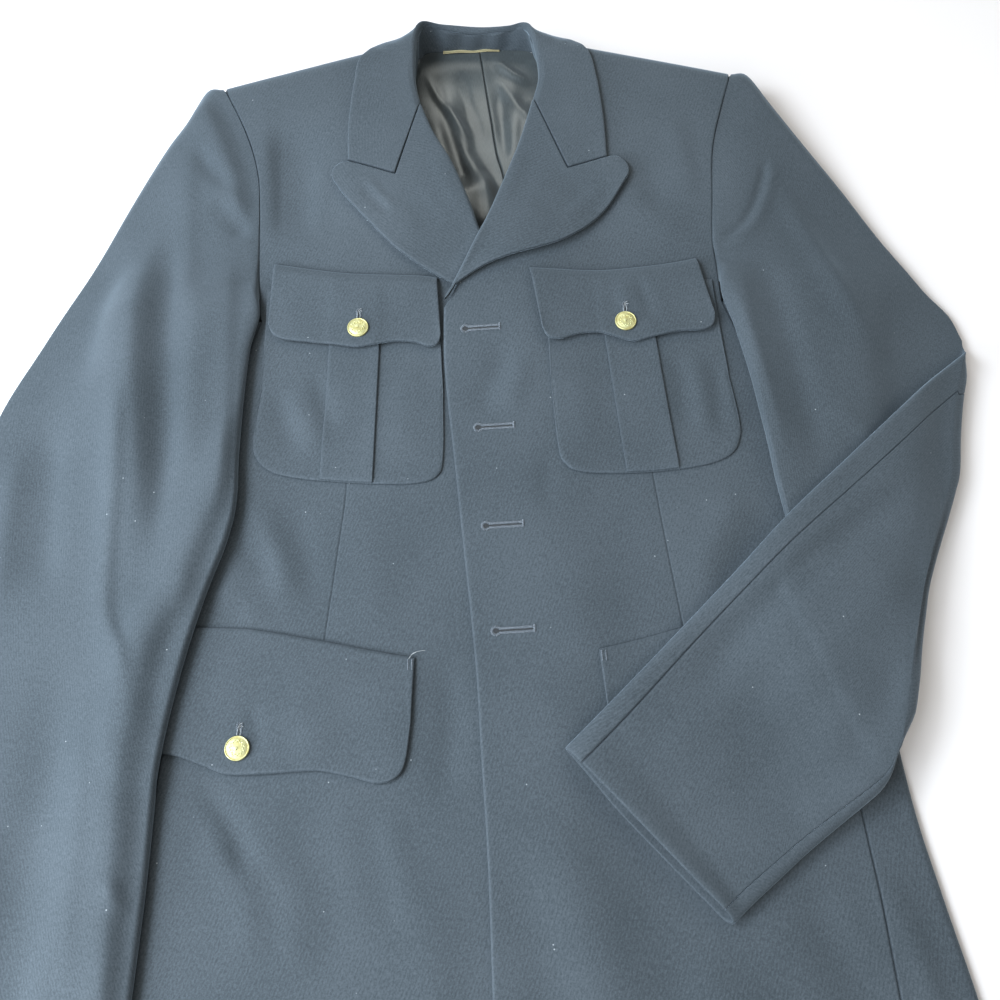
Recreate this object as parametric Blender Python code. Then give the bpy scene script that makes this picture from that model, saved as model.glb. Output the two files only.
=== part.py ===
"""A single-breasted dress uniform jacket laid on its back, the left sleeve folded over the body.

Sizes and tables are in millimetres, and meshes are made in metres. +X is towards the wearer's left,
+Y towards the collar and +Z up from the surface that the jacket lies on, which is z = 0. Pieces are
named by the wearer's side, so the left front, with the buttonholes, lies on top of the right one.
"""

import math

import bpy
import numpy as np
from mathutils import Vector
from mathutils.bvhtree import BVHTree

MM = 0.001
GAP = 0.3  # between pieces that meet or lie on each other
LYING_GAP = 0.8  # under a piece that crosses the slope of the one below
BODY_WALL = 2.4  # cloth with its facing or canvas
SLEEVE_WALL = 1.8
POCKET_WALL = 1.2
FLAP_WALL = 2.0
LINING_WALL = 1.0

# Rows and columns of points in each wall.
BODY_ROWS = 10  # between hem and underarm, on fronts, side panels and backs alike
GRID = {
    "front": (18, 9), "back": (17, 5), "lapel": (10, 6), "collar": (21, 6), "stand": (3, None),
    "pocket": (5, 10), "pleat": (7, 3), "chest flap": (4, 13), "hip flap": (4, 13),
    "lining": (10, 4), "label": (2, 5),
}
CURVE_STEPS = 60  # samples along a curve that is read at any height
SMOOTH_UNDER = 40.0  # degrees between faces that are shaded as one surface

HEM_Y = -370.0
UNDERARM_Y = 150.0
CENTRE_BACK_X = -2.5
NECK_BACK_Y = 431.0
NECK_RISE = 9.0  # of the back at the neck seam
NECK_RISE_FROM_Y = 372.0
NECK_RISE_ACROSS = (52.0, 84.0)  # from the middle, between which the rise dies away
BACK_WAIST_SHARE = 0.34  # where across a back panel its columns crowd, level with the neck point
SEAM_LEVEL = 0.5  # height of the shoulder seam, as a share of the height of the shoulder
SHOULDER_ROUND = 22.0

# How high the fronts lie above the table, from hem to neck.
BODY_HEIGHT = np.array([
    # y, height in the middle, share of it lost at CROSS_FALL_X from the middle
    (-380.0, 8.0, 0.10), (-200.0, 8.6, 0.12), (-80.0, 9.6, 0.12), (0.0, 11.5, 0.12),
    (60.0, 14.0, 0.12), (120.0, 18.0, 0.12), (180.0, 23.5, 0.12), (240.0, 30.0, 0.11),
    (300.0, 36.0, 0.08), (360.0, 39.5, 0.05), (450.0, 40.0, 0.04),
])
CROSS_FALL_X = 200.0

# Where the left front's lap ends: ranges of x and y over which it eases down.
LAP_ON_FRONT = ((24.0, 96.0), (195.0, 290.0))
LAP_ON_LAPEL = ((18.0, 96.0), (60.0, 150.0), (210.0, 300.0))  # the middle range is where it starts

# The side panel, on either side: its outline and its two seams.
SIDE_ROWS = np.array([
    # y, outline x, front seam x, back seam x
    (-370.0, 269.0, 220.0, 214.0), (-331.0, 265.0, 219.5, 211.0), (-278.0, 257.0, 218.5, 207.0),
    (-223.0, 250.0, 216.0, 203.0), (-150.0, 247.0, 210.0, 198.0), (-80.0, 246.0, 205.0, 194.0),
    (0.0, 250.0, 201.0, 190.0), (60.0, 256.0, 198.0, 187.0), (105.0, 261.0, 190.0, 184.0),
    (150.0, 262.0, 176.0, 178.0),
])

SIDE_ROLLED = {"left": 0.0, "right": 13.0}  # how far a side panel is rolled under towards the hem
SIDE_ROLLED_FROM = (-110.0, 40.0)

SIDE_TURNS = (90, 50, 18, -18, -50, -90)  # degrees round the side of the body
SIDE_BEND = 15.0
SIDE_BEND_SHARE = 0.75  # of the height, where the body is low
FRONT_CROWDING = 1.15  # over 1 brings a front's columns closer towards its front edge

# Armholes run from the underarm to the shoulder point, and the shoulder seam on to the neck.
ARMHOLE = {
    "left": ((176.0, 150.0), (175.5, 181.0), (175.0, 204.0), (179.0, 244.0), (184.0, 288.0),
             (193.0, 327.0), (207.0, 371.5)),
    "right": ((-177.0, 150.0), (-179.0, 181.0), (-180.0, 204.0), (-181.0, 248.0),
              (-184.0, 285.0), (-194.0, 327.0), (-215.0, 378.0)),
}
NECK_SETBACK = 1.0  # how much nearer the middle a front's neck point is than the back's
NECK_OPENING = 54.0  # from the middle, within which the back has no shoulder seam
NECK_POINT = {"left": (60.0, 419.0), "right": (-64.0, 424.0)}

# The front edge from the hem to the break, and the roll line from the break to the neck.
FRONT_EDGE = {
    "left": ((-17.0, -370.0), (-17.0, -256.0), (-19.0, -185.0), (-21.0, -121.0), (-27.0, -37.0),
             (-31.0, 20.0), (-36.0, 85.0), (-37.0, 120.0), (-36.0, 153.0)),
    "right": ((22.0, -370.0), (21.0, -256.0), (20.0, -121.0), (18.0, 20.0), (16.0, 120.0),
              (15.0, 160.0)),
}
ROLL_LINE = {
    "left": ((-36.0, 153.0), (-30.0, 168.0), (-6.0, 216.0), (11.0, 256.0), (28.0, 301.0),
             (41.0, 343.0), (47.0, 366.0), (46.0, 391.0), (43.0, 418.0)),
    "right": ((15.0, 160.0), (6.0, 190.0), (-6.0, 220.0), (-13.0, 245.0), (-26.0, 283.0),
              (-41.0, 315.0), (-51.0, 344.0), (-55.0, 368.0), (-54.5, 396.0), (-52.0, 424.0)),
}
ROLL_REACH = 4.0  # how far in from the roll line a turned edge bends
ROLL_DROP = 5.4  # how far down it bends
ROLL_TURNS = (0, 35, 65)  # degrees round the roll, from its tip
ROLL_TRIM = 3  # samples left out where the roll line meets the front edge and the neck
EDGE_SETBACK = 3.4  # the front stops this far short of the roll line that turns over it

# A lapel: its free edge from the break to the peak, then its top back to the roll line.
LAPEL_EDGE = {
    "left": ((-34.5, 157.5), (-28.0, 165.5), (-18.0, 173.0), (-4.0, 181.0), (15.0, 188.0),
             (36.0, 194.0), (58.0, 202.5), (78.0, 216.0), (96.0, 235.0), (113.0, 262.0)),
    "right": ((12.5, 163.0), (-2.0, 164.0), (-16.0, 166.5), (-30.0, 173.0), (-44.0, 182.0),
              (-60.0, 194.0), (-77.0, 210.0), (-97.0, 235.0), (-113.0, 256.0), (-122.0, 271.0)),
}
LAPEL_TOP = {
    "left": ((41.0, 342.6), (65.3, 270.6), (98.0, 280.4), (109.0, 277.0), (113.0, 262.0)),
    "right": ((-51.0, 343.6), (-72.3, 272.6), (-110.4, 287.4), (-121.0, 284.0), (-122.0, 271.0)),
}
LAPEL_FADING = 3.0  # how soon the shape of its top gives way to straight rows
LAPEL_ROLL_POINTS = {"left": 6, "right": 7}  # of the roll line, up to the gorge
LAPEL_ROLL_START = {"left": 0.03, "right": 0.06}  # share of the roll line that the lapel skips

# The collar's fall, round the neck from the left gorge to the right one.
COLLAR_ROLL = np.array([
    # x, y, height
    (41.2, 343.4, 40.2), (47.0, 366.0, 42.0), (46.5, 391.0, 43.5), (43.0, 414.0, 44.5),
    (36.0, 428.0, 43.5), (20.0, 431.5, 41.0), (-4.0, 431.0, 40.0), (-28.0, 434.0, 41.0),
    (-45.0, 434.0, 43.5), (-52.5, 420.0, 44.5), (-54.8, 396.0, 43.5), (-55.0, 368.0, 42.0),
    (-51.2, 344.4, 40.2),
])
COLLAR_EDGE = np.array([
    # x, y
    (97.5, 281.2), (97.8, 309.0), (97.0, 336.0), (95.0, 364.0), (91.0, 392.0), (82.0, 428.0),
    (52.0, 452.0), (0.0, 462.0), (-56.0, 456.0), (-88.0, 434.0), (-101.0, 398.0),
    (-106.0, 366.0), (-109.0, 338.0), (-110.5, 314.0), (-110.2, 288.2),
])
GORGE = {
    "left": ((41.2, 343.4), (65.6, 271.2), (97.5, 281.2)),
    "right": ((-51.2, 344.4), (-72.7, 273.2), (-110.2, 288.2)),
}
STAND_NECK = np.array([
    # x, y, height of the neck seam
    (48.0, 416.5, 19.0), (43.0, 427.0, 14.8), (22.0, 431.0, 12.6), (-4.0, 431.4, 12.2),
    (-30.0, 432.0, 12.6), (-50.0, 430.0, 14.8), (-54.5, 419.5, 19.4),
])
COLLAR_GAP = 1.4  # under the fall
STAND_GAP = 2.0  # between the stand and the roll above it
COLLAR_FADING = 7.0
COLLAR_BEHIND_Y = (415.0, 440.0)  # of its edge, between which the fall turns behind the neck
COLLAR_ROUND = (2.0, 0.8)  # how fast the fall comes down, and how much slower behind the neck
COLLAR_LEAN = 0.6  # of the wall, by which the inner face leans in behind the neck
STAND_FROM_Y = 412.0  # the stand carries the roll line behind here

POCKET_TOP = {"left": ((170.0, 168.0), (41.0, 166.0)), "right": ((-172.0, 176.0), (-40.0, 164.0))}
POCKET_EDGE = {
    "left": ((173.0, 87.0), (176.5, 52.0), (175.5, 36.0), (168.0, 23.0), (150.0, 15.5),
             (118.0, 11.5), (85.0, 11.0), (58.0, 13.0), (47.0, 20.0), (43.5, 34.0), (41.5, 84.0)),
    "right": ((-173.0, 93.0), (-177.5, 54.0), (-175.5, 37.0), (-165.0, 25.0), (-146.0, 18.5),
              (-118.0, 14.0), (-85.0, 10.5), (-58.0, 10.0), (-44.0, 15.0), (-39.5, 30.0),
              (-38.5, 84.0)),
}
PLEAT_WIDTH = 38.0
PLEAT_MIDDLE = {"left": ((101.0, 150.0), (110.0, 13.6)), "right": ((-103.0, 152.0), (-109.0, 14.6))}

CHEST_FLAP_TOP = {
    "left": ((159.5, 187.0), (130.0, 182.5), (81.0, 179.0), (30.0, 180.0)),
    "right": ((-167.0, 198.0), (-112.0, 187.0), (-58.0, 182.0), (-41.0, 179.0)),
}
CHEST_FLAP_EDGE = {
    "left": ((168.0, 135.0), (165.5, 126.0), (157.0, 122.0), (139.0, 121.5), (119.0, 117.5),
             (105.0, 114.5), (91.0, 119.0), (78.0, 123.0), (64.0, 121.5), (50.0, 117.0),
             (41.0, 118.5), (37.0, 127.0)),
    "right": ((-169.5, 144.0), (-166.0, 135.0), (-157.0, 129.5), (-138.0, 126.0), (-118.0, 122.5),
              (-103.0, 119.5), (-89.0, 121.0), (-74.0, 123.5), (-59.0, 122.0), (-49.0, 118.0),
              (-41.5, 119.5), (-39.0, 127.0)),
}
HIP_FLAP_GAP = 0.4
FLAP_RISE = 9.0  # below its seam, by which a chest flap has come up onto its pocket
HIP_FLAP_TOP = ((228.0, -88.0), (203.0, -88.5), (168.0, -92.0), (122.0, -102.0), (93.0, -109.0),
                (61.0, -116.0))
HIP_FLAP_EDGE = ((237.0, -160.0), (230.0, -170.0), (216.0, -173.5), (196.0, -181.0),
                 (180.0, -187.0), (152.0, -187.5), (124.0, -187.0), (103.0, -191.5),
                 (84.0, -196.5), (72.0, -192.5), (67.0, -182.0), (64.0, -160.0))

LINING_MIDDLE = (
    (-1.0, 428.6), (6.0, 362.0), (10.0, 317.0), (15.0, 287.0), (20.0, 225.0), (22.0, 170.0),
)
LINING_OUTER = {
    "left": ((38.0, 411.0), (48.0, 372.0), (66.0, 317.0), (70.0, 287.0), (72.0, 225.0),
             (72.0, 170.0)),
    "right": ((-40.0, 413.0), (-50.0, 372.0), (-70.0, 317.0), (-72.0, 287.0), (-72.0, 225.0),
              (-70.0, 170.0)),
}
LABEL_LENGTH = 50.0
LABEL_WIDTH = 9.0
LABEL_TOP = (-5.0, 426.0)  # the middle of its upper edge

BUTTON_RADIUS = 7.95
BUTTON_EDGE = 1.2
BUTTON_DOME = 2.4
BUTTON_SIDES = 10
BUTTON_PROFILE = (
    # share of the radius, of the edge's height, of the dome's height
    (0.92, 0.0, 0.0), (1.0, 0.5, 0.0), (0.93, 1.0, 0.0), (0.55, 1.0, 0.72),
)
BUTTONS = (
    # name, x, y
    ("button_chest_left", 100.0, 131.0), ("button_chest_right", -101.0, 135.0),
    ("button_hip_left", 175.0, -171.0), ("button_hip_right", -175.0, -171.0),
)

# Sleeves: pairs of points on the outer and inner edges, and how thick the flattened tube is there.
UPPER_ARM_LEFT = np.array([
    # outer x, y, inner x, y, thickness
    (207.6, 371.8, 176.8, 183.0, 7.4), (223.0, 370.0, 176.3, 170.0, 7.4),
    (239.0, 343.0, 175.0, 150.0, 7.4), (259.0, 306.0, 181.0, 122.0, 7.4),
    (290.0, 251.0, 187.5, 82.0, 7.4), (315.0, 198.0, 192.0, 40.0, 7.4),
    (331.0, 160.0, 197.0, -8.0, 7.4), (338.0, 130.0, 212.0, -88.0, 7.4),
    (342.0, 98.0, 238.0, -190.0, 7.4),
])
FOREARM_LEFT = np.array([
    (342.0, 98.0, 238.0, -190.0, 7.4), (318.0, 71.0, 231.0, -209.0, 7.4),
    (280.0, 38.0, 218.0, -221.0, 7.4), (240.0, 8.0, 204.0, -231.0, 7.4),
    (200.0, -28.0, 189.0, -241.0, 7.4), (158.0, -67.0, 173.0, -252.0, 7.4),
    (114.0, -108.0, 157.0, -264.0, 7.4), (73.0, -146.0, 142.0, -275.0, 7.4),
    (34.0, -181.0, 128.0, -286.0, 7.4),
])
ARM_RIGHT = np.array([
    (-215.6, 378.2, -180.8, 184.0, 7.4), (-231.0, 376.0, -179.4, 170.0, 7.4),
    (-247.0, 350.0, -176.0, 150.0, 7.4), (-265.0, 320.0, -181.5, 122.0, 7.4),
    (-293.0, 264.0, -184.5, 82.0, 7.4), (-319.0, 203.0, -186.0, 36.0, 7.4),
    (-346.0, 143.0, -186.0, -24.0, 7.4), (-371.0, 82.0, -199.0, -84.0, 7.4),
    (-385.0, 8.0, -214.0, -142.0, 7.4), (-389.0, -84.0, -226.0, -200.0, 7.4),
    (-385.0, -190.0, -228.0, -262.0, 7.4), (-373.0, -322.0, -230.0, -350.0, 7.4),
])
FOLD_STEPS = 4
FOREARM_ROWS = 9
SLEEVE_COLUMNS = 7
CAP_LENGTH = 150.0  # along which the padded sleeve head comes down to the flat tube
CAP_OUTER_HEIGHT = 38.0
CAP_INNER_HEIGHT = 23.0
CAP_REACH = 21.0
ARMHOLE_GAP = 0.7  # from the middle of the armhole seam to the sleeve
SEWN_LENGTH = 40.0  # along which the sleeve's rings leave the curve of the armhole
UNDERARM_DROP = (158.0, 183.0)  # between which the under sleeve comes down to the back
FOLD_GAP = 0.5  # between the layers inside the fold
SEAM_FROM_OUTER = 19.0
SEAM_FROM_INNER = 12.0
SEAM_CLEAR = 4.0  # least distance of a sleeve seam from the rounding of the tube's edge
SLEEVE_TURNS = (0, 45, 90)  # degrees round the edge of the flattened tube, from its tip
DRAPE_CELL = 5.0
DRAPE_X = (-410.0, 411.0)
DRAPE_Y = (-400.0, 481.0)
RAY_SHIFT = 0.1  # so that a ray at the very edge of a piece meets it
DOWN = Vector((0, 0, -1))
SLEEVE_LEVEL = 16.0  # how far past a step a sleeve stays level, and the radius of its fall
SLEEVE_FALL = 22.0
SLEEVE_CLEARANCE = 1.8
LIFTED_FROM = 4.0  # height below which a sleeve comes down to the table itself

CLOTH = ("wool_cloth", (0.042, 0.056, 0.075), 0.85, 0.0)
LINING = ("satin_lining", (0.060, 0.064, 0.066), 0.45, 0.0)
LABEL = ("woven_label", (0.62, 0.55, 0.33), 0.7, 0.0)
BRASS = ("gilt_metal", (0.80, 0.66, 0.32), 0.32, 1.0)


def clear_scene():
    """Removes every object, so that the model starts from nothing."""
    for item in list(bpy.data.objects):
        bpy.data.objects.remove(item, do_unlink=True)


def material(finish):
    """The Principled material of this finish, made on first use."""
    name, colour, roughness, metallic = finish
    found = bpy.data.materials.get(name)
    if found:
        return found
    made = bpy.data.materials.new(name)
    made.use_nodes = True
    shader = made.node_tree.nodes["Principled BSDF"]
    shader.inputs["Base Color"].default_value = (*colour, 1.0)
    shader.inputs["Roughness"].default_value = roughness
    shader.inputs["Metallic"].default_value = metallic
    made.diffuse_color = (*colour, 1.0)
    return made


def solid(name, points, faces, finish):
    """One object from points in millimetres, turned so that its faces point outwards."""
    points = np.asarray(points, float)
    volume = 0.0
    for face in faces:
        first = points[face[0]]
        for second, third in zip(face[1:-1], face[2:]):
            volume += np.dot(first, np.cross(points[second], points[third]))
    if volume < 0:
        faces = [tuple(reversed(face)) for face in faces]
    mesh = bpy.data.meshes.new(name)
    mesh.from_pydata([tuple(point * MM) for point in points], [], faces)
    mesh.shade_smooth()
    mesh.set_sharp_from_angle(angle=math.radians(SMOOTH_UNDER))
    mesh.materials.append(material(finish))
    item = bpy.data.objects.new(name, mesh)
    bpy.context.scene.collection.objects.link(item)
    return item


def wall(name, outer, inner, finish):
    """A cloth wall: an outer and an inner grid of points, closed along their four borders."""
    rows, columns = outer.shape[:2]
    layer = rows * columns

    def index(side, row, column):
        return side * layer + row * columns + column

    faces = []
    for row in range(rows - 1):
        for column in range(columns - 1):
            near, far = (row, column), (row + 1, column + 1)
            left, right = (row + 1, column), (row, column + 1)
            halves = ((near, left, far), (near, far, right))
            if math.dist(outer[left], outer[right]) < math.dist(outer[near], outer[far]):
                halves = ((near, left, right), (left, far, right))
            for corners in halves:
                faces.append(tuple(index(0, *corner) for corner in corners))
                faces.append(tuple(index(1, *corner) for corner in reversed(corners)))
    border = [(row, 0) for row in range(rows)]
    border += [(rows - 1, column) for column in range(1, columns)]
    border += [(row, columns - 1) for row in range(rows - 2, -1, -1)]
    border += [(0, column) for column in range(columns - 2, 0, -1)]
    for start, end in zip(border, border[1:] + border[:1]):
        faces.append((index(0, *end), index(0, *start), index(1, *start), index(1, *end)))
    points = np.concatenate([outer.reshape(-1, 3), inner.reshape(-1, 3)])
    return solid(name, points, faces, finish)


def spline(points, count, share=(0.0, 1.0)):
    """Evenly spaced points on a smooth curve through these, over a share of its length."""
    points = np.asarray(points, float)
    ends = np.concatenate([[2 * points[0] - points[1]], points, [2 * points[-1] - points[-2]]])
    fine = []
    steps = 12
    for before, start, end, after in zip(ends, ends[1:], ends[2:], ends[3:]):
        for t in np.arange(steps) / steps:
            fine.append(0.5 * (2 * start + (end - before) * t
                               + (2 * before - 5 * start + 4 * end - after) * t * t
                               + (3 * start - before - 3 * end + after) * t ** 3))
    fine = np.array(fine + [points[-1]])
    walked = np.concatenate([[0.0], np.cumsum(np.linalg.norm(np.diff(fine, axis=0), axis=1))])
    wanted = np.linspace(share[0], share[1], count) * walked[-1]
    return np.stack([np.interp(wanted, walked, fine[:, k]) for k in range(fine.shape[1])], axis=1)


def legs(points, count):
    """Points along straight legs, the corners among them."""
    points = np.asarray(points, float)
    lengths = np.linalg.norm(np.diff(points, axis=0), axis=1)
    steps = np.maximum(1, np.round(lengths / lengths.sum() * (count - 1)).astype(int))
    while steps.sum() > count - 1:
        steps[np.argmax(steps)] -= 1
    while steps.sum() < count - 1:
        steps[np.argmax(lengths / steps)] += 1
    made = [points[0]]
    for start, end, number in zip(points, points[1:], steps):
        made += [start + (end - start) * k / number for k in range(1, number + 1)]
    return np.array(made)


def patch(start, end, left, right, fading=1.0):
    """A grid between four borders: start and end run across, left and right along.

    The higher the fading, the sooner the shape of start and end gives way to straight rows.
    """
    rows, columns = len(left), len(start)
    t = np.linspace(0, 1, rows)[:, None, None]
    s = np.linspace(0, 1, columns)[None, :, None]
    grid = (1 - s) * left[:, None] + s * right[:, None]
    start_bow = start[None] - ((1 - s) * start[0] + s * start[-1])
    end_bow = end[None] - ((1 - s) * end[0] + s * end[-1])
    return grid + (1 - t) ** fading * start_bow + t ** fading * end_bow


def ease(value, low, high):
    """0 at or below low, 1 at or above high, smooth between."""
    share = np.clip((value - low) / (high - low), 0.0, 1.0)
    return share * share * (3 - 2 * share)


def smooth_table(table, at, column=1):
    """A column of a table at any value of its first column, along a smooth curve."""
    fine = spline(table[:, [0, column]], 8 * len(table))
    return np.interp(at, fine[:, 0], fine[:, 1])


def shoulder_y(x):
    """Where the shoulder seam lies at this distance from the middle."""
    outer = ARMHOLE["left"][-1] if x > 0 else ARMHOLE["right"][-1]
    neck = NECK_POINT["left"] if x > 0 else NECK_POINT["right"]
    share = (abs(x) - abs(neck[0])) / (abs(outer[0]) - abs(neck[0]))
    return neck[1] + (outer[1] - neck[1]) * share


def flat_height(x, y):
    """Height of the fronts, before the shoulders round off."""
    fall = smooth_table(BODY_HEIGHT, y, 2)
    return smooth_table(BODY_HEIGHT, y) * (1 - fall * (x / CROSS_FALL_X) ** 2)


def lap(x, y):
    """How much higher the left front lies, on the right front and on the right lapel."""
    on_front = (1 - ease(x, *LAP_ON_FRONT[0])) * (1 - ease(y, *LAP_ON_FRONT[1]))
    on_lapel = (1 - ease(x, *LAP_ON_LAPEL[0])) * ease(y, *LAP_ON_LAPEL[1])
    on_lapel *= 1 - ease(y, *LAP_ON_LAPEL[2])
    return (BODY_WALL + LYING_GAP) * (on_front + on_lapel)


def front_height(x, y, side):
    """Height of a front's outer face: the left one lies on the right."""
    height = flat_height(x, y)
    if side == "left":
        height = height + lap(x, y)
    return height


def shoulder_round(x, y, height, wall_depth=0.0):
    """Moves a point near the shoulder seam onto the rounded edge there, at a depth in the cloth."""
    seam = SEAM_LEVEL * flat_height(x, y)
    inside = np.clip((shoulder_y(x) - y) / SHOULDER_ROUND, 0.0, 1.0)
    angle = inside * math.pi / 2
    reach = wall_depth + (SHOULDER_ROUND - wall_depth) * (1 - math.cos(angle))
    moved = shoulder_y(x) - reach if inside < 1 else y
    return np.array((x, moved, seam + (height - wall_depth - seam) * math.sin(angle)))


def inward(rail, distance):
    """A rail moved to its left by this distance."""
    step = np.gradient(rail, axis=0)
    normal = np.stack([-step[:, 1], step[:, 0]], axis=1)
    normal /= np.linalg.norm(normal, axis=1)[:, None]
    return rail + normal * distance


def side_values(y, column, side):
    """A column of the side panel's table at this height up the jacket, rolled under as it lies."""
    rolled = SIDE_ROLLED[side] * (1 - ease(y, *SIDE_ROLLED_FROM)) * (0, 0, 1, -1)[column]
    return smooth_table(SIDE_ROWS, y, column) + rolled


def front_borders(side, count):
    """The inner and outer borders of a front, from hem to shoulder, with matching rows."""
    sign = 1 if side == "left" else -1
    high_rows = count - BODY_ROWS
    low_y = np.linspace(HEM_Y, UNDERARM_Y, BODY_ROWS)
    edge = spline(FRONT_EDGE[side], CURVE_STEPS)
    seam_x = [side_values(y, 2, side) - GAP / 2 for y in low_y]
    outer = np.stack([sign * np.array(seam_x), low_y], axis=1)
    armhole = spline(ARMHOLE[side], high_rows + 1)[1:]
    armhole[:, 0] -= sign * GAP / 2
    outer = np.concatenate([outer, armhole])
    roll = spline(ROLL_LINE[side], CURVE_STEPS)
    roll = inward(roll, -sign * EDGE_SETBACK)
    neck = np.array(NECK_POINT[side]) - (sign * NECK_SETBACK, 0.0)
    way_up = np.concatenate([edge[:-1], roll[ROLL_TRIM:-ROLL_TRIM]])
    inner_low = np.stack([np.interp(low_y, edge[:, 1], edge[:, 0]), low_y], axis=1)
    high_y = np.linspace(UNDERARM_Y, way_up[-1, 1], high_rows)[1:]
    inner_x = np.interp(high_y, way_up[:, 1], way_up[:, 0])
    inner_high = np.stack([inner_x, high_y], axis=1)
    inner = np.concatenate([inner_low, inner_high, [neck]])
    return inner, outer


def make_front(side):
    """A front, from the front edge and roll line to the side seam, armhole and shoulder."""
    rows, columns = GRID["front"]
    inner, outer = front_borders(side, rows)
    share = np.linspace(0, 1, columns) ** FRONT_CROWDING
    top = np.zeros((rows, columns, 3))
    under = np.zeros((rows, columns, 3))
    for row in range(rows):
        for column in range(columns):
            x, y = inner[row] + (outer[row] - inner[row]) * share[column]
            height = front_height(x, y, side)
            top[row, column] = shoulder_round(x, y, height)
            under[row, column] = shoulder_round(x, y, height, BODY_WALL)
    top[-1, :, 2] += GAP / 2
    under[-1, :, 2] += GAP / 2
    return wall(f"front_{side}", top, under, CLOTH)


def make_side(side):
    """The side panel: from the front seam round the edge of the body to the seam underneath."""
    sign = 1 if side == "left" else -1
    turns = np.radians(SIDE_TURNS)
    outer = []
    inner = []
    for y in np.linspace(HEM_Y, UNDERARM_Y, BODY_ROWS):
        edge, front_seam, back_seam = (side_values(y, column, side) for column in (1, 2, 3))
        high = flat_height(edge, y)
        bend = min(SIDE_BEND, SIDE_BEND_SHARE * high)
        flats = np.linspace(front_seam + GAP / 2, edge - bend, 3)[:-1]
        for depth, line in ((0.0, outer), (BODY_WALL, inner)):
            section = [(x, y, flat_height(x, y) - depth) for x in flats]
            for turn in turns:
                x = edge - bend + (bend - depth) * math.cos(turn)
                section.append((x, y, high / 2 + (high / 2 - depth) * math.sin(turn)))
            section.append((back_seam + GAP / 2, y, depth))
            line.append([(sign * px, py, pz) for px, py, pz in section])
    return wall(f"side_{side}", np.array(outer), np.array(inner), CLOTH)


def back_height(x, y):
    """Height of the back's outer face: flat on the table, rising to the neck seam."""
    near_neck = 1 - ease(abs(x - CENTRE_BACK_X), *NECK_RISE_ACROSS)
    return NECK_RISE * ease(y, NECK_RISE_FROM_Y, NECK_BACK_Y) * near_neck


def make_back(side):
    """A back panel, flat underneath, turned up at the shoulder to meet the front."""
    sign = 1 if side == "left" else -1
    rows, columns = GRID["back"]
    low_y = np.linspace(HEM_Y, UNDERARM_Y, BODY_ROWS)
    seam = [sign * (side_values(y, 3, side) - GAP / 2) for y in low_y]
    outer = np.stack([seam, low_y], axis=1)
    armhole = spline(ARMHOLE[side], rows - BODY_ROWS + 1)[1:]
    armhole[:, 0] -= sign * GAP / 2
    outer = np.concatenate([outer, armhole])
    centre = CENTRE_BACK_X + sign * GAP / 2
    high_y = np.linspace(UNDERARM_Y, NECK_BACK_Y, rows - BODY_ROWS + 1)[1:]
    inner = np.stack([np.full(rows, centre), np.concatenate([low_y, high_y])], axis=1)
    neck = np.array(NECK_POINT[side])
    under = np.zeros((rows, columns, 3))
    top = np.zeros((rows, columns, 3))
    for row in range(rows):
        waist = neck if row == rows - 1 else inner[row] + (outer[row] - inner[row]) * BACK_WAIST_SHARE
        for column in range(columns):
            if column <= 2:
                x, y = inner[row] + (waist - inner[row]) * column / 2
            else:
                x, y = waist + (outer[row] - waist) * (column - 2) / (columns - 3)
            low = back_height(x, y)
            for depth, grid in ((0.0, under), (BODY_WALL, top)):
                grid[row, column] = back_point(x, y, low, depth)
    under[-1, 2:, 2] -= GAP / 2
    top[-1, 2:, 2] -= GAP / 2
    return wall(f"back_{side}", under, top, CLOTH)


def back_point(x, y, low, depth):
    """A point of the back, at a depth in its cloth, on the rounded edge of the shoulder."""
    if abs(x) < NECK_OPENING:
        return np.array((x, y, low + depth))
    seam = SEAM_LEVEL * flat_height(x, y)
    inside = np.clip((shoulder_y(x) - y) / SHOULDER_ROUND, 0.0, 1.0)
    angle = inside * math.pi / 2
    reach = depth + (SHOULDER_ROUND - depth) * (1 - math.cos(angle))
    moved = shoulder_y(x) - reach if inside < 1 else y
    floor = low * inside
    return np.array((x, moved, seam - (seam - depth - floor) * math.sin(angle)))


def turned_wall(name, grid, height, thickness, drop, finish):
    """A wall on a surface whose first column is a roll line, where it turns down at its edge."""
    rows, columns = grid.shape[:2]
    angles = np.radians(ROLL_TURNS)
    outer = np.zeros((rows, columns + len(angles), 3))
    inner = np.zeros_like(outer)
    for row in range(rows):
        away = grid[row, 1] - grid[row, 0]
        away = away / np.linalg.norm(away)
        top = height(*grid[row, 0])
        for k, angle in enumerate(angles):
            for depth, points in ((0.0, outer), (thickness, inner)):
                reach = depth + (ROLL_REACH - depth) * (1 - math.cos(angle))
                place = grid[row, 0] + away * reach
                rise = top - drop + (drop - depth) * math.sin(angle)
                points[row, k] = (*place, rise)
        for column in range(columns):
            place = grid[row, column]
            if column == 0:
                place = place + away * ROLL_REACH
            high = height(*place)
            outer[row, column + len(angles)] = (*place, high)
            inner[row, column + len(angles)] = (*place, high - thickness)
    return wall(name, outer, inner, finish)


def make_lapel(side):
    """A lapel, turned over at the roll line onto its front."""
    rows, columns = GRID["lapel"]
    roll = spline(ROLL_LINE[side][:LAPEL_ROLL_POINTS[side]], rows, (LAPEL_ROLL_START[side], 1.0))
    roll[-1] = LAPEL_TOP[side][0]
    edge = spline(LAPEL_EDGE[side], rows)
    start = np.linspace(roll[0], edge[0], columns)
    end = legs(LAPEL_TOP[side], columns)
    grid = patch(start, end, roll, edge, LAPEL_FADING)

    def height(x, y):
        return front_height(x, y, side) + LYING_GAP + BODY_WALL

    return turned_wall(f"lapel_{side}", grid, height, BODY_WALL, ROLL_DROP, CLOTH)


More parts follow.
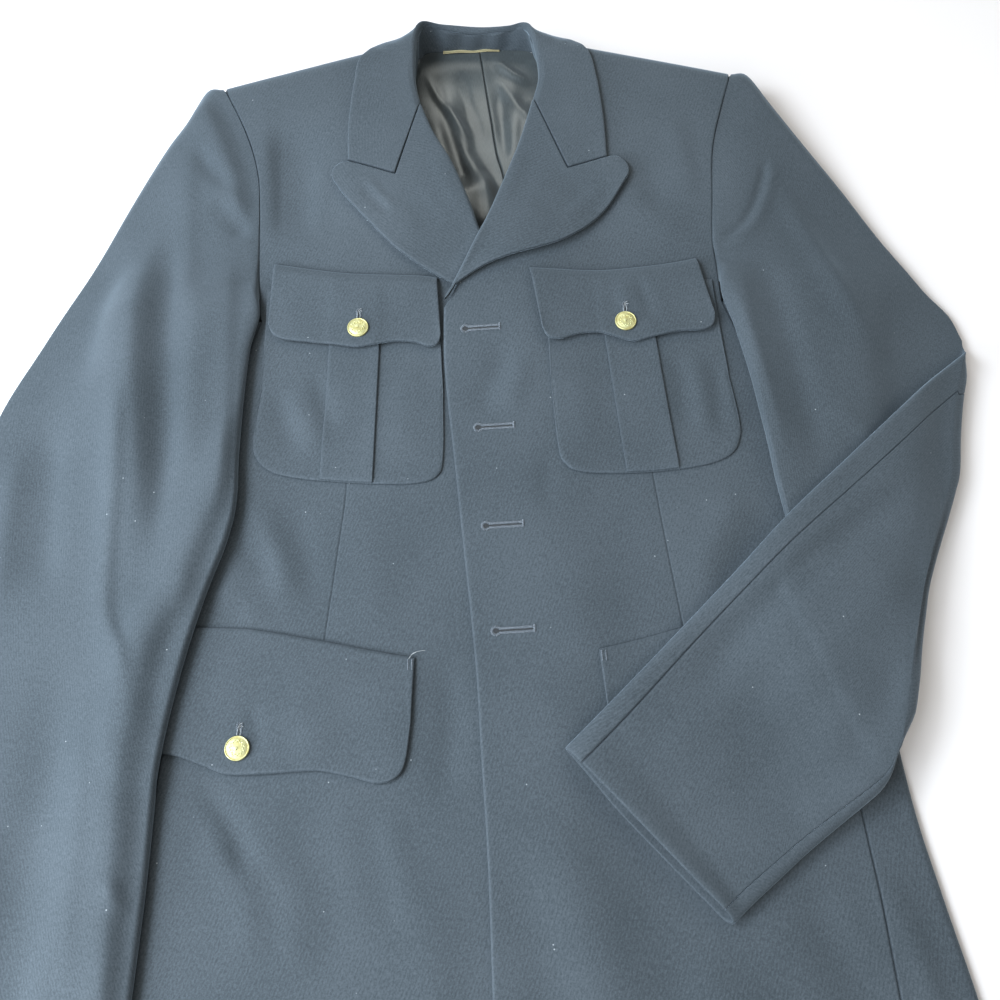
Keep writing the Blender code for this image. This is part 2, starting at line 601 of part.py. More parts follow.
def make_collar(resting):
    """The collar's fall, from the roll line over the shoulders and down behind the neck."""
    rows, columns = GRID["collar"]
    roll = spline(COLLAR_ROLL, rows)
    edge = spline(COLLAR_EDGE, rows)
    start = legs(GORGE["left"], columns)
    end = legs(GORGE["right"], columns)
    grid = patch(start, end, roll[:, :2], edge[:, :2], COLLAR_FADING)
    angles = np.radians(ROLL_TURNS)
    outer = np.zeros((rows, columns + len(angles), 3))
    inner = np.zeros_like(outer)
    for row in range(rows):
        away = grid[row, 1] - grid[row, 0]
        away = away / np.linalg.norm(away)
        behind = ease(edge[row, 1], *COLLAR_BEHIND_Y)
        for k, angle in enumerate(angles):
            for depth, points in ((0.0, outer), (BODY_WALL, inner)):
                reach = depth + (ROLL_REACH - depth) * (1 - math.cos(angle))
                place = grid[row, 0] + away * reach
                rise = roll[row, 2] - ROLL_DROP + (ROLL_DROP - depth) * math.sin(angle)
                points[row, k] = (*place, rise)
        for column in range(columns):
            share = column / (columns - 1)
            place = grid[row, column]
            if column == 0:
                place = place + away * ROLL_REACH
            lowest = resting(*place) + COLLAR_GAP + BODY_WALL
            fast, slower = COLLAR_ROUND
            stands = (roll[row, 2] - lowest) * (1 - share) ** (fast - slower * behind)
            high = lowest + max(stands, 0.0)
            outer[row, column + len(angles)] = (*place, high)
            inner_place = place - away * BODY_WALL * COLLAR_LEAN * behind
            inner[row, column + len(angles)] = (*inner_place, high - BODY_WALL)
    return wall("collar_fall", outer, inner, CLOTH)


def make_stand():
    """The collar's stand, upright between the neck seam and the roll of the fall."""
    rows = GRID["stand"][0]
    roll = spline(COLLAR_ROLL, GRID["collar"][0])
    top = roll[roll[:, 1] > STAND_FROM_Y] - (0.0, 0.0, ROLL_DROP + STAND_GAP)
    columns = len(top)
    neck = spline(STAND_NECK, columns)
    outer = np.zeros((rows, columns, 3))
    inner = np.zeros_like(outer)
    for row in range(rows):
        share = row / (rows - 1)
        line = neck + (top - neck) * share
        outer[row] = line
        inner[row, :, :2] = inward(line[:, :2], -BODY_WALL)
        inner[row, :, 2] = line[:, 2]
    return wall("collar_stand", outer, inner, CLOTH)


def lying_wall(name, grid, height, thickness, finish):
    """A wall that lies on a surface: height gives its outer face."""
    outer = np.zeros((*grid.shape[:2], 3))
    inner = np.zeros_like(outer)
    for row in range(grid.shape[0]):
        for column in range(grid.shape[1]):
            x, y = grid[row, column]
            high = height(x, y)
            outer[row, column] = (x, y, high)
            inner[row, column] = (x, y, high - thickness)
    return wall(name, outer, inner, finish)


def make_chest_pocket(side):
    """The patch pocket, its box pleat and its flap."""
    rows, columns = GRID["pocket"]

    def patch_face(x, y):
        return front_height(x, y, side) + LYING_GAP + POCKET_WALL

    top = np.linspace(*np.array(POCKET_TOP[side]), columns)
    bottom = spline(POCKET_EDGE[side], columns)
    left = np.linspace(top[0], bottom[0], rows)
    right = np.linspace(top[-1], bottom[-1], rows)
    lying_wall(f"pocket_chest_{side}", patch(top, bottom, left, right), patch_face,
               POCKET_WALL, CLOTH)

    rows, columns = GRID["pleat"]
    middle = np.linspace(*np.array(PLEAT_MIDDLE[side]), rows)
    half = np.array((PLEAT_WIDTH / 2, 0.0))
    across = np.linspace(-1, 1, columns)[None, :, None]
    lying_wall(f"pleat_chest_{side}", middle[:, None] + across * half,
               lambda x, y: patch_face(x, y) + GAP + POCKET_WALL, POCKET_WALL, CLOTH)

    rows, columns = GRID["chest flap"]
    top = spline(CHEST_FLAP_TOP[side], columns)
    bottom = spline(CHEST_FLAP_EDGE[side], columns)
    left = np.linspace(top[0], bottom[0], rows)
    right = np.linspace(top[-1], bottom[-1], rows)
    top_line = top[np.argsort(top[:, 0])]

    def flap_face(x, y):
        below_seam = np.interp(x, top_line[:, 0], top_line[:, 1]) - y
        stack = 2 * POCKET_WALL + 2 * GAP
        return front_height(x, y, side) + LYING_GAP + FLAP_WALL + stack * ease(below_seam, 0.0, FLAP_RISE)

    lying_wall(f"flap_chest_{side}", patch(top, bottom, left, right), flap_face, FLAP_WALL, CLOTH)
    return flap_face


def make_hip_flap(side):
    """The flap of the hip pocket, which is inside the body."""
    sign = 1 if side == "left" else -1
    rows, columns = GRID["hip flap"]
    top = spline(HIP_FLAP_TOP, columns) * (sign, 1)
    bottom = spline(HIP_FLAP_EDGE, columns) * (sign, 1)
    left = np.linspace(top[0], bottom[0], rows)
    right = np.linspace(top[-1], bottom[-1], rows)

    def flap_face(x, y):
        return front_height(x, y, side) + HIP_FLAP_GAP + FLAP_WALL

    flap = lying_wall(f"flap_hip_{side}", patch(top, bottom, left, right), flap_face,
                      FLAP_WALL, CLOTH)
    return flap, flap_face


def make_button(name, x, y, surface):
    """A domed metal button, turned about its own axis and tilted to the cloth it lies on."""
    around = BUTTON_SIDES
    profile = [(BUTTON_RADIUS * share, BUTTON_EDGE * edge + BUTTON_DOME * dome)
               for share, edge, dome in BUTTON_PROFILE]
    half = BUTTON_RADIUS
    slope_x = (surface(x + half, y) - surface(x - half, y)) / (2 * half)
    slope_y = (surface(x, y + half) - surface(x, y - half)) / (2 * half)
    base = max(surface(x + dx, y + dy) - slope_x * dx - slope_y * dy
               for dx in (-half, 0, half) for dy in (-half, 0, half)) + GAP
    points = []
    for radius, rise in profile:
        for k in range(around):
            dx = radius * math.cos(2 * math.pi * k / around)
            dy = radius * math.sin(2 * math.pi * k / around)
            points.append((x + dx, y + dy, base + rise + slope_x * dx + slope_y * dy))
    points.append((x, y, base + BUTTON_EDGE + BUTTON_DOME))
    faces = [tuple(range(around))[::-1]]
    for ring in range(len(profile) - 1):
        for k in range(around):
            after = (k + 1) % around
            low, high = ring * around, (ring + 1) * around
            faces.append((low + k, low + after, high + after, high + k))
    last = (len(profile) - 1) * around
    faces += [(last + k, last + (k + 1) % around, len(points) - 1) for k in range(around)]
    return solid(name, points, faces, BRASS)


def make_lining(side, resting):
    """The lining of the back, as far as the open neck shows it, with a lap at the middle."""
    sign = 1 if side == "left" else -1
    rows, columns = GRID["lining"]
    middle = spline(LINING_MIDDLE, rows) + (sign * GAP / 2, 0.0)
    outer = spline(LINING_OUTER[side], rows)
    start = np.linspace(middle[0], outer[0], columns)
    end = np.linspace(middle[-1], outer[-1], columns)
    return lying_wall(f"lining_back_{side}", patch(start, end, middle, outer),
                      lambda x, y: resting(x, y) + GAP + LINING_WALL, LINING_WALL, LINING)


def make_label(resting):
    """The plain woven label under the neck seam."""
    rows, columns = GRID["label"]
    along = np.linspace(-LABEL_LENGTH / 2, LABEL_LENGTH / 2, columns) + LABEL_TOP[0]
    down = np.linspace(0.0, LABEL_WIDTH, rows)
    grid = np.array([[(x, LABEL_TOP[1] - step) for x in along] for step in down])
    lying_wall("neck_label", grid, lambda x, y: resting(x, y) + GAP + LINING_WALL,
               LINING_WALL, LABEL)


class Resting:
    """Height at which cloth rests on what is already built.

    It stays level this far past a step, and then falls away along a curve of this radius.
    """

    def __init__(self, items, top_y=500.0, level=5.0, radius=15.0):
        trees = []
        for item in items:
            corners = [vertex.co for vertex in item.data.vertices]
            faces = [face.vertices for face in item.data.polygons]
            trees.append(BVHTree.FromPolygons(corners, faces))
        self.x = np.arange(DRAPE_X[0], DRAPE_X[1], DRAPE_CELL)
        self.y = np.arange(DRAPE_Y[0], DRAPE_Y[1], DRAPE_CELL)
        high = np.zeros((len(self.y), len(self.x)))
        for row, y in enumerate(self.y):
            if y > top_y:
                continue
            for column, x in enumerate(self.x):
                for tree in trees:
                    hit = tree.ray_cast(Vector((x * MM, (y - RAY_SHIFT) * MM, 1.0)), DOWN)
                    if hit[0] is not None:
                        high[row, column] = max(high[row, column], hit[0].z / MM)
        best = high.copy()
        reach = int((level + math.sqrt(2 * radius * high.max())) / DRAPE_CELL) + 1
        for down in range(-reach, reach + 1):
            for across in range(-reach, reach + 1):
                away = max(DRAPE_CELL * math.hypot(down, across) - level, 0.0)
                moved = np.roll(np.roll(high, down, axis=0), across, axis=1)
                best = np.maximum(best, moved - away ** 2 / (2 * radius))
        self.high = best

    def __call__(self, x, y):
        column = np.clip((x - self.x[0]) / DRAPE_CELL, 0, len(self.x) - 1.001)
        row = np.clip((y - self.y[0]) / DRAPE_CELL, 0, len(self.y) - 1.001)
        j, i = int(column), int(row)
        s, t = column - j, row - i
        low = self.high[i, j] * (1 - s) + self.high[i, j + 1] * s
        up = self.high[i + 1, j] * (1 - s) + self.high[i + 1, j + 1] * s
        return low * (1 - t) + up * t


def ring_stations(length, reach, depth):
    """Places round a flattened tube: (distance from its outer edge, side, rise) in the cloth."""
    bend = max(reach - depth, GAP)
    arcs = np.radians(SLEEVE_TURNS)
    bent = [(depth + bend * (1 - math.cos(arc)), math.sin(arc)) for arc in arcs]
    seam_outer = max(SEAM_FROM_OUTER, reach + SEAM_CLEAR)
    seam_inner = length - max(SEAM_FROM_INNER, reach + SEAM_CLEAR)
    between = np.linspace(seam_outer, seam_inner, SLEEVE_COLUMNS)
    upper = bent + [(place, 1.0) for place in between]
    upper += [(length - place, rise) for place, rise in bent[::-1]]
    top_piece = [(seam_outer - GAP / 2, -1, 1.0)]
    top_piece += [(place, -1, rise) for place, rise in bent[:0:-1]]
    top_piece += [(place, 1, rise) for place, rise in upper]
    top_piece += [(length - place, -1, rise) for place, rise in bent[1:]]
    top_piece += [(seam_inner + GAP / 2, -1, 1.0)]
    between[0] += GAP / 2
    between[-1] -= GAP / 2
    return top_piece, [(place, -1, 1.0) for place in between]


class Sleeve:
    """A two-piece sleeve laid flat: rings of a flattened tube, kept as the rows of two walls."""

    def __init__(self, side):
        self.side = side
        self.rows = {"top": ([], []), "under": ([], [])}

    def add_ring(self, section, reach, place_point):
        """One ring: place_point turns a share of the width and a side of the tube into a point."""
        length = np.linalg.norm(section[2:4] - section[:2])
        for layer, depth in enumerate((0.0, SLEEVE_WALL)):
            pieces = ring_stations(length, reach, depth)
            for piece, stations in zip(("top", "under"), pieces):
                ring = [place_point(place / length, part * rise, depth)
                        for place, part, rise in stations]
                self.rows[piece][layer].append(ring)

    def add_upper_arm(self, sections, resting):
        """The arm from the padded sleeve head to its fold or its cuff."""
        steps = np.linalg.norm(np.diff(sections[:, :2], axis=0), axis=1)
        armhole = spline(ARMHOLE[self.side], CURVE_STEPS)
        sign = 1 if self.side == "left" else -1
        for section, walked in zip(sections, np.concatenate([[0.0], np.cumsum(steps)])):
            cap = 1 - ease(walked, 0.0, CAP_LENGTH)
            sewn = 1 - ease(walked, 0.0, SEWN_LENGTH)
            reach = section[4] / 2 + (CAP_REACH - section[4] / 2) * cap

            def on_arm(share, part, depth, section=section, cap=cap, sewn=sewn):
                x, y = section[:2] + (section[2:4] - section[:2]) * share
                chord = sections[0, 0] + (sections[0, 2] - sections[0, 0]) * share
                chord_y = sections[0, 1] + (sections[0, 3] - sections[0, 1]) * share
                seam = np.interp(chord_y, armhole[:, 1], armhole[:, 0]) + sign * ARMHOLE_GAP
                x += (seam - chord) * sewn
                under = resting(x, y) * (1 - sewn * ease(y, *UNDERARM_DROP))
                low = under + SLEEVE_CLEARANCE * ease(under, 0.0, LIFTED_FROM)
                head = CAP_OUTER_HEIGHT + (CAP_INNER_HEIGHT - CAP_OUTER_HEIGHT) * share
                high = low + section[4] + max(head - low - section[4], 0.0) * cap
                return (x, y, (low + high) / 2 + part * ((high - low) / 2 - depth))

            self.add_ring(section, reach, on_arm)

    def add_fold(self, section, resting):
        """The half turn at the elbow, about a line just above the upper arm."""
        along = section[2:4] - section[:2]
        outward = np.array((-along[1], along[0])) / np.linalg.norm(along)
        half = section[4] / 2
        for turn in np.linspace(0, math.pi, FOLD_STEPS + 1)[1:]:

            def on_fold(share, part, depth, turn=turn):
                x, y = section[:2] + along * share
                under = resting(x, y)
                low = under + SLEEVE_CLEARANCE * ease(under, 0.0, LIFTED_FROM)
                radius = half + FOLD_GAP - part * (half - depth)
                x, y = (x, y) + outward * radius * math.sin(turn)
                return (x, y, low + section[4] + FOLD_GAP - radius * math.cos(turn))

            self.add_ring(section, half, on_fold)

    def add_forearm(self, sections, resting):
        """The arm beyond the fold, with its underside up."""
        for section in sections:
            half = section[4] / 2

            def on_forearm(share, part, depth, section=section, half=half):
                x, y = section[:2] + (section[2:4] - section[:2]) * share
                low = resting(x, y) + SLEEVE_CLEARANCE
                return (x, y, low + half - part * (half - depth))

            self.add_ring(section, half, on_forearm)

    def build(self):
        """The top and the under sleeve."""
        return [wall(f"sleeve_{piece}_{self.side}", np.array(outer), np.array(inner), CLOTH)
                for piece, (outer, inner) in self.rows.items()]


def make_sleeves(body):
    """Both sleeves: the right one straight, the left one folded over itself and the body."""
    below = Resting(body, UNDERARM_Y, SLEEVE_LEVEL, SLEEVE_FALL)
    right = Sleeve("right")
    right.add_upper_arm(ARM_RIGHT, below)
    right.build()
    upper_arm = Sleeve("left")
    upper_arm.add_upper_arm(UPPER_ARM_LEFT, below)
    under = upper_arm.build()
    on_arm = Resting(body + under, UPPER_ARM_LEFT[0][1], SLEEVE_LEVEL, SLEEVE_FALL)
    for item in under:
        bpy.data.objects.remove(item, do_unlink=True)
    whole = Sleeve("left")
    whole.add_upper_arm(UPPER_ARM_LEFT, below)
    whole.add_fold(UPPER_ARM_LEFT[-1], below)
    whole.add_forearm(spline(FOREARM_LEFT, FOREARM_ROWS)[1:], on_arm)
    whole.build()


def main():
    """Builds the jacket from the surface up."""
    clear_scene()
    sides = ("left", "right")
    body = []
    for side in sides:
        body += [make_back(side), make_side(side)]
    on_back = Resting(body[::2])
    lining = [make_lining(side, on_back) for side in sides]
    make_label(Resting(body[::2] + lining))
    fronts = [make_front(side) for side in sides]
    for side in sides:
        make_lapel(side)
    make_stand()
    make_collar(Resting(body[::2] + fronts))
    body += fronts
    faces = {}
    for side in sides:
        faces[f"chest_{side}"] = make_chest_pocket(side)
        hip, faces[f"hip_{side}"] = make_hip_flap(side)
        body.append(hip)
    for name, x, y in BUTTONS:
        button = make_button(name, x, y, faces[name.removeprefix("button_")])
        if "hip" in name:
            body.append(button)
    make_sleeves(body)


if __name__ == "__main__":
    main()
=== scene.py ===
"""Looks of a dress uniform jacket that lies on its back, its left sleeve folded over the body.

Sizes, places and tables are in millimetres, and meshes are made in metres. +X is towards the
wearer's left, +Y towards the collar and +Z up from the surface that the jacket lies on. Every cloth
piece is a thin shell on the form of the solid that it stands for: a grid of points, an outer and an
inner face, pressed edges, seams that dip, and creases laid on from listed lines.
"""

import logging
import math
from dataclasses import dataclass, field
from enum import Enum
from functools import partial
from typing import Callable, Optional, Sequence

import bpy
import numpy as np
from mathutils import Matrix, Vector


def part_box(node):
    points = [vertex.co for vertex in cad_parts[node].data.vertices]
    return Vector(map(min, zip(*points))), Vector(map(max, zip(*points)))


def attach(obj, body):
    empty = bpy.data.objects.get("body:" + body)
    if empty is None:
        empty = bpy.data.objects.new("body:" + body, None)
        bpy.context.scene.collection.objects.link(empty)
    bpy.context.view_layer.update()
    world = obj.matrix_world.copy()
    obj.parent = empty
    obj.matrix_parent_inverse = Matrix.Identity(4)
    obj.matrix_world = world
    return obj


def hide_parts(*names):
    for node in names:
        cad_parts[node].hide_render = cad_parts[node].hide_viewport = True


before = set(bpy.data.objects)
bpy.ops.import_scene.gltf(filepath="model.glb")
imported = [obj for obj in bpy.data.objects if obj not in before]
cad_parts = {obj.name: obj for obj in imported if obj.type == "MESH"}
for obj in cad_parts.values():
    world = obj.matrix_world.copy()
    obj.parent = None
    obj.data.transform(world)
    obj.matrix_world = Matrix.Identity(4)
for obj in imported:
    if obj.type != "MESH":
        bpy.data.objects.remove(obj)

MM = 0.001
BODY = "root"
LAYOUT_MAP = "Cloth"  # the UV map that holds each piece's flat layout, in metres
LOG = logging.getLogger("jacket")

Array = np.ndarray
Points = tuple[tuple[float, ...], ...]
Place = Callable[[Array], Array]  # from the depth in the cloth at each grid point to points
Surface = Callable[[Array, Array], Array]  # from x and y to the height of a face there


class Side(Enum):
    """The wearer's left, at +X, or right."""

    LEFT = "left"
    RIGHT = "right"

    @property
    def sign(self) -> float:
        """+1 on the wearer's left and -1 on the right."""
        return 1.0 if self is Side.LEFT else -1.0


class Border(Enum):
    """How one border of a cloth piece is finished."""

    PRESSED = "a turned and pressed edge"
    SEAM = "a seam that dips to its neighbour"
    FAINT = "a seam pressed so flat that it hardly shows"
    HIDDEN = "a raw edge out of sight"


@dataclass(frozen=True)
class Pair:
    """One outline for each side of the jacket."""

    left: Points
    right: Points

    def of(self, side: Side) -> Points:
        """The outline of this side."""
        return self.left if side is Side.LEFT else self.right


def ease(value: Array, low: float, high: float) -> Array:
    """0 at or below low, 1 at or above high, smooth between.

    Args:
        value: Any numbers.
        low: Where it begins to rise.
        high: Where it has risen.

    Returns:
        Numbers from 0 to 1.
    """
    share = np.clip((value - low) / (high - low), 0.0, 1.0)
    return share * share * (3 - 2 * share)


def bump(value: Array, rise: tuple[float, float], fall: tuple[float, float]) -> Array:
    """1 between its rise and its fall, 0 outside them."""
    return ease(value, *rise) * (1 - ease(value, *fall))


class Curve:
    """A curve through a few points, read by the share of its length."""

    STEPS = 14

    def __init__(self, points: Sequence, smooth: bool = True) -> None:
        """Lays the curve.

        Args:
            points: The points that it passes through.
            smooth: False for straight legs between them.
        """
        points = np.asarray(points, float)
        self.fine = self._smooth(points) if smooth else points
        steps = np.linalg.norm(np.diff(self.fine, axis=0), axis=1)
        self.walked = np.concatenate([[0.0], np.cumsum(steps)])

    @classmethod
    def _smooth(cls, points: Array) -> Array:
        """Close points on the smooth curve through these.

        Args:
            points: Points that the curve passes.

        Returns:
            Points close together on the curve.
        """
        first = 2 * points[0] - points[1]
        last = 2 * points[-1] - points[-2]
        ends = np.concatenate([[first], points, [last]])
        t = (np.arange(cls.STEPS) / cls.STEPS)[:, None]
        fine = []
        for before, start, end, after in zip(ends, ends[1:], ends[2:], ends[3:]):
            fine.append(0.5 * (2 * start + (end - before) * t
                               + (2 * before - 5 * start + 4 * end - after) * t * t
                               + (3 * start - before - 3 * end + after) * t ** 3))
        return np.concatenate(fine + [points[-1:]])

    @classmethod
    def joined(cls, *curves: "Curve") -> "Curve":
        """One curve from several that meet end to end, with their corners kept."""
        points = [curves[0].fine] + [curve.fine[1:] for curve in curves[1:]]
        return cls(np.concatenate(points), smooth=False)

    @property
    def length(self) -> float:
        """Its length, in millimetres."""
        return float(self.walked[-1])

    def at(self, share: Array) -> Array:
        """Points at these shares of its length.

        Args:
            share: Shares of the way.

        Returns:
            Points of the curve.
        """
        wanted = np.asarray(share, float) * self.walked[-1]
        columns = [np.interp(wanted, self.walked, column) for column in self.fine.T]
        return np.stack(columns, axis=-1)

    def across_at(self, y: Array) -> Array:
        """x at these values of y, for a curve that only climbs."""
        order = np.argsort(self.fine[:, 1])
        return np.interp(y, self.fine[order, 1], self.fine[order, 0])

    def moved(self, distance: float) -> "Curve":
        """The curve moved to its left by this distance.

        Args:
            distance: How far, across.

        Returns:
            The moved curve.
        """
        step = np.gradient(self.fine, axis=0)
        normal = np.stack([-step[:, 1], step[:, 0]], axis=1)
        normal /= np.maximum(np.linalg.norm(normal, axis=1), 1e-9)[:, None]
        return Curve(self.fine + normal * distance, smooth=False)

    def cut(self, first: float, last: float) -> "Curve":
        """The stretch between two shares of its length."""
        return Curve(self.at(np.linspace(first, last, len(self.fine))), smooth=False)


class SmoothTable:
    """Columns of numbers that are read at any value of the first one, along smooth curves."""

    def __init__(self, rows: Points) -> None:
        """Lays one curve through each column.

        Args:
            rows: Rows of numbers, the first number of each rising from row to row.
        """
        table = np.asarray(rows, float)
        self.curves = [Curve(table[:, [0, k]]).fine for k in range(1, table.shape[1])]

    def at(self, place: Array, column: int = 1) -> Array:
        """The numbers of one column at these places."""
        fine = self.curves[column - 1]
        return np.interp(place, fine[:, 0], fine[:, 1])


@dataclass(frozen=True)
class Patch:
    """A surface between four borders: start and end run across, left and right along.

    The higher the fading, the sooner the shape of start and end gives way to straight rows.
    """

    start: Curve
    end: Curve
    left: Curve
    right: Curve
    fading: float = 1.0

    def at(self, along: Array, across: Array) -> Array:
        """Points at these shares of the way along and across, given as arrays of one shape.

        Args:
            along: Shares of the way along.
            across: Shares of the way across.

        Returns:
            Points of the patch.
        """
        t, s = along[..., None], across[..., None]
        grid = (1 - s) * self.left.at(along) + s * self.right.at(along)
        for border, weight in ((self.start, (1 - t)), (self.end, t)):
            ends = border.at(np.array([0.0, 1.0]))
            bow = border.at(across) - ((1 - s) * ends[0] + s * ends[1])
            grid = grid + weight ** self.fading * bow
        return grid


RIM_STEPS = np.array([0.0, 0.35, 0.9, 1.6, 2.6])  # places of the columns next to a border


def stations(widths: Array, step: float, low_rim: bool = True, high_rim: bool = True) -> Array:
    """Shares across rows of these widths, close together next to the rims.

    Args:
        widths: The width of each row.
        step: Distance between the columns elsewhere, in the widest row.
        low_rim: True for close columns where the share is 0.
        high_rim: True for close columns where the share is 1.

    Returns:
        An array of (rows, columns).
    """
    widths = np.atleast_1d(np.asarray(widths, float))[:, None]
    tight = np.minimum(1.0, widths / (4 * RIM_STEPS[-1]))
    rim = RIM_STEPS[None, :] * tight / widths
    count = max(2, int(round(widths.max() / step)))
    low = rim[:, -1:] if low_rim else np.zeros_like(widths)
    high = 1 - rim[:, -1:] if high_rim else np.ones_like(widths)
    middle = low + (high - low) * np.linspace(0, 1, count)[None, :]
    parts = [rim[:, :-1]] if low_rim else []
    parts.append(middle)
    if high_rim:
        parts.append(1 - rim[:, -2::-1])
    return np.concatenate(parts, axis=1)


@dataclass(frozen=True)
class Crease:
    """One soft ridge, or a trough where its height is under 0.

    The width is how far its side reaches to the left of its line, and the lean makes the other
    side that many times wider.
    """

    line: Points
    height: float
    width: float
    lean: float = 1.0
    fade: float = 0.3

    def at(self, x: Array, y: Array) -> Array:
        """Its height at these places.

        Args:
            x: Places across, positive towards the wearer's left.
            y: Places up the jacket.

        Returns:
            The height that it adds.
        """
        found = np.zeros(np.shape(x))
        nodes = Curve(self.line).at(np.linspace(0, 1, 4 * len(self.line)))
        reach = 2.6 * self.width * max(self.lean, 1.0)
        low, high = nodes.min(axis=0) - reach, nodes.max(axis=0) + reach
        near = (x > low[0]) & (x < high[0]) & (y > low[1]) & (y < high[1])
        if not near.any():
            return found
        place = np.stack([x[near], y[near]], axis=-1)[:, None]
        start, step = nodes[:-1][None], np.diff(nodes, axis=0)[None]
        size = (step ** 2).sum(axis=-1)
        share = np.clip(((place - start) * step).sum(axis=-1) / size, 0, 1)
        away = place - start - share[..., None] * step
        distance = np.linalg.norm(away, axis=-1)
        best = distance.argmin(axis=1)
        row = np.arange(len(best))
        turn = step[0, best, 0] * away[row, best, 1] - step[0, best, 1] * away[row, best, 0]
        width = np.where(turn > 0, self.width, self.width * self.lean)
        along = (best + share[row, best]) / (len(nodes) - 1)
        ends = ease(along, 0, self.fade) * (1 - ease(along, 1 - self.fade, 1))
        found[near] = self.height * ends * np.exp(-(distance[row, best] / width) ** 2)
        return found


def creased(creases: Sequence[Crease], x: Array, y: Array) -> Array:
    """The height of several creases together.

    Args:
        creases: The creases to add up.
        x: Places across, positive towards the wearer's left.
        y: Places up the jacket.

    Returns:
        The height that they add.
    """
    total = np.zeros(np.shape(x))
    for crease in creases:
        total += crease.at(x, y)
    return total


@dataclass(frozen=True)
class Undulation:
    """The slow unevenness of cloth that lies loose: waves of a few sizes and directions."""

    height: float
    length: float
    start: float

    def at(self, x: Array, y: Array) -> Array:
        """Its height at these places.

        Args:
            x: Places across, positive towards the wearer's left.
            y: Places up the jacket.

        Returns:
            The height that it adds.
        """
        total = np.zeros(np.shape(x))
        for k in range(5):
            turn = self.start + 2.4 * k
            size = self.length * (1 + 0.37 * k) / 2
            walk = (x * math.cos(turn) + y * math.sin(turn)) / size
            sway = np.sin((y * math.cos(turn) - x * math.sin(turn)) / (1.7 * size) + k)
            total += np.sin(2 * math.pi * walk / 2 + 1.3 * sway + 5 * turn) / 5
        return self.height * total


@dataclass(frozen=True)
class Profile:
    """What its borders do to a piece: depths taken from its faces, and masks for its finish that
    place painted sheen and painted shade.
    """

    lower: Array
    lift: Array
    # a band along pressed edges: the wool lightens it with a painted sheen, the label darkens it as
    # its woven border
    rim: Array
    # painted shade in seams and just beneath pressed edges
    seam: Array


@dataclass(frozen=True)
class Borders:
    """The four borders of a grid: its first and last rows, and its first and last columns."""

    start: Border
    end: Border
    left: Border
    right: Border
    press: float = 0.1  # how far the layers turned in at an edge raise it
    press_width: float = 8.0
    seam_depth: float = 0.55
    seam_width: float = 1.0
    outline: float = 0.55  # how dark the shade beneath a pressed edge is
    faint_share: float = 0.3  # what a faint seam has of a full one
    round_share: float = 0.48  # the radius of an edge, as a share of the wall

    def profile(self, points: Array, wall: float) -> Profile:
        """What the borders do, from the distance of each grid point to them.

        Args:
            points: The grid's points, (rows, columns, 3).
            wall: How thick the cloth is.

        Returns:
            The profile, with arrays of the grid's shape.
        """
        across = np.linalg.norm(np.diff(points, axis=1), axis=2)
        along = np.linalg.norm(np.diff(points, axis=0), axis=2)
        shape = points.shape[:2]
        left, start = np.zeros(shape), np.zeros(shape)
        left[:, 1:] = np.cumsum(across, axis=1)
        start[1:] = np.cumsum(along, axis=0)
        distances = (start, start[-1:] - start, left, left[:, -1:] - left)
        lower, lift, rim, seam = (np.zeros(shape) for _ in range(4))
        raised = np.zeros(shape)
        for border, distance in zip((self.start, self.end, self.left, self.right), distances):
            if border in (Border.SEAM, Border.FAINT):
                weight = 1.0 if border is Border.SEAM else self.faint_share
                dip = 1 - ease(distance, 0, self.seam_width)
                lower = np.maximum(lower, weight * self.seam_depth * dip)
                # painted shade along the seam's groove
                seam = np.maximum(seam, weight * (1 - ease(distance, 0.05, 0.7)))
                continue
            radius = self.round_share * wall
            inside = 1 - np.clip(distance / radius, 0, 1)
            rounding = radius * (1 - np.sqrt(np.maximum(1 - inside ** 2, 0)))
            lower = np.maximum(lower, rounding)
            lift = np.maximum(lift, rounding)
            if border is Border.PRESSED:
                fall = (0.5 * self.press_width, self.press_width)
                raised = np.maximum(raised, bump(distance, (0.4, 2.4), fall))
                # the band of painted sheen along a pressed edge
                rim = np.maximum(rim, bump(distance, (0.1, 0.5), (0.8, 2.0)))
                # painted shade just beneath a pressed edge
                seam = np.maximum(seam, self.outline * (1 - ease(distance, 0.1, 0.6)))
        return Profile(lower - self.press * raised, lift, rim, seam)


@dataclass(frozen=True)
class Cut:
    """How a cloth piece was cut and how it lies."""

    width: float
    length: float
    rests_on: tuple[str, ...]
    held: str = "laid"


SHARP_CLOTH = math.radians(62)  # a cloth's corner sharper than this is drawn as one


def add_piece(name: str, mesh: bpy.types.Mesh, material: bpy.types.Material) -> bpy.types.Object:
    """Makes a mesh into a piece of the jacket, in one finish.

    Args:
        name: The piece's name.
        mesh: Its mesh.
        material: The finish.

    Returns:
        The new object, at the origin.
    """
    mesh.materials.append(material)
    piece = bpy.data.objects.new(name, mesh)
    bpy.context.scene.collection.objects.link(piece)
    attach(piece, BODY)
    LOG.info("%s: %d faces", name, len(mesh.polygons))
    return piece


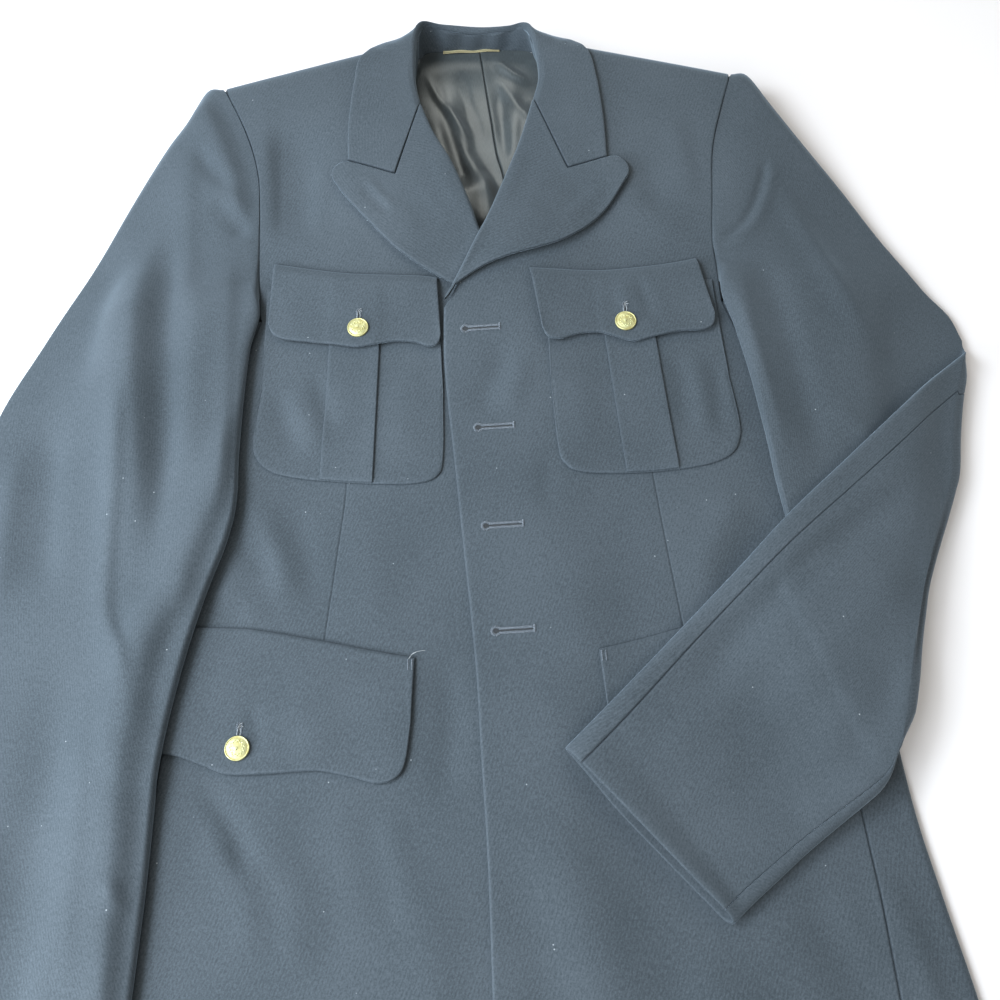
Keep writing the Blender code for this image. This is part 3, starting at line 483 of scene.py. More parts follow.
def grid_mesh(name: str, outer: Array, inner: Array, layout: Array,
              masks: dict[str, Array]) -> bpy.types.Mesh:
    """A closed shell from two grids of points, joined along their borders.

    Args:
        name: The mesh's name.
        outer: The outer face's points, (rows, columns, 3).
        inner: The inner face's points.
        layout: The flat layout of the grid, (rows, columns, 2).
        masks: Numbers for each grid point, kept as attributes.

    Returns:
        The new mesh.
    """
    rows, columns = outer.shape[:2]
    layer = rows * columns
    index = np.arange(layer).reshape(rows, columns)
    quads = np.stack([index[:-1, :-1], index[:-1, 1:], index[1:, 1:], index[1:, :-1]], axis=-1)
    quads = quads.reshape(-1, 4)
    border = np.concatenate([index[0, :-1], index[:-1, -1], index[-1, :0:-1], index[:0:-1, 0]])
    after = np.roll(border, -1)
    strip = np.stack([after, border, border + layer, after + layer], axis=-1)
    faces = np.concatenate([quads, quads[:, ::-1] + layer, strip])
    points = np.concatenate([outer.reshape(-1, 3), inner.reshape(-1, 3)])
    corners = points[faces]
    volume = np.einsum("ij,ij->", corners[:, 0], np.cross(corners[:, 1], corners[:, 2]))
    volume += np.einsum("ij,ij->", corners[:, 0], np.cross(corners[:, 2], corners[:, 3]))
    if volume < 0:
        faces = faces[:, ::-1]
    mesh = bpy.data.meshes.new(name)
    mesh.vertices.add(len(points))
    mesh.vertices.foreach_set("co", (points * MM).astype(np.float32).ravel())
    mesh.loops.add(faces.size)
    mesh.loops.foreach_set("vertex_index", faces.astype(np.int32).ravel())
    mesh.polygons.add(len(faces))
    mesh.polygons.foreach_set("loop_start", np.arange(0, faces.size, 4, dtype=np.int32))
    mesh.update(calc_edges=True)
    mesh.validate()
    flat = np.concatenate([layout.reshape(-1, 2)] * 2) * MM
    loops = np.zeros(len(mesh.loops), np.int32)
    mesh.loops.foreach_get("vertex_index", loops)
    layer = mesh.uv_layers.new(name=LAYOUT_MAP)
    layer.uv.foreach_set("vector", flat[loops].astype(np.float32).ravel())
    for mask, values in masks.items():
        both = np.concatenate([values.ravel()] * 2).astype(np.float32)
        mesh.attributes.new(mask, "FLOAT", "POINT").data.foreach_set("value", both)
    mesh.shade_smooth()
    mesh.set_sharp_from_angle(angle=SHARP_CLOTH)
    return mesh


def cloth_area(points: Array) -> float:
    """The area of a grid of points, in square metres."""
    first, second = points[1:, 1:] - points[:-1, :-1], points[1:, :-1] - points[:-1, 1:]
    return float(np.linalg.norm(np.cross(first, second), axis=-1).sum() / 2 * MM * MM)


def walked_layout(points: Array) -> Array:
    """A flat layout of a grid from the lengths walked across it and along it.

    Args:
        points: The face's points, (rows, columns, 3).

    Returns:
        Places in the layout, (rows, columns, 2).
    """
    across = np.linalg.norm(np.diff(points, axis=1), axis=2)
    along = np.linalg.norm(np.diff(points, axis=0), axis=2)
    layout = np.zeros((*points.shape[:2], 2))
    layout[:, 1:, 0] = np.cumsum(across, axis=1)
    layout[:, :, 0] -= layout[:, -1:, 0] / 2
    layout[1:, :, 1] = np.cumsum(along, axis=0).mean(axis=1)[:, None]
    return layout


def lying(grid: Array, height: Array) -> Place:
    """A face that lies at these heights above the points of a flat grid.

    Args:
        grid: Points of a flat grid.
        height: The outer face's height at each point.

    Returns:
        The face, from the depth in the cloth.
    """
    def place(depth: Array) -> Array:
        """Points at a depth in the cloth."""
        return np.stack([grid[..., 0], grid[..., 1], height - depth], axis=-1)

    return place


@dataclass
class ClothPiece:
    """One piece of cloth: a grid, the faces that a depth in the cloth gives, and its borders."""

    name: str
    place: Place
    shape: tuple[int, int]
    wall: float
    borders: Borders
    finish: "Finish"
    cut: Cut
    layout: Optional[Array] = None
    dips: Optional[Array] = None
    # painted shade along sewn lines, added to the seam mask
    marks: Optional[Array] = None
    thinnest: float = 0.05

    def build(self) -> Array:
        """Returns:
            The outer face's points, (rows, columns, 3).
        """
        middle = self.place(np.zeros(self.shape))
        profile = self.borders.profile(middle, self.wall)
        lower = profile.lower if self.dips is None else profile.lower + self.dips
        # the seam mask: painted shade in seams, beneath pressed edges and along marked lines
        seam = profile.seam if self.marks is None else np.maximum(profile.seam, self.marks)
        outer = self.place(lower)
        inner = self.place(np.maximum(self.wall - profile.lift, lower + self.thinnest))
        layout = walked_layout(middle) if self.layout is None else self.layout
        name = self.name + "_cloth"
        mesh = grid_mesh(name, outer, inner, layout, {"rim": profile.rim, "seam": seam})
        piece = add_piece(name, mesh, self.finish.material())
        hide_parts(self.name)
        list(self.cut.rests_on)
        cloth_area(middle)
        return outer


class HeightMap:
    """The height at which cloth rests on what lies below it.

    It stays level this far past a step, and then falls away along a double curve of this radius.
    """

    CELL = 4.0
    LOW = (-412.0, -400.0)
    HIGH = (420.0, 484.0)

    def __init__(self, faces: Sequence[Array], level: float, radius: float,
                 top_y: float = 500.0, soften: int = 2, held: bool = True) -> None:
        """Reads the highest points and spreads them.

        Args:
            faces: Grids of points of the pieces below.
            level: How far cloth stays level past a step.
            radius: How tightly it then bends down.
            top_y: Points beyond this are left out.
            soften: How many times the result is averaged with its neighbours.
            held: Whether it then stays above every point that was read.
        """
        size = [int((high - low) / self.CELL) + 1 for low, high in zip(self.LOW, self.HIGH)]
        high = np.zeros((size[1], size[0]))
        for points in faces:
            flat = points.reshape(-1, 3)
            flat = flat[flat[:, 1] < top_y]
            column = np.round((flat[:, 0] - self.LOW[0]) / self.CELL).astype(int)
            row = np.round((flat[:, 1] - self.LOW[1]) / self.CELL).astype(int)
            np.maximum.at(high, (row, column), flat[:, 2])
        best = high.copy()
        foot = 2 * math.sqrt(radius * high.max())
        reach = int((level + foot) / self.CELL) + 1
        for down in range(-reach, reach + 1):
            for across in range(-reach, reach + 1):
                away = max(self.CELL * math.hypot(down, across) - level, 0.0)
                if away < foot:
                    moved = np.roll(np.roll(high, down, axis=0), across, axis=1)
                    share = away / (2 * np.sqrt(radius * np.maximum(moved, 0.01)))
                    low = 2 * np.maximum(1 - share, 0.0) ** 2
                    best = np.maximum(best, moved * np.where(share < 0.5, 1 - 2 * share ** 2, low))
        for _ in range(soften):
            around = sum(np.roll(best, step, axis=axis) for step in (-1, 1) for axis in (0, 1))
            best = (best * 2 + around) / 6
            if held:
                best = np.maximum(best, high)
        self.high = best

    def at(self, x: Array, y: Array) -> Array:
        """The resting height at these places.

        Args:
            x: Places across, positive towards the wearer's left.
            y: Places up the jacket.

        Returns:
            Heights.
        """
        column = np.clip((x - self.LOW[0]) / self.CELL, 0, self.high.shape[1] - 1.001)
        row = np.clip((y - self.LOW[1]) / self.CELL, 0, self.high.shape[0] - 1.001)
        j, i = column.astype(int), row.astype(int)
        s, t = column - j, row - i
        low = self.high[i, j] * (1 - s) + self.high[i, j + 1] * s
        up = self.high[i + 1, j] * (1 - s) + self.high[i + 1, j + 1] * s
        return low * (1 - t) + up * t


# ---------------------------------------------------------------------------------------------
# Finishes


class Graph:
    """Adds nodes to one node tree and joins them."""

    def __init__(self, tree: bpy.types.NodeTree) -> None:
        """Keeps the tree that it works on."""
        self.tree = tree

    def node(self, kind: str, settings: Optional[dict] = None, **inputs: object) -> bpy.types.Node:
        """Adds a node.

        Args:
            kind: The node's type, without its ShaderNode prefix.
            settings: Properties of the node itself.
            **inputs: Values or sockets by input name, _ for a space, or by number as i0, i1.

        Returns:
            The new node.
        """
        made = self.tree.nodes.new("ShaderNode" + kind)
        for name, value in (settings or {}).items():
            setattr(made, name, value)
        for name, value in inputs.items():
            number = name[1:]
            key = int(number) if name[0] == "i" and number.isdigit() else name.replace("_", " ")
            if isinstance(value, bpy.types.NodeSocket):
                self.tree.links.new(value, made.inputs[key])
            else:
                made.inputs[key].default_value = value
        return made

    def math(self, operation: str, *values: object) -> bpy.types.NodeSocket:
        """One sum on numbers or sockets."""
        inputs = {f"i{k}": value for k, value in enumerate(values)}
        return self.node("Math", {"operation": operation}, **inputs).outputs[0]

    def mix(self, share: object, first: object, second: object) -> bpy.types.NodeSocket:
        """A mix of two colours."""
        made = self.node("Mix", {"data_type": "RGBA"}, i0=share, i6=first, i7=second)
        return made.outputs[2]

    def ramp(self, value: object, low: float, high: float) -> bpy.types.NodeSocket:
        """0 at or under low and 1 at or over high, smooth between.

        Args:
            value: What it reads.
            low: Where it starts.
            high: Where it ends.

        Returns:
            The result.
        """
        settings = {"interpolation_type": "SMOOTHSTEP"}
        made = self.node("MapRange", settings, Value=value, From_Min=low, From_Max=high)
        return made.outputs[0]

    def scaled(self, value: object, share: float) -> bpy.types.NodeSocket:
        """A share of a value."""
        return self.math("MULTIPLY", value, share)

    def total(self, *terms: object) -> bpy.types.NodeSocket:
        """The sum of numbers, sockets, and pairs of a socket and the share taken of it.

        Args:
            *terms: Numbers, sockets, or a socket and its share.

        Returns:
            The sum.
        """
        first, *others = (self.scaled(*term) if isinstance(term, tuple) else term
                          for term in terms)
        for other in others:
            first = self.math("ADD", first, other)
        return first

    def noise(self, where: object, scale: object, detail: float = 2.0,
              **inputs: object) -> bpy.types.NodeSocket:
        """Cloudy noise, from 0 to 1."""
        made = self.node("TexNoise", Vector=where, Scale=scale, Detail=detail, **inputs)
        return made.outputs["Fac"]

    def mask(self, name: str) -> bpy.types.NodeSocket:
        """One of the masks that a mesh carries."""
        return self.node("Attribute", {"attribute_name": name}).outputs["Fac"]

    def layout(self) -> bpy.types.NodeSocket:
        """Places in a cloth piece's flat layout."""
        return self.node("UVMap", {"uv_map": LAYOUT_MAP}).outputs[0]

    def solid(self) -> bpy.types.NodeSocket:
        """Places in space."""
        return self.node("TexCoord").outputs["Object"]

    def relief(self, height: object, strength: float, depth: float) -> bpy.types.NodeSocket:
        """A surface normal that shows a fine height, its depth in metres."""
        made = self.node("Bump", Strength=strength, Distance=depth, Height=height)
        return made.outputs[0]


def group_tree(name: str, inputs: dict[str, float], outputs: Sequence[str]) -> tuple:
    """A new node group.

    Args:
        name: The group's name.
        inputs: Its number inputs and their values. The first input is always a vector, Place.
        outputs: Its number outputs.

    Returns:
        The group, its graph, its input sockets by name, and its output node.
    """
    tree = bpy.data.node_groups.new(name, "ShaderNodeTree")
    tree.interface.new_socket("Place", in_out="INPUT", socket_type="NodeSocketVector")
    for label, value in inputs.items():
        made = tree.interface.new_socket(label, in_out="INPUT", socket_type="NodeSocketFloat")
        made.default_value = value
    for label in outputs:
        tree.interface.new_socket(label, in_out="OUTPUT", socket_type="NodeSocketFloat")
    graph = Graph(tree)
    entry = tree.nodes.new("NodeGroupInput")
    exit_node = tree.nodes.new("NodeGroupOutput")
    return tree, graph, entry.outputs, exit_node


def twill_group() -> bpy.types.NodeTree:
    """Slanting ribs of uneven yarn, the longer ones made of short slubs that never repeat.

    Returns:
        The new group.
    """
    inputs = {"Ribs": 128.0, "Yarns": 1050.0, "Slubs": 520.0}
    tree, graph, entry, out = group_tree("twill", inputs, ("Height", "Shade"))
    along = graph.node("Mapping", Vector=entry["Place"], Scale=(1.0, 0.34, 1.0)).outputs[0]
    yarns = graph.noise(along, entry["Yarns"], 1.0)
    slubs = graph.noise(entry["Place"], entry["Slubs"])
    bands = {"wave_type": "BANDS", "bands_direction": "X", "wave_profile": "SIN"}
    ribs = graph.node("TexWave", bands, Vector=entry["Place"], Scale=entry["Ribs"],
                      Distortion=1.4, Detail=2.0, Detail_Scale=2.0)
    shade = graph.total((yarns, 0.5), (ribs.outputs["Fac"], 0.09), (slubs, 0.22))
    for label in ("Height", "Shade"):
        tree.links.new(shade, out.inputs[label])
    return tree


def nap_group() -> bpy.types.NodeTree:
    """The short fuzz of wool: a fine grain, a slow unevenness and specks of lint.

    Returns:
        The new group.
    """
    inputs = {"Fineness": 930.0, "Patches": 11.0, "Specks": 95.0}
    tree, graph, entry, out = group_tree("nap", inputs, ("Grain", "Patch", "Lint"))
    place = entry["Place"]
    cells = graph.node("TexVoronoi", Vector=place, Scale=entry["Specks"])
    near = graph.math("SUBTRACT", 1.0, graph.ramp(cells.outputs["Distance"], 0.02, 0.06))
    chosen = graph.node("SeparateColor", Color=cells.outputs["Color"])
    few = graph.math("GREATER_THAN", chosen.outputs[0], 0.8)
    for label, value in (("Grain", graph.noise(place, entry["Fineness"], Roughness=0.7)),
                         ("Patch", graph.noise(place, entry["Patches"], 3.0)),
                         ("Lint", graph.math("MULTIPLY", near, few))):
        tree.links.new(value, out.inputs[label])
    return tree


class Effects:
    """The node groups that several finishes share, each built on first use."""

    MAKERS = {"twill": twill_group, "nap": nap_group}

    @classmethod
    def place(cls, graph: Graph, name: str, where: object) -> bpy.types.bpy_prop_collection:
        """Puts a group into a material and gives back its outputs.

        Args:
            graph: The tree that it adds nodes to.
            name: The group's name.
            where: The places that it reads.

        Returns:
            The group's outputs.
        """
        made = graph.tree.nodes.new("ShaderNodeGroup")
        made.node_tree = bpy.data.node_groups.get(name) or cls.MAKERS[name]()
        graph.tree.links.new(where, made.inputs["Place"])
        return made.outputs


Colour = tuple[float, float, float, float]


@dataclass(frozen=True)
class Finish:
    """What every finish has: a name, a slot name, and a material made once."""

    name: str
    slot: str = ""

    def sockets(self, graph: Graph) -> dict[str, object]:
        """The values or sockets that its shader's inputs take, by their names."""
        raise NotImplementedError

    def material(self) -> bpy.types.Material:
        """The finish as a node material.

        Returns:
            The material.
        """
        found = bpy.data.materials.get(self.name)
        if found:
            return found
        made = bpy.data.materials.new(self.name)
        made.use_nodes = True
        shader = made.node_tree.nodes["Principled BSDF"]
        for label, value in self.sockets(Graph(made.node_tree)).items():
            if isinstance(value, bpy.types.NodeSocket):
                made.node_tree.links.new(value, shader.inputs[label])
            else:
                shader.inputs[label].default_value = value
        return made


@dataclass(frozen=True)
class WoolFinish(Finish):
    """Dark blue twill of wool: slanting ribs and a soft nap, with a painted sheen on pressed edges
    and painted shade in seams and under pressed edges.
    """

    name: str = "wool twill"
    slot: str = "wool_cloth"
    dark: Colour = (0.0297, 0.0380, 0.0455, 1.0)
    light: Colour = (0.0683, 0.0800, 0.0935, 1.0)
    # painted sheen: a lighter colour laid along pressed edges, where light catches them
    painted_edge_sheen: Colour = (0.105, 0.135, 0.170, 1.0)
    # painted shade: near-black laid in seam grooves and just beneath pressed edges
    painted_groove_shade: Colour = (0.006, 0.009, 0.013, 1.0)
    lint: Colour = (0.34, 0.36, 0.38, 1.0)
    sheen: float = 0.42
    sheen_tint: Colour = (0.56, 0.68, 0.80, 1.0)
    rib_turn: float = math.radians(22)
    rib_depth: float = 0.00012

    def sockets(self, graph: Graph) -> dict[str, object]:
        """Its shader's inputs.

        Args:
            graph: The tree that it adds nodes to.

        Returns:
            Values or sockets, by input.
        """
        turn = (0.0, 0.0, self.rib_turn)
        turned = graph.node("Mapping", Vector=graph.layout(), Rotation=turn).outputs[0]
        twill = Effects.place(graph, "twill", turned)
        nap = Effects.place(graph, "nap", graph.solid())
        grain, rim, seam = nap["Grain"], graph.mask("rim"), graph.mask("seam")
        tone = graph.total((twill["Shade"], 0.6), (grain, 0.5), (nap["Patch"], 0.25))
        # the rim mask, broken up by the grain, places the painted sheen along pressed edges
        edge = graph.math("MULTIPLY", rim, graph.ramp(grain, 0.2, 0.8))
        colour = graph.mix(graph.ramp(tone, 0.42, 0.85), self.dark, self.light)
        # the seam mask lays painted shade in seams and under pressed edges; lint is the cloth's own
        # specks
        for mask, share, tint in ((edge, 0.12, self.painted_edge_sheen), (seam, 0.75, self.painted_groove_shade),
                                  (nap["Lint"], 0.75, self.lint)):
            colour = graph.mix(graph.scaled(mask, share), colour, tint)
        rough = graph.math("SUBTRACT", graph.total(0.74, (grain, 0.18)), graph.scaled(rim, 0.10))
        height = graph.total(twill["Height"], (grain, 0.9))
        return {"Base Color": colour, "Roughness": rough,
                "Normal": graph.relief(height, 0.6, self.rib_depth),
                "Specular IOR Level": 0.28, "Sheen Weight": self.sheen, "Sheen Roughness": 0.42,
                "Sheen Tint": self.sheen_tint}


@dataclass(frozen=True)
class SatinFinish(Finish):
    """Grey-black lining satin with fine threads along it and a soft gloss."""

    name: str = "lining satin"
    slot: str = "satin_lining"
    dark: Colour = (0.030, 0.035, 0.037, 1.0)
    light: Colour = (0.064, 0.073, 0.076, 1.0)
    # painted shade, laid along the lining's middle seam
    painted_groove_shade: Colour = (0.006, 0.007, 0.007, 1.0)
    thread_depth: float = 0.00008

    def sockets(self, graph: Graph) -> dict[str, object]:
        """Its shader's inputs.

        Args:
            graph: The tree that it adds nodes to.

        Returns:
            Values or sockets, by input.
        """
        flat = graph.layout()
        stretched = graph.node("Mapping", Vector=flat, Scale=(1.0, 0.12, 1.0)).outputs[0]
        threads = graph.noise(stretched, 1900.0)
        tone = graph.total((threads, 0.55), (graph.noise(flat, 24.0), 0.45))
        colour = graph.mix(graph.ramp(tone, 0.3, 0.7), self.dark, self.light)
        # painted shade along the seam, from the seam mask
        colour = graph.mix(graph.scaled(graph.mask("seam"), 0.8), colour, self.painted_groove_shade)
        return {"Base Color": colour, "Roughness": graph.total(0.30, (threads, 0.16)),
                "Normal": graph.relief(threads, 0.35, self.thread_depth),
                "Specular IOR Level": 0.55, "Sheen Weight": 0.15, "Anisotropic": 0.45}


@dataclass(frozen=True)
class LabelFinish(Finish):
    """A plain woven label: pale gold threads with a darker woven border."""

    name: str = "woven label"
    slot: str = "woven_label"
    pale: Colour = (0.62, 0.55, 0.33, 1.0)
    dark: Colour = (0.20, 0.16, 0.08, 1.0)

    def sockets(self, graph: Graph) -> dict[str, object]:
        """Its shader's inputs.

        Args:
            graph: The tree that it adds nodes to.

        Returns:
            Values or sockets, by input.
        """
        flat = graph.layout()
        weave = graph.node("TexWave", {"bands_direction": "Y"}, Vector=flat, Scale=620.0,
                           Distortion=0.4).outputs["Fac"]
        grain = graph.noise(flat, 1400.0)
        tone = graph.math("MULTIPLY", weave, grain)
        colour = graph.mix(graph.ramp(tone, 0.0, 0.6), self.dark, self.pale)
        colour = graph.mix(graph.scaled(graph.mask("rim"), 0.7), colour, self.dark)
        return {"Base Color": colour, "Normal": graph.relief(weave, 0.5, 0.0001),
                "Roughness": graph.total(0.5, (grain, 0.3))}


@dataclass(frozen=True)
class GiltFinish(Finish):
    """Gilt metal, bright on what stands up and tarnished in the hollows."""

    name: str = "gilt metal"
    slot: str = "gilt_metal"
    bright: Colour = (0.60, 0.58, 0.31, 1.0)
    warm: Colour = (0.48, 0.43, 0.18, 1.0)
    hollow: Colour = (0.30, 0.22, 0.07, 1.0)

    def sockets(self, graph: Graph) -> dict[str, object]:
        """Its shader's inputs.

        Args:
            graph: The tree that it adds nodes to.

        Returns:
            Values or sockets, by input.
        """
        solid = graph.solid()
        cloud, fine = graph.noise(solid, 320.0, 3.0), graph.noise(solid, 2600.0)
        colour = graph.mix(graph.ramp(cloud, 0.35, 0.7), self.bright, self.warm)
        colour = graph.mix(graph.scaled(graph.mask("seam"), 0.5), colour, self.hollow)
        return {"Base Color": colour, "Roughness": graph.total(0.40, (cloud, 0.22)),
                "Normal": graph.relief(fine, 0.3, 0.00006), "Metallic": 0.6}


@dataclass(frozen=True)
class ThreadFinish(Finish):
    """Sewing thread, twisted, in one shade."""

    colour: Colour = (0.045, 0.055, 0.070, 1.0)
    second: Colour = (0.16, 0.18, 0.21, 1.0)

    def sockets(self, graph: Graph) -> dict[str, object]:
        """Its shader's inputs.

        Args:
            graph: The tree that it adds nodes to.

        Returns:
            Values or sockets, by input.
        """
        twist = graph.noise(graph.solid(), 1800.0)
        return {"Base Color": graph.mix(graph.ramp(twist, 0.35, 0.65), self.colour, self.second),
                "Roughness": graph.total(0.5, (twist, 0.25)), "Sheen Weight": 0.3}


@dataclass(frozen=True)
class FloorFinish(Finish):
    """A plain pale floor with the faintest unevenness."""

    name: str = "pale floor"
    first: Colour = (0.760, 0.700, 0.690, 1.0)
    second: Colour = (0.780, 0.720, 0.710, 1.0)

    def sockets(self, graph: Graph) -> dict[str, object]:
        """Its shader's inputs."""
        slow = graph.noise(graph.solid(), 2.0)
        return {"Base Color": graph.mix(slow, self.first, self.second), "Roughness": 0.9}


# ---------------------------------------------------------------------------------------------
# The form that the pieces share


BODY_CREASES = (
    # hollow between the lapel and the right armhole, and the ridge beside the seam
    Crease(((-160, 340), (-152, 292), (-146, 245), (-145, 212)), -4.4, 26, 1.15),
    Crease(((-128, 300), (-134, 255), (-132, 215)), 0.8, 9),
    # right chest pocket and the waist below it
    Crease(((-152, 92), (-137, 58), (-126, 30)), 1.5, 11, 0.8),
    Crease(((-138, 108), (-126, 78), (-121, 48)), -1.0, 7),
    Crease(((-164, 96), (-156, 62), (-145, 30)), -1.3, 8, 1.3),
    Crease(((-62, 110), (-66, 70), (-72, 30)), 0.7, 14),
    Crease(((-182, 12), (-166, -18), (-152, -52), (-146, -84)), 2.1, 12, 0.8),
    Crease(((-190, -22), (-172, -42), (-152, -46)), -1.5, 8),
    Crease(((-196, -52), (-178, -72), (-160, -90)), 1.5, 11),
    Crease(((-150, 2), (-138, -38), (-126, -82)), -1.3, 11, 1.3),
    Crease(((-96, -10), (-88, -60), (-84, -108)), 0.8, 16),
    Crease(((-44, -110), (-38, -160), (-46, -215)), -1.2, 10),
    # right hip flap and the skirt below it
    Crease(((-170, -140), (-164, -160), (-166, -182)), -0.9, 6),
    Crease(((-150, -135), (-132, -160), (-120, -184)), 0.8, 13),
    Crease(((-204, -192), (-182, -212), (-169, -236), (-161, -252)), -2.0, 8, 0.8),
    Crease(((-202, -222), (-180, -240), (-164, -268), (-160, -300)), 1.3, 11),
    Crease(((-168, -222), (-149, -238), (-135, -264), (-131, -312)), 1.0, 15, 0.7),
    Crease(((-150, -202), (-130, -228), (-116, -262), (-110, -312)), -1.0, 18, 1.2),
    Crease(((-93, -202), (-86, -238), (-78, -270), (-70, -294)), -0.8, 9, 1.5),
    Crease(((-80, -210), (-71, -248), (-62, -284)), 0.6, 10, 1.4),
    Crease(((-60, -240), (-52, -300), (-56, -366)), 0.9, 16),
    # left chest, lapel break to pocket
    Crease(((14, 124), (4, 100), (-6, 80), (-15, 58)), -1.4, 8, 1.4),
    Crease(((24, 108), (16, 84), (6, 58)), 0.9, 8),
    Crease(((38, 34), (33, 6), (36, -20)), -0.6, 8),
    Crease(((96, 262), (128, 228), (162, 206)), 0.9, 15),
    Crease(((118, 300), (132, 258), (136, 222)), -0.9, 11),
    Crease(((150, 330), (158, 280), (160, 235)), 0.8, 10),
    # left chest pocket and its flap
    Crease(((133, 112), (138, 82), (137, 38)), -1.0, 8, 1.2),
    Crease(((147, 108), (151, 72), (150, 30)), 0.7, 9),
    Crease(((161, 104), (164, 72), (161, 36)), -0.8, 7),
    Crease(((60, 100), (64, 62), (70, 26)), 0.6, 12),
    Crease(((112, 172), (117, 150), (119, 128)), -1.0, 5.5),
    Crease(((98, 168), (101, 152), (100, 138)), 0.6, 6),
    # left waist and skirt
    Crease(((196, -12), (168, -50), (142, -92)), -1.2, 13),
    Crease(((176, 0), (150, -36), (128, -84)), 1.1, 12),
    Crease(((60, -30), (52, -80), (58, -140)), 0.8, 18),
    Crease(((12, -205), (40, -272), (72, -368)), 1.4, 22),
    Crease(((-8, -232), (14, -302), (22, -368)), -1.1, 17),
    Crease(((96, -300), (120, -330), (150, -368)), 1.2, 16),
    Crease(((170, -252), (186, -300), (214, -366)), -1.3, 15),
    Crease(((212, -250), (232, -300), (244, -364)), 1.0, 10),
)


@dataclass
class BodyForm:
    """The shape that the jacket's body takes as it lies: outlines, heights and roll lines."""

    hem_y: float = -370.0
    underarm_y: float = 150.0
    centre_back_x: float = -2.5
    neck_back_y: float = 431.0
    neck_rise: float = 9.0
    neck_rise_from_y: float = 372.0
    neck_rise_across: tuple[float, float] = (52.0, 84.0)
    seam_level: float = 0.5
    shoulder_roundness: float = 22.0
    gap: float = 0.3
    lying_gap: float = 0.8
    wall: float = 2.4
    neck_setback: float = 1.0
    neck_opening: float = 54.0
    cross_fall_x: float = 200.0
    heights: Points = (
        # y, height in the middle, share of it lost at cross_fall_x from the middle
        (-380.0, 8.0, 0.10), (-200.0, 8.6, 0.12), (-80.0, 9.6, 0.12), (0.0, 11.5, 0.12),
        (60.0, 14.0, 0.12), (120.0, 18.0, 0.12), (180.0, 23.5, 0.12), (240.0, 30.0, 0.11),
        (300.0, 36.0, 0.08), (360.0, 39.5, 0.05), (450.0, 40.0, 0.04),
    )
    lap_on_front: Points = ((24.0, 96.0), (195.0, 290.0))
    lap_on_lapel: Points = ((18.0, 96.0), (60.0, 150.0), (210.0, 300.0))
    side_rows: Points = (
        # y, outline x, front seam x, back seam x
        (-370.0, 269.0, 220.0, 214.0), (-331.0, 265.0, 219.5, 211.0),
        (-278.0, 257.0, 218.5, 207.0), (-223.0, 250.0, 216.0, 203.0),
        (-150.0, 247.0, 210.0, 198.0), (-80.0, 246.0, 205.0, 194.0), (0.0, 250.0, 201.0, 190.0),
        (60.0, 256.0, 198.0, 187.0), (105.0, 261.0, 190.0, 184.0), (150.0, 262.0, 176.0, 178.0),
    )
    right_side_rolled: float = 13.0
    side_rolled_from: tuple[float, float] = (-110.0, 40.0)
    armhole: Pair = Pair(
        ((176.0, 150.0), (175.5, 181.0), (175.0, 204.0), (179.0, 244.0), (184.0, 288.0),
         (195.0, 327.0), (211.0, 373.5)),
        ((-177.0, 150.0), (-179.0, 181.0), (-180.0, 204.0), (-181.0, 248.0), (-184.0, 285.0),
         (-196.0, 327.0), (-220.0, 381.0)))
    neck_point: Pair = Pair(((60.0, 419.0),), ((-64.0, 424.0),))
    front_edge: Pair = Pair(
        ((-17.0, -370.0), (-17.0, -256.0), (-19.0, -185.0), (-21.0, -121.0), (-27.0, -37.0),
         (-31.0, 20.0), (-36.0, 85.0), (-37.0, 120.0), (-36.0, 153.0)),
        ((22.0, -370.0), (21.0, -256.0), (20.0, -121.0), (18.0, 20.0), (16.0, 120.0),
         (15.0, 160.0)))
    roll_line: Pair = Pair(
        ((-36.0, 153.0), (-30.0, 168.0), (-6.0, 216.0), (11.0, 256.0), (28.0, 301.0),
         (41.0, 343.0), (47.0, 366.0), (46.0, 391.0), (43.0, 418.0)),
        ((15.0, 160.0), (6.0, 190.0), (-6.0, 220.0), (-13.0, 245.0), (-26.0, 283.0),
         (-41.0, 315.0), (-51.0, 344.0), (-55.0, 368.0), (-54.5, 396.0), (-52.0, 424.0)))
    loose: Undulation = Undulation(0.7, 110.0, 0.6)
    crease_depth: float = 1.3
    creases: tuple[Crease, ...] = BODY_CREASES
    turn_inset: float = 8.0  # creases end this far inside the outline, where the side turns
    edge_fade: float = 18.0
    shoulder_fade: tuple[float, float] = (2.0, 30.0)
    armpit_across: tuple[float, float] = (165.0, 182.0)  # no creases here under the armhole
    armpit_up: tuple[float, float] = (105.0, 146.0)

    def __post_init__(self) -> None:
        """Lays the smooth tables and curves that the methods read."""
        self.height_table = SmoothTable(self.heights)
        self.side_table = SmoothTable(self.side_rows)
        self.armholes = {side: Curve(self.armhole.of(side)) for side in Side}

    def flat_height(self, x: Array, y: Array) -> Array:
        """Height of the fronts before creases, laps and shoulders."""
        fall = self.height_table.at(y, 2)
        return self.height_table.at(y) * (1 - fall * (x / self.cross_fall_x) ** 2)

    def shoulder_y(self, x: Array) -> Array:
        """Where the shoulder seam lies at this distance from the middle.

        Args:
            x: Places across, positive towards the wearer's left.

        Returns:
            The seam's y.
        """
        left = self.armhole.left[-1] + self.neck_point.left[0]
        right = self.armhole.right[-1] + self.neck_point.right[0]
        outer_x, outer_y, neck_x, neck_y = (np.where(x > 0, *ends)
                                            for ends in zip(left, np.abs(right)))
        return neck_y + (outer_y - neck_y) * (np.abs(x) - neck_x) / (outer_x - neck_x)

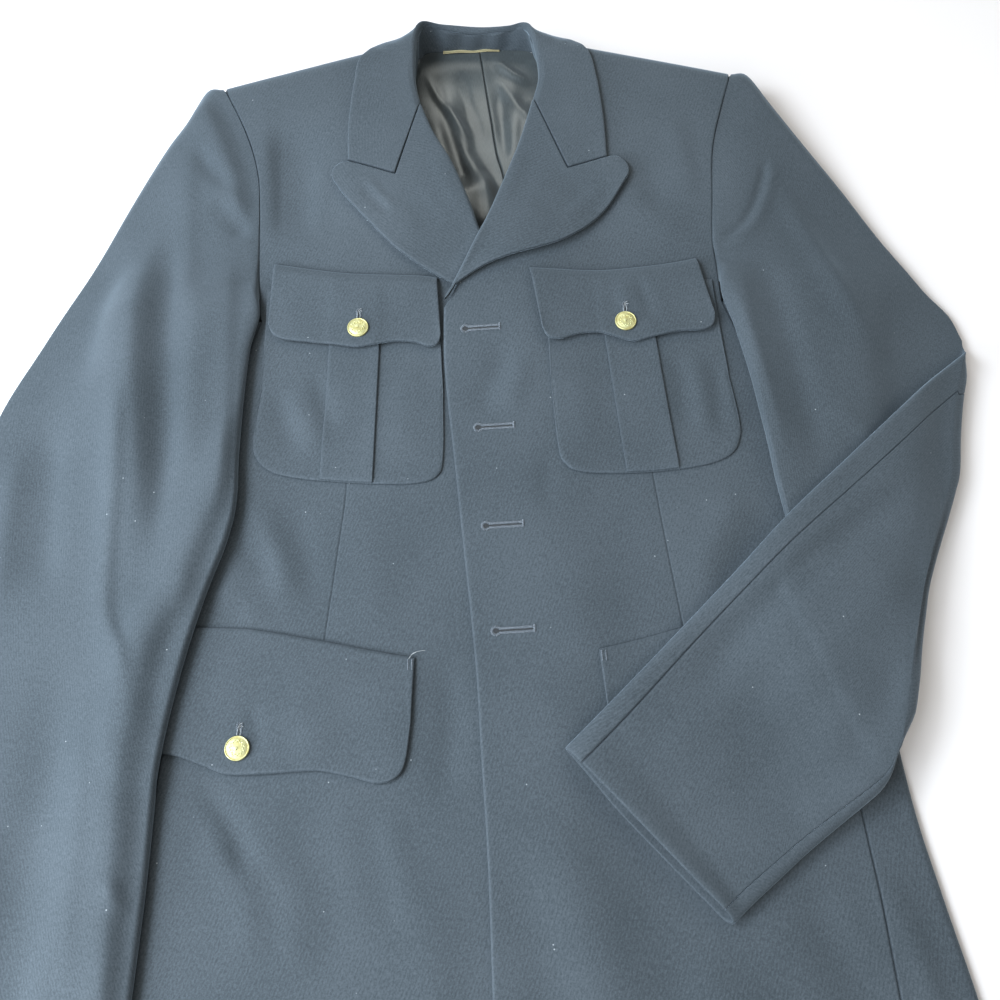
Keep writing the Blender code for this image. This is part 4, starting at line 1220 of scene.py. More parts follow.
    def lap(self, x: Array, y: Array) -> Array:
        """How much higher the left front lies, on the right front and on the right lapel.

        Args:
            x: Places across, positive towards the wearer's left.
            y: Places up the jacket.

        Returns:
            The added height.
        """
        on_front = (1 - ease(x, *self.lap_on_front[0])) * (1 - ease(y, *self.lap_on_front[1]))
        on_lapel = (1 - ease(x, *self.lap_on_lapel[0])) * ease(y, *self.lap_on_lapel[1])
        on_lapel = on_lapel * (1 - ease(y, *self.lap_on_lapel[2]))
        return (self.wall + self.lying_gap) * (on_front + on_lapel)

    def relief(self, x: Array, y: Array) -> Array:
        """Creases and unevenness, gone where a piece turns at the side, armhole or shoulder.

        Args:
            x: Places across, positive towards the wearer's left.
            y: Places up the jacket.

        Returns:
            The added height.
        """
        outline = self.side_table.at(y, 1)
        armholes = [np.abs(self.armholes[side].across_at(y)) for side in Side]
        armhole = np.where(x > 0, *armholes)
        edge = np.where(y < self.underarm_y, outline - self.turn_inset, armhole)
        free = ease(edge - np.abs(x), 0.0, self.edge_fade)
        free = free * ease(self.shoulder_y(x) - y, *self.shoulder_fade)
        free = free * (1 - ease(np.abs(x), *self.armpit_across) * ease(y, *self.armpit_up))
        return free * (self.crease_depth * creased(self.creases, x, y) + self.loose.at(x, y))

    def front_height(self, x: Array, y: Array, side: Side) -> Array:
        """Height of a front's outer face: the left one lies on the right."""
        height = self.flat_height(x, y) + self.relief(x, y)
        return height + self.lap(x, y) if side is Side.LEFT else height

    def rounded(self, x: Array, y: Array, depth: Array) -> tuple[Array, Array, Array, Array]:
        """The shoulder's rounded edge: the seam's height, y moved, and the share and angle in.

        Args:
            x: Places across, positive towards the wearer's left.
            y: Places up the jacket.
            depth: The depth in the cloth at each point.

        Returns:
            The seam's height, the moved y, the share of the way in, and the angle.
        """
        seam = self.seam_level * self.flat_height(x, y)
        inside = np.clip((self.shoulder_y(x) - y) / self.shoulder_roundness, 0.0, 1.0)
        angle = inside * math.pi / 2
        reach = depth + (self.shoulder_roundness - depth) * (1 - np.cos(angle))
        return seam, np.where(inside < 1, self.shoulder_y(x) - reach, y), inside, angle

    def shoulder_round(self, x: Array, y: Array, height: Array, depth: Array) -> Array:
        """Points at a depth in the cloth, near the shoulder seam on the rounded edge there."""
        seam, moved, _, angle = self.rounded(x, y, depth)
        return np.stack([x, moved, seam + (height - depth - seam) * np.sin(angle)], axis=-1)

    def back_point(self, x: Array, y: Array, depth: Array) -> Array:
        """Points of the back at a depth in its cloth, flat below and turned up at the shoulder.

        Args:
            x: Places across, positive towards the wearer's left.
            y: Places up the jacket.
            depth: The depth in the cloth at each point.

        Returns:
            Points, (..., 3).
        """
        near_neck = 1 - ease(np.abs(x - self.centre_back_x), *self.neck_rise_across)
        low = self.neck_rise * ease(y, self.neck_rise_from_y, self.neck_back_y) * near_neck
        seam, moved, inside, angle = self.rounded(x, y, depth)
        high = seam - (seam - depth - low * inside) * np.sin(angle)
        neck = np.abs(x) < self.neck_opening
        return np.stack([x, np.where(neck, y, moved), np.where(neck, low + depth, high)], axis=-1)

    def side_value(self, y: Array, column: int, side: Side) -> Array:
        """A column of the side panel's table, rolled under on the right as it lies.

        Args:
            y: Places up the jacket.
            column: The table's column.
            side: Which half it is.

        Returns:
            The column's values.
        """
        rolled = 0.0
        if side is Side.RIGHT and column > 1:
            towards_hem = 1 - ease(y, *self.side_rolled_from)
            rolled = self.right_side_rolled * towards_hem * (1 if column == 2 else -1)
        return self.side_table.at(y, column) + rolled

    def rows_up(self, step: float) -> Array:
        """Heights of the rows between the hem and the underarm, close together at the hem."""
        span = self.underarm_y - self.hem_y
        return self.hem_y + span * stations(np.array([span]), step, True, False)[0]

    def armhole_rail(self, side: Side, low_x: Array, low_y: Array, count: int) -> Array:
        """A panel's outer border: its side seam, then this many rows along the armhole.

        Args:
            side: Which half it is.
            low_x: The side seam, across.
            low_y: The side seam, up.
            count: How many rows there are.

        Returns:
            Points, x and y.
        """
        arm = self.armholes[side].at(np.linspace(0, 1, count + 1)[1:])
        arm[:, 0] -= side.sign * self.gap / 2
        return np.concatenate([np.stack([low_x, low_y], axis=1), arm])


# ---------------------------------------------------------------------------------------------
# The body's panels


@dataclass
class Backs:
    """The two back panels, flat underneath, with the seam down the middle."""

    form: BodyForm
    finish: WoolFinish
    step: float = 5.2
    high_rows: int = 60
    waist_share: float = 0.34
    neck_arch: float = 4.6
    cut_width: float = 232.0
    cut_length: float = 812.0

    def build(self, side: Side) -> Array:
        """Makes one panel and gives back its outer face.

        Args:
            side: Which half it is.

        Returns:
            The outer face's points.
        """
        form, sign = self.form, side.sign
        low_y = form.rows_up(self.step)
        seam = sign * (form.side_value(low_y, 3, side) - form.gap / 2)
        outer = form.armhole_rail(side, seam, low_y, self.high_rows)
        high_y = np.linspace(form.underarm_y, form.neck_back_y, self.high_rows + 1)[1:]
        rows = len(outer)
        centre = form.centre_back_x + sign * form.gap / 2
        inner = np.stack([np.full(rows, centre), np.concatenate([low_y, high_y])], axis=1)
        neck = np.array(form.neck_point.of(side)[0])
        bend = ease(np.linspace(0, 1, rows), 0.86, 1.0)[:, None]
        waist = (inner + (outer - inner) * self.waist_share) * (1 - bend) + neck * bend
        near = stations(np.full(rows, 70.0), self.step, True, False)[:, :, None]
        far = stations(np.full(rows, 140.0), self.step, False, True)[:, 1:, None]
        grid = np.concatenate([inner[:, None] + (waist - inner)[:, None] * near,
                               waist[:, None] + (outer - waist)[:, None] * far], axis=1)
        to_neck = np.clip(np.abs(grid[..., 0] - centre) / np.abs(neck[0] - centre), 0, 1)
        arch = 4 * self.neck_arch * to_neck * (1 - to_neck)
        grid[..., 1] += arch * ease(grid[..., 1], form.neck_back_y - 50, form.neck_back_y - 6)
        x, y = grid[..., 0], grid[..., 1]
        borders = Borders(Border.PRESSED, Border.SEAM, Border.SEAM, Border.SEAM, press=0.0)
        piece = ClothPiece(f"back_{side.value}", lambda depth: form.back_point(x, y, depth),
                           grid.shape[:2], form.wall, borders, self.finish,
                           Cut(self.cut_width, self.cut_length, ()), layout=grid)
        return piece.build()


@dataclass
class SidePanels:
    """The panels that run round the edge of the body, from the front seam to the one beneath."""

    form: BodyForm
    finish: WoolFinish
    step: float = 3.9
    turns: int = 13
    bend: float = 15.0
    bend_share: float = 0.75
    cut_width: float = 178.0
    cut_length: float = 524.0

    def build(self, side: Side) -> Array:
        """Makes one panel and gives back its outer face.

        Args:
            side: Which half it is.

        Returns:
            The outer face's points.
        """
        form, sign = self.form, side.sign
        rows_y = form.rows_up(self.step)
        edge, front, back = (form.side_value(rows_y, k, side) for k in (1, 2, 3))
        front, back = front + form.gap / 2, back + form.gap / 2
        bend = np.minimum(self.bend, self.bend_share * form.flat_height(edge, rows_y))
        tip = edge - bend
        high = form.flat_height(tip, rows_y)
        above = stations(tip - front, self.step, True, False)[:, :-1]
        below = stations(tip - back, self.step, False, True)[:, 1:]
        arcs = np.linspace(math.pi / 2, -math.pi / 2, self.turns)
        y = np.repeat(rows_y[:, None], above.shape[1] + len(arcs) + below.shape[1], axis=1)
        upper_x = front[:, None] + (tip - front)[:, None] * above
        lower_x = tip[:, None] + (back - tip)[:, None] * below
        upper_y = rows_y[:, None] + 0 * upper_x
        raised = form.flat_height(upper_x, upper_y) + form.relief(sign * upper_x, upper_y)

        def place(depth: Array) -> Array:
            """Points of the panel at a depth in its cloth.

            Args:
                depth: The depth in the cloth at each point.

            Returns:
                Points, (rows, columns, 3).
            """
            n = above.shape[1]
            turned = depth[:, n:n + len(arcs)]
            turned_x = tip[:, None] + (bend[:, None] - turned) * np.cos(arcs)
            half = high[:, None] / 2
            turned_z = half + (half - turned) * np.sin(arcs)
            x = np.concatenate([upper_x, turned_x, lower_x], axis=1)
            z = np.concatenate([raised - depth[:, :n], turned_z, depth[:, n + len(arcs):]], axis=1)
            return np.stack([sign * x, y, z], axis=-1)

        borders = Borders(Border.PRESSED, Border.HIDDEN, Border.SEAM, Border.SEAM, press=0.0)
        on = (f"back_{side.value}",)
        piece = ClothPiece(f"side_{side.value}", place, y.shape, form.wall, borders,
                           self.finish, Cut(self.cut_width, self.cut_length, on))
        return piece.build()


@dataclass
class Fronts:
    """The fronts, from the front edge and roll line to the side seam, armhole and shoulder."""

    form: BodyForm
    finish: WoolFinish
    step: float = 3.1
    high_rows: int = 82
    edge_setback: float = 3.4
    roll_trim: float = 0.035
    dart: Pair = Pair(
        ((130.0, -371.0), (119.0, -101.0), (114.0, -43.0), (110.0, 9.0), (107.0, 150.0),
         (118.0, 300.0), (128.0, 430.0)),
        ((-134.0, -371.0), (-122.0, -102.0), (-117.0, -61.0), (-110.0, -3.0), (-109.0, 11.0),
         (-108.0, 150.0), (-120.0, 300.0), (-130.0, 430.0)))
    dart_from: tuple[float, float] = (-112.0, 20.0)
    dart_run: tuple[float, float] = (8.0, 14.0)  # how its seam starts below and ends above
    dart_depth: float = 0.4
    dart_hollow: tuple[float, float] = (0.35, 7.0)  # depth and width
    # how strong the painted shade along the dart's sewn line is
    dart_mark: float = 0.75
    dart_share: tuple[float, float] = (0.2, 0.85)  # of the way to the side, at the most
    cut_width: float = 262.0
    cut_length: float = 824.0

    def borders(self, side: Side) -> tuple[Array, Array]:
        """The inner and outer borders, from hem to shoulder, with matching rows.

        Args:
            side: Which half it is.

        Returns:
            The inner and the outer border.
        """
        form, sign = self.form, side.sign
        low_y = form.rows_up(self.step)
        seam = sign * (form.side_value(low_y, 2, side) - form.gap / 2)
        outer = form.armhole_rail(side, seam, low_y, self.high_rows)
        edge = Curve(form.front_edge.of(side))
        roll = Curve(form.roll_line.of(side)).moved(-sign * self.edge_setback)
        roll = roll.cut(self.roll_trim, 1 - self.roll_trim)
        way_up = Curve(np.concatenate([edge.fine[:-1], roll.fine]), smooth=False)
        inner_low = np.stack([way_up.across_at(low_y), low_y], axis=1)
        neck = np.array(form.neck_point.of(side)[0]) - (sign * form.neck_setback, 0.0)
        above = way_up.fine[way_up.fine[:, 1] > form.underarm_y + 1]
        upper = Curve(np.concatenate([inner_low[-1:], above, [neck]]), smooth=False)
        inner_high = upper.at(np.linspace(0, 1, self.high_rows + 1)[1:])
        return np.concatenate([inner_low, inner_high]), outer

    def build(self, side: Side) -> Array:
        """Makes one front and gives back its outer face.

        Args:
            side: Which half it is.

        Returns:
            The outer face's points.
        """
        form = self.form
        inner, outer = self.borders(side)
        guide = Curve(self.dart.of(side), smooth=False)
        guide_x = guide.across_at((inner[:, 1] + outer[:, 1]) / 2)
        share = (guide_x - inner[:, 0]) / (outer[:, 0] - inner[:, 0])
        share = np.clip(share, *self.dart_share)
        width = np.linalg.norm(outer - inner, axis=1)
        first = stations(width * share, self.step) * share[:, None]
        second = stations(width * (1 - share), self.step)[:, 1:] * (1 - share[:, None])
        across = np.concatenate([first, share[:, None] + second], axis=1)
        grid = inner[:, None] + (outer - inner)[:, None] * across[..., None]
        x, y = grid[..., 0], grid[..., 1]
        height = form.front_height(x, y, side)
        away = np.abs(across - share[:, None]) * width[:, None]
        (low, high), (start, end) = self.dart_from, self.dart_run
        depth, wide = self.dart_hollow
        sewn = bump(y, (low, low + start), (high - end, high))
        hollow = depth * np.exp(-(away / wide) ** 2)
        dips = sewn * (self.dart_depth * (1 - ease(away, 0, 0.9)) + hollow)
        # painted shade along the dart's sewn line
        marks = self.dart_mark * sewn * (1 - ease(away, 0.05, 0.5))
        borders = Borders(Border.PRESSED, Border.SEAM, Border.PRESSED, Border.SEAM)

        def place(depth: Array) -> Array:
            """Points of the front at a depth in its cloth."""
            return form.shoulder_round(x, y, height, depth)

        rests = (f"back_{side.value}",) if side is Side.RIGHT else ("back_left", "front_right")
        piece = ClothPiece(f"front_{side.value}", place, grid.shape[:2], form.wall, borders,
                           self.finish, Cut(self.cut_width, self.cut_length, rests),
                           layout=grid, dips=dips, marks=marks)
        return piece.build()


@dataclass
class Lining:
    """The satin lining of the back, as far as the open neck shows it, and the plain label."""

    form: BodyForm
    finish: SatinFinish
    label_finish: LabelFinish
    step: float = 2.3
    wall: float = 1.0
    middle: Points = ((-1.0, 430.2), (6.0, 362.0), (10.0, 317.0), (15.0, 287.0), (20.0, 225.0),
                      (22.0, 170.0))
    outer: Pair = Pair(
        ((49.0, 420.0), (58.0, 392.0), (60.0, 368.0), (68.0, 317.0), (71.0, 287.0), (72.0, 225.0),
         (72.0, 170.0)),
        ((-53.5, 423.0), (-62.0, 396.0), (-63.0, 368.0), (-71.0, 317.0), (-72.0, 287.0),
         (-72.0, 225.0), (-70.0, 170.0)))
    neck: Pair = Pair(((22.0, 429.6), (40.0, 426.6)), ((-26.0, 430.4), (-44.0, 428.8)))
    creases: tuple[Crease, ...] = (
        Crease(((-34, 405), (-24, 352), (-12, 300), (-6, 262)), 3.4, 7, 0.7),
        Crease(((-20, 412), (-12, 370), (-2, 330)), -1.6, 5),
        Crease(((-46, 380), (-36, 330), (-24, 280), (-10, 236)), 3.0, 6, 1.4),
        Crease(((-12, 320), (-2, 280), (2, 244), (4, 214)), 3.4, 6.5, 0.8),
        Crease(((-46, 318), (-34, 284), (-20, 254), (-9, 230)), 4.6, 4.2, 0.8, 0.2),
        Crease(((-50, 410), (-36, 376), (-20, 348), (-10, 318)), 2.2, 3.6, 0.8),
        Crease(((8, 424), (26, 404), (44, 392)), 2.2, 3.4, 1.2),
        Crease(((12, 400), (28, 372), (42, 350)), 1.9, 3.6, 1.2),
        Crease(((24, 410), (28, 360), (22, 310), (14, 270)), 2.6, 6, 1.3),
        Crease(((36, 380), (38, 340), (30, 300)), 2.0, 5),
        Crease(((14, 400), (16, 350), (20, 300)), -1.4, 4),
        Crease(((-4, 300), (6, 262), (8, 232)), 2.4, 4.5),
        Crease(((-52, 340), (-46, 290), (-30, 240)), 2.4, 7),
        Crease(((-16, 300), (-12, 262), (-10, 214)), 9.0, 15, 1.2, 0.35),
        Crease(((44, 330), (40, 280), (28, 236)), 2.4, 8),
    )
    waves: Undulation = Undulation(0.8, 34.0, 1.9)
    lifted: float = 0.9  # how far the folds' middle height stands off what lies below
    clear: float = 0.3
    calm_from: tuple[float, float] = (4.0, 22.0)  # below the neck seam
    fading: float = 6.0
    lap: tuple[float, float] = (0.9, 5.0)  # height and width of the left half's, in the middle
    cut_width: float = 98.0
    cut_length: float = 268.0
    label_length: float = 50.0
    label_width: float = 5.4
    label_wall: float = 0.8
    label_cut: float = 11.0  # its upper part is sewn in under the stand
    label_top: tuple[float, float] = (-8.0, 431.4)

    def resting(self, x: Array, y: Array) -> Array:
        """The height of the back's inner face."""
        return self.form.back_point(x, y, np.full(np.shape(x), self.form.wall))[..., 2]

    def folds(self, x: Array, y: Array) -> Array:
        """Loose folds of the satin, never under its resting height.

        Args:
            x: Places across, positive towards the wearer's left.
            y: Places up the jacket.

        Returns:
            Heights above what lies below.
        """
        waves = creased(self.creases, x, y) + self.waves.at(x, y)
        start, span = self.calm_from
        calm = ease(self.form.neck_back_y - start - y, 0, span)
        return self.clear + np.maximum(waves + self.lifted, 0.0) * calm

    def build(self, side: Side) -> Array:
        """Makes one half and gives back its outer face.

        Args:
            side: Which half it is.

        Returns:
            The outer face's points.
        """
        form = self.form
        middle = Curve(np.array(self.middle) + (side.sign * form.gap / 2, 0.0))
        outer = Curve(self.outer.of(side))
        neck = Curve([middle.at(0.0), *self.neck.of(side), outer.at(0.0)])
        low = Curve([middle.at(1.0), outer.at(1.0)], smooth=False)
        patch = Patch(neck, low, middle, outer, self.fading)
        along = stations(np.array([middle.length]), self.step)[0][:, None]
        width = np.linalg.norm(outer.at(along[:, 0]) - middle.at(along[:, 0]), axis=1)
        across = stations(width, self.step)
        grid = patch.at(along + 0 * across, across)
        x, y = grid[..., 0], grid[..., 1]
        high, wide = self.lap
        lapped = high * np.exp(-(np.linalg.norm(grid - grid[:, :1], axis=2) / wide) ** 2)
        height = self.resting(x, y) + form.gap + self.wall + self.folds(x, y)
        height = height + (lapped if side is Side.LEFT else 0.0)
        borders = Borders(Border.HIDDEN, Border.HIDDEN, Border.SEAM, Border.HIDDEN)
        piece = ClothPiece(f"lining_back_{side.value}", lying(grid, height), grid.shape[:2],
                           self.wall, borders, self.finish,
                           Cut(self.cut_width, self.cut_length, (f"back_{side.value}",)),
                           layout=grid)
        return piece.build()

    def build_label(self) -> None:
        """Makes the label under the neck seam, with its turned ends sewn down."""
        form = self.form
        across = stations(np.array([self.label_length]), 1.6)[0] - 0.5
        down = stations(np.array([self.label_width]), 1.2)[0]
        x, y = np.meshgrid(self.label_top[0] + across * self.label_length,
                           self.label_top[1] - down * self.label_width)
        height = self.resting(x, y) + form.gap + 2 * self.wall + form.gap
        height = height + 0.35 * np.sin(x / 4.1) * ease(self.label_top[1] - y, 0, 4) + 0.4

        flat = np.stack([x, y], axis=-1)
        borders = Borders(*[Border.PRESSED] * 4, press=0.1)
        cut = Cut(self.label_length + 2, self.label_cut, ("lining_back_left", "lining_back_right"))
        ClothPiece("neck_label", lying(flat, height), x.shape, self.label_wall, borders,
                   self.label_finish, cut, layout=flat).build()


@dataclass
class TurnedEdge:
    """A roll, where a lapel or a collar turns over: how far it reaches, and how far down."""

    reach: float = 4.0
    drop: float = 5.4
    steps: int = 9
    under: float = math.radians(52)  # how far past the tip it goes on beneath

    def arcs(self, openness: Array) -> Array:
        """Angles round the roll for each row, from beneath it to its top."""
        low = -self.under * openness[:, None]
        return low + (math.pi / 2 - low) * np.linspace(0, 1, self.steps)[None, :]

    def spread(self, patch: Patch, along: Array, width: Array, most: float,
               step: float) -> tuple[Array, Array, Array, Array, Array]:
        """How a piece lies beyond its roll.

        Args:
            patch: The piece's outline, with the roll as its first side.
            along: The rows' places along the roll.
            width: How wide the piece is at each row.
            most: The greatest share of a row's width that the roll takes.
            step: The distance between points.

        Returns:
            The roll's points, the points where the roll ends, the directions between them, the
            share of the way down what lies, and the grid of what lies.
        """
        reach = np.minimum(self.reach / width, most)
        fall = stations(width, step, False, True)[:, 1:]
        across = reach[:, None] + (1 - reach[:, None]) * fall
        hinge, bend = patch.at(along, 0 * along), patch.at(along, reach)
        away = bend - hinge
        away /= np.linalg.norm(away, axis=1)[:, None]
        return hinge, bend, away, fall, patch.at(along[:, None] + 0 * across, across)

    def place(self, roll: Array, away: Array, top: Array, arcs: Array, depth: Array) -> Array:
        """Points round the roll.

        Args:
            roll: Points of the roll line, (rows, 2).
            away: Directions from the roll line into the piece, (rows, 2).
            top: How high each row's roll is.
            arcs: The angles of each row.
            depth: The depths in the cloth.

        Returns:
            Points, (rows, steps, 3).
        """
        reach = depth + (self.reach - depth) * (1 - np.cos(arcs))
        flat = roll[:, None] + away[:, None] * reach[..., None]
        rise = top[:, None] - self.drop + (self.drop - depth) * np.sin(arcs)
        return np.concatenate([flat, rise[..., None]], axis=-1)


@dataclass
class Lapels:
    """The lapels, turned over at their roll lines onto the fronts."""

    form: BodyForm
    finish: WoolFinish
    turned: TurnedEdge = field(default_factory=TurnedEdge)
    step: float = 1.9
    fading: float = 3.0
    edge: Pair = Pair(
        ((-34.5, 157.5), (-28.0, 165.5), (-18.0, 173.0), (-4.0, 181.0), (15.0, 188.0),
         (36.0, 194.0), (58.0, 202.5), (78.0, 216.0), (96.0, 235.0), (113.0, 262.0)),
        ((12.5, 163.0), (-2.0, 164.0), (-16.0, 166.5), (-30.0, 173.0), (-44.0, 182.0),
         (-60.0, 194.0), (-77.0, 210.0), (-97.0, 235.0), (-113.0, 256.0), (-122.0, 271.0)))
    gorge: Pair = Pair(
        ((41.0, 342.6), (65.3, 270.6), (98.0, 280.4)),
        ((-51.0, 343.6), (-72.3, 272.6), (-110.4, 287.4)))
    peak: Pair = Pair(
        ((98.0, 280.4), (105.0, 280.6), (110.6, 277.0), (114.2, 270.0), (113.0, 262.0)),
        ((-110.4, 287.4), (-116.5, 287.0), (-121.4, 283.6), (-123.6, 277.0), (-122.0, 271.0)))
    roll_points: tuple[int, int] = (6, 7)
    roll_start: tuple[float, float] = (0.03, 0.06)
    lifts: Pair = Pair(
        # x and y of the middle of a lifted stretch, its reach and its height
        ((14.0, 188.0, 36.0, 3.8), (66.0, 208.0, 34.0, 3.0), (108.0, 256.0, 26.0, 2.0)),
        ((-70.0, 204.0, 34.0, 1.2), (-112.0, 262.0, 22.0, 1.0)))
    creases: tuple[Crease, ...] = (
        Crease(((-101, 266), (-90, 250), (-76, 234)), -1.1, 3.4),
        Crease(((-96, 272), (-84, 254), (-70, 240)), 0.7, 4),
        Crease(((-70, 262), (-52, 240), (-40, 214)), -0.8, 9),
        Crease(((-40, 300), (-30, 262), (-14, 228)), 0.9, 8),
        Crease(((74, 266), (58, 244), (38, 226)), -1.5, 12),
        Crease(((30, 296), (20, 262), (6, 228)), 1.2, 8),
        Crease(((96, 258), (76, 234), (54, 216)), 0.8, 7),
        Crease(((-30, 178), (-16, 196), (-2, 222)), 1.5, 6),
        Crease(((-22, 176), (-4, 192), (14, 202)), -0.9, 5),
    )
    cut_width: float = 148.0
    cut_length: float = 201.0

    def build(self, side: Side) -> Array:
        """Makes one lapel and gives back its outer face.

        Args:
            side: Which half it is.

        Returns:
            The outer face's points.
        """
        form, which = self.form, 0 if side is Side.LEFT else 1
        line = form.roll_line.of(side)[:self.roll_points[which]]
        roll = Curve(line).cut(self.roll_start[which], 1.0)
        gorge = self.gorge.of(side)
        roll = Curve(np.concatenate([roll.fine[:-1], [gorge[0]]]), smooth=False)
        edge = Curve(self.edge.of(side))
        start = Curve([roll.at(0.0), edge.at(0.0)], smooth=False)
        end = Curve.joined(Curve(gorge, smooth=False), Curve(self.peak.of(side)))
        patch = Patch(start, end, roll, edge, self.fading)
        along = stations(np.array([roll.length]), self.step)[0]
        width = np.maximum(np.linalg.norm(edge.at(along) - roll.at(along), axis=1), 3.0)
        hinge, bend, away, _, grid = self.turned.spread(patch, along, width, 0.6, self.step)
        openness = ease(hinge[:, 1], 205.0, 262.0)
        arcs = self.turned.arcs(openness)
        top = self.height(bend[:, 0], bend[:, 1], side)
        x, y = grid[..., 0], grid[..., 1]
        height = self.height(x, y, side)

        def place(depth: Array) -> Array:
            """Points of the lapel at a depth in its cloth.

            Args:
                depth: The depth in the cloth at each point.

            Returns:
                Points, (rows, columns, 3).
            """
            n = self.turned.steps
            rolled = self.turned.place(hinge, away, top, arcs, depth[:, :n])
            lying = np.stack([x, y, height - depth[:, n:]], axis=-1)
            return np.concatenate([rolled, lying], axis=1)

        shape = (len(along), self.turned.steps + grid.shape[1])
        borders = Borders(Border.HIDDEN, Border.PRESSED, Border.HIDDEN, Border.PRESSED, press=0.12)
        cut = Cut(self.cut_width, self.cut_length, (f"front_{side.value}",), "folded")
        return ClothPiece(f"lapel_{side.value}", place, shape, form.wall, borders, self.finish,
                          cut).build()

    def height(self, x: Array, y: Array, side: Side) -> Array:
        """The height of a lapel's outer face on its front, lifted along its lower edge.

        Args:
            x: Places across, positive towards the wearer's left.
            y: Places up the jacket.
            side: Which half it is.

        Returns:
            Heights.
        """
        form = self.form
        height = form.front_height(x, y, side) + form.lying_gap + form.wall
        for place_x, place_y, reach, lift in self.lifts.of(side):
            away = ((x - place_x) ** 2 + (y - place_y) ** 2) / reach ** 2
            height = height + lift * np.exp(-away)
        return height + np.maximum(creased(self.creases, x, y), -0.6)


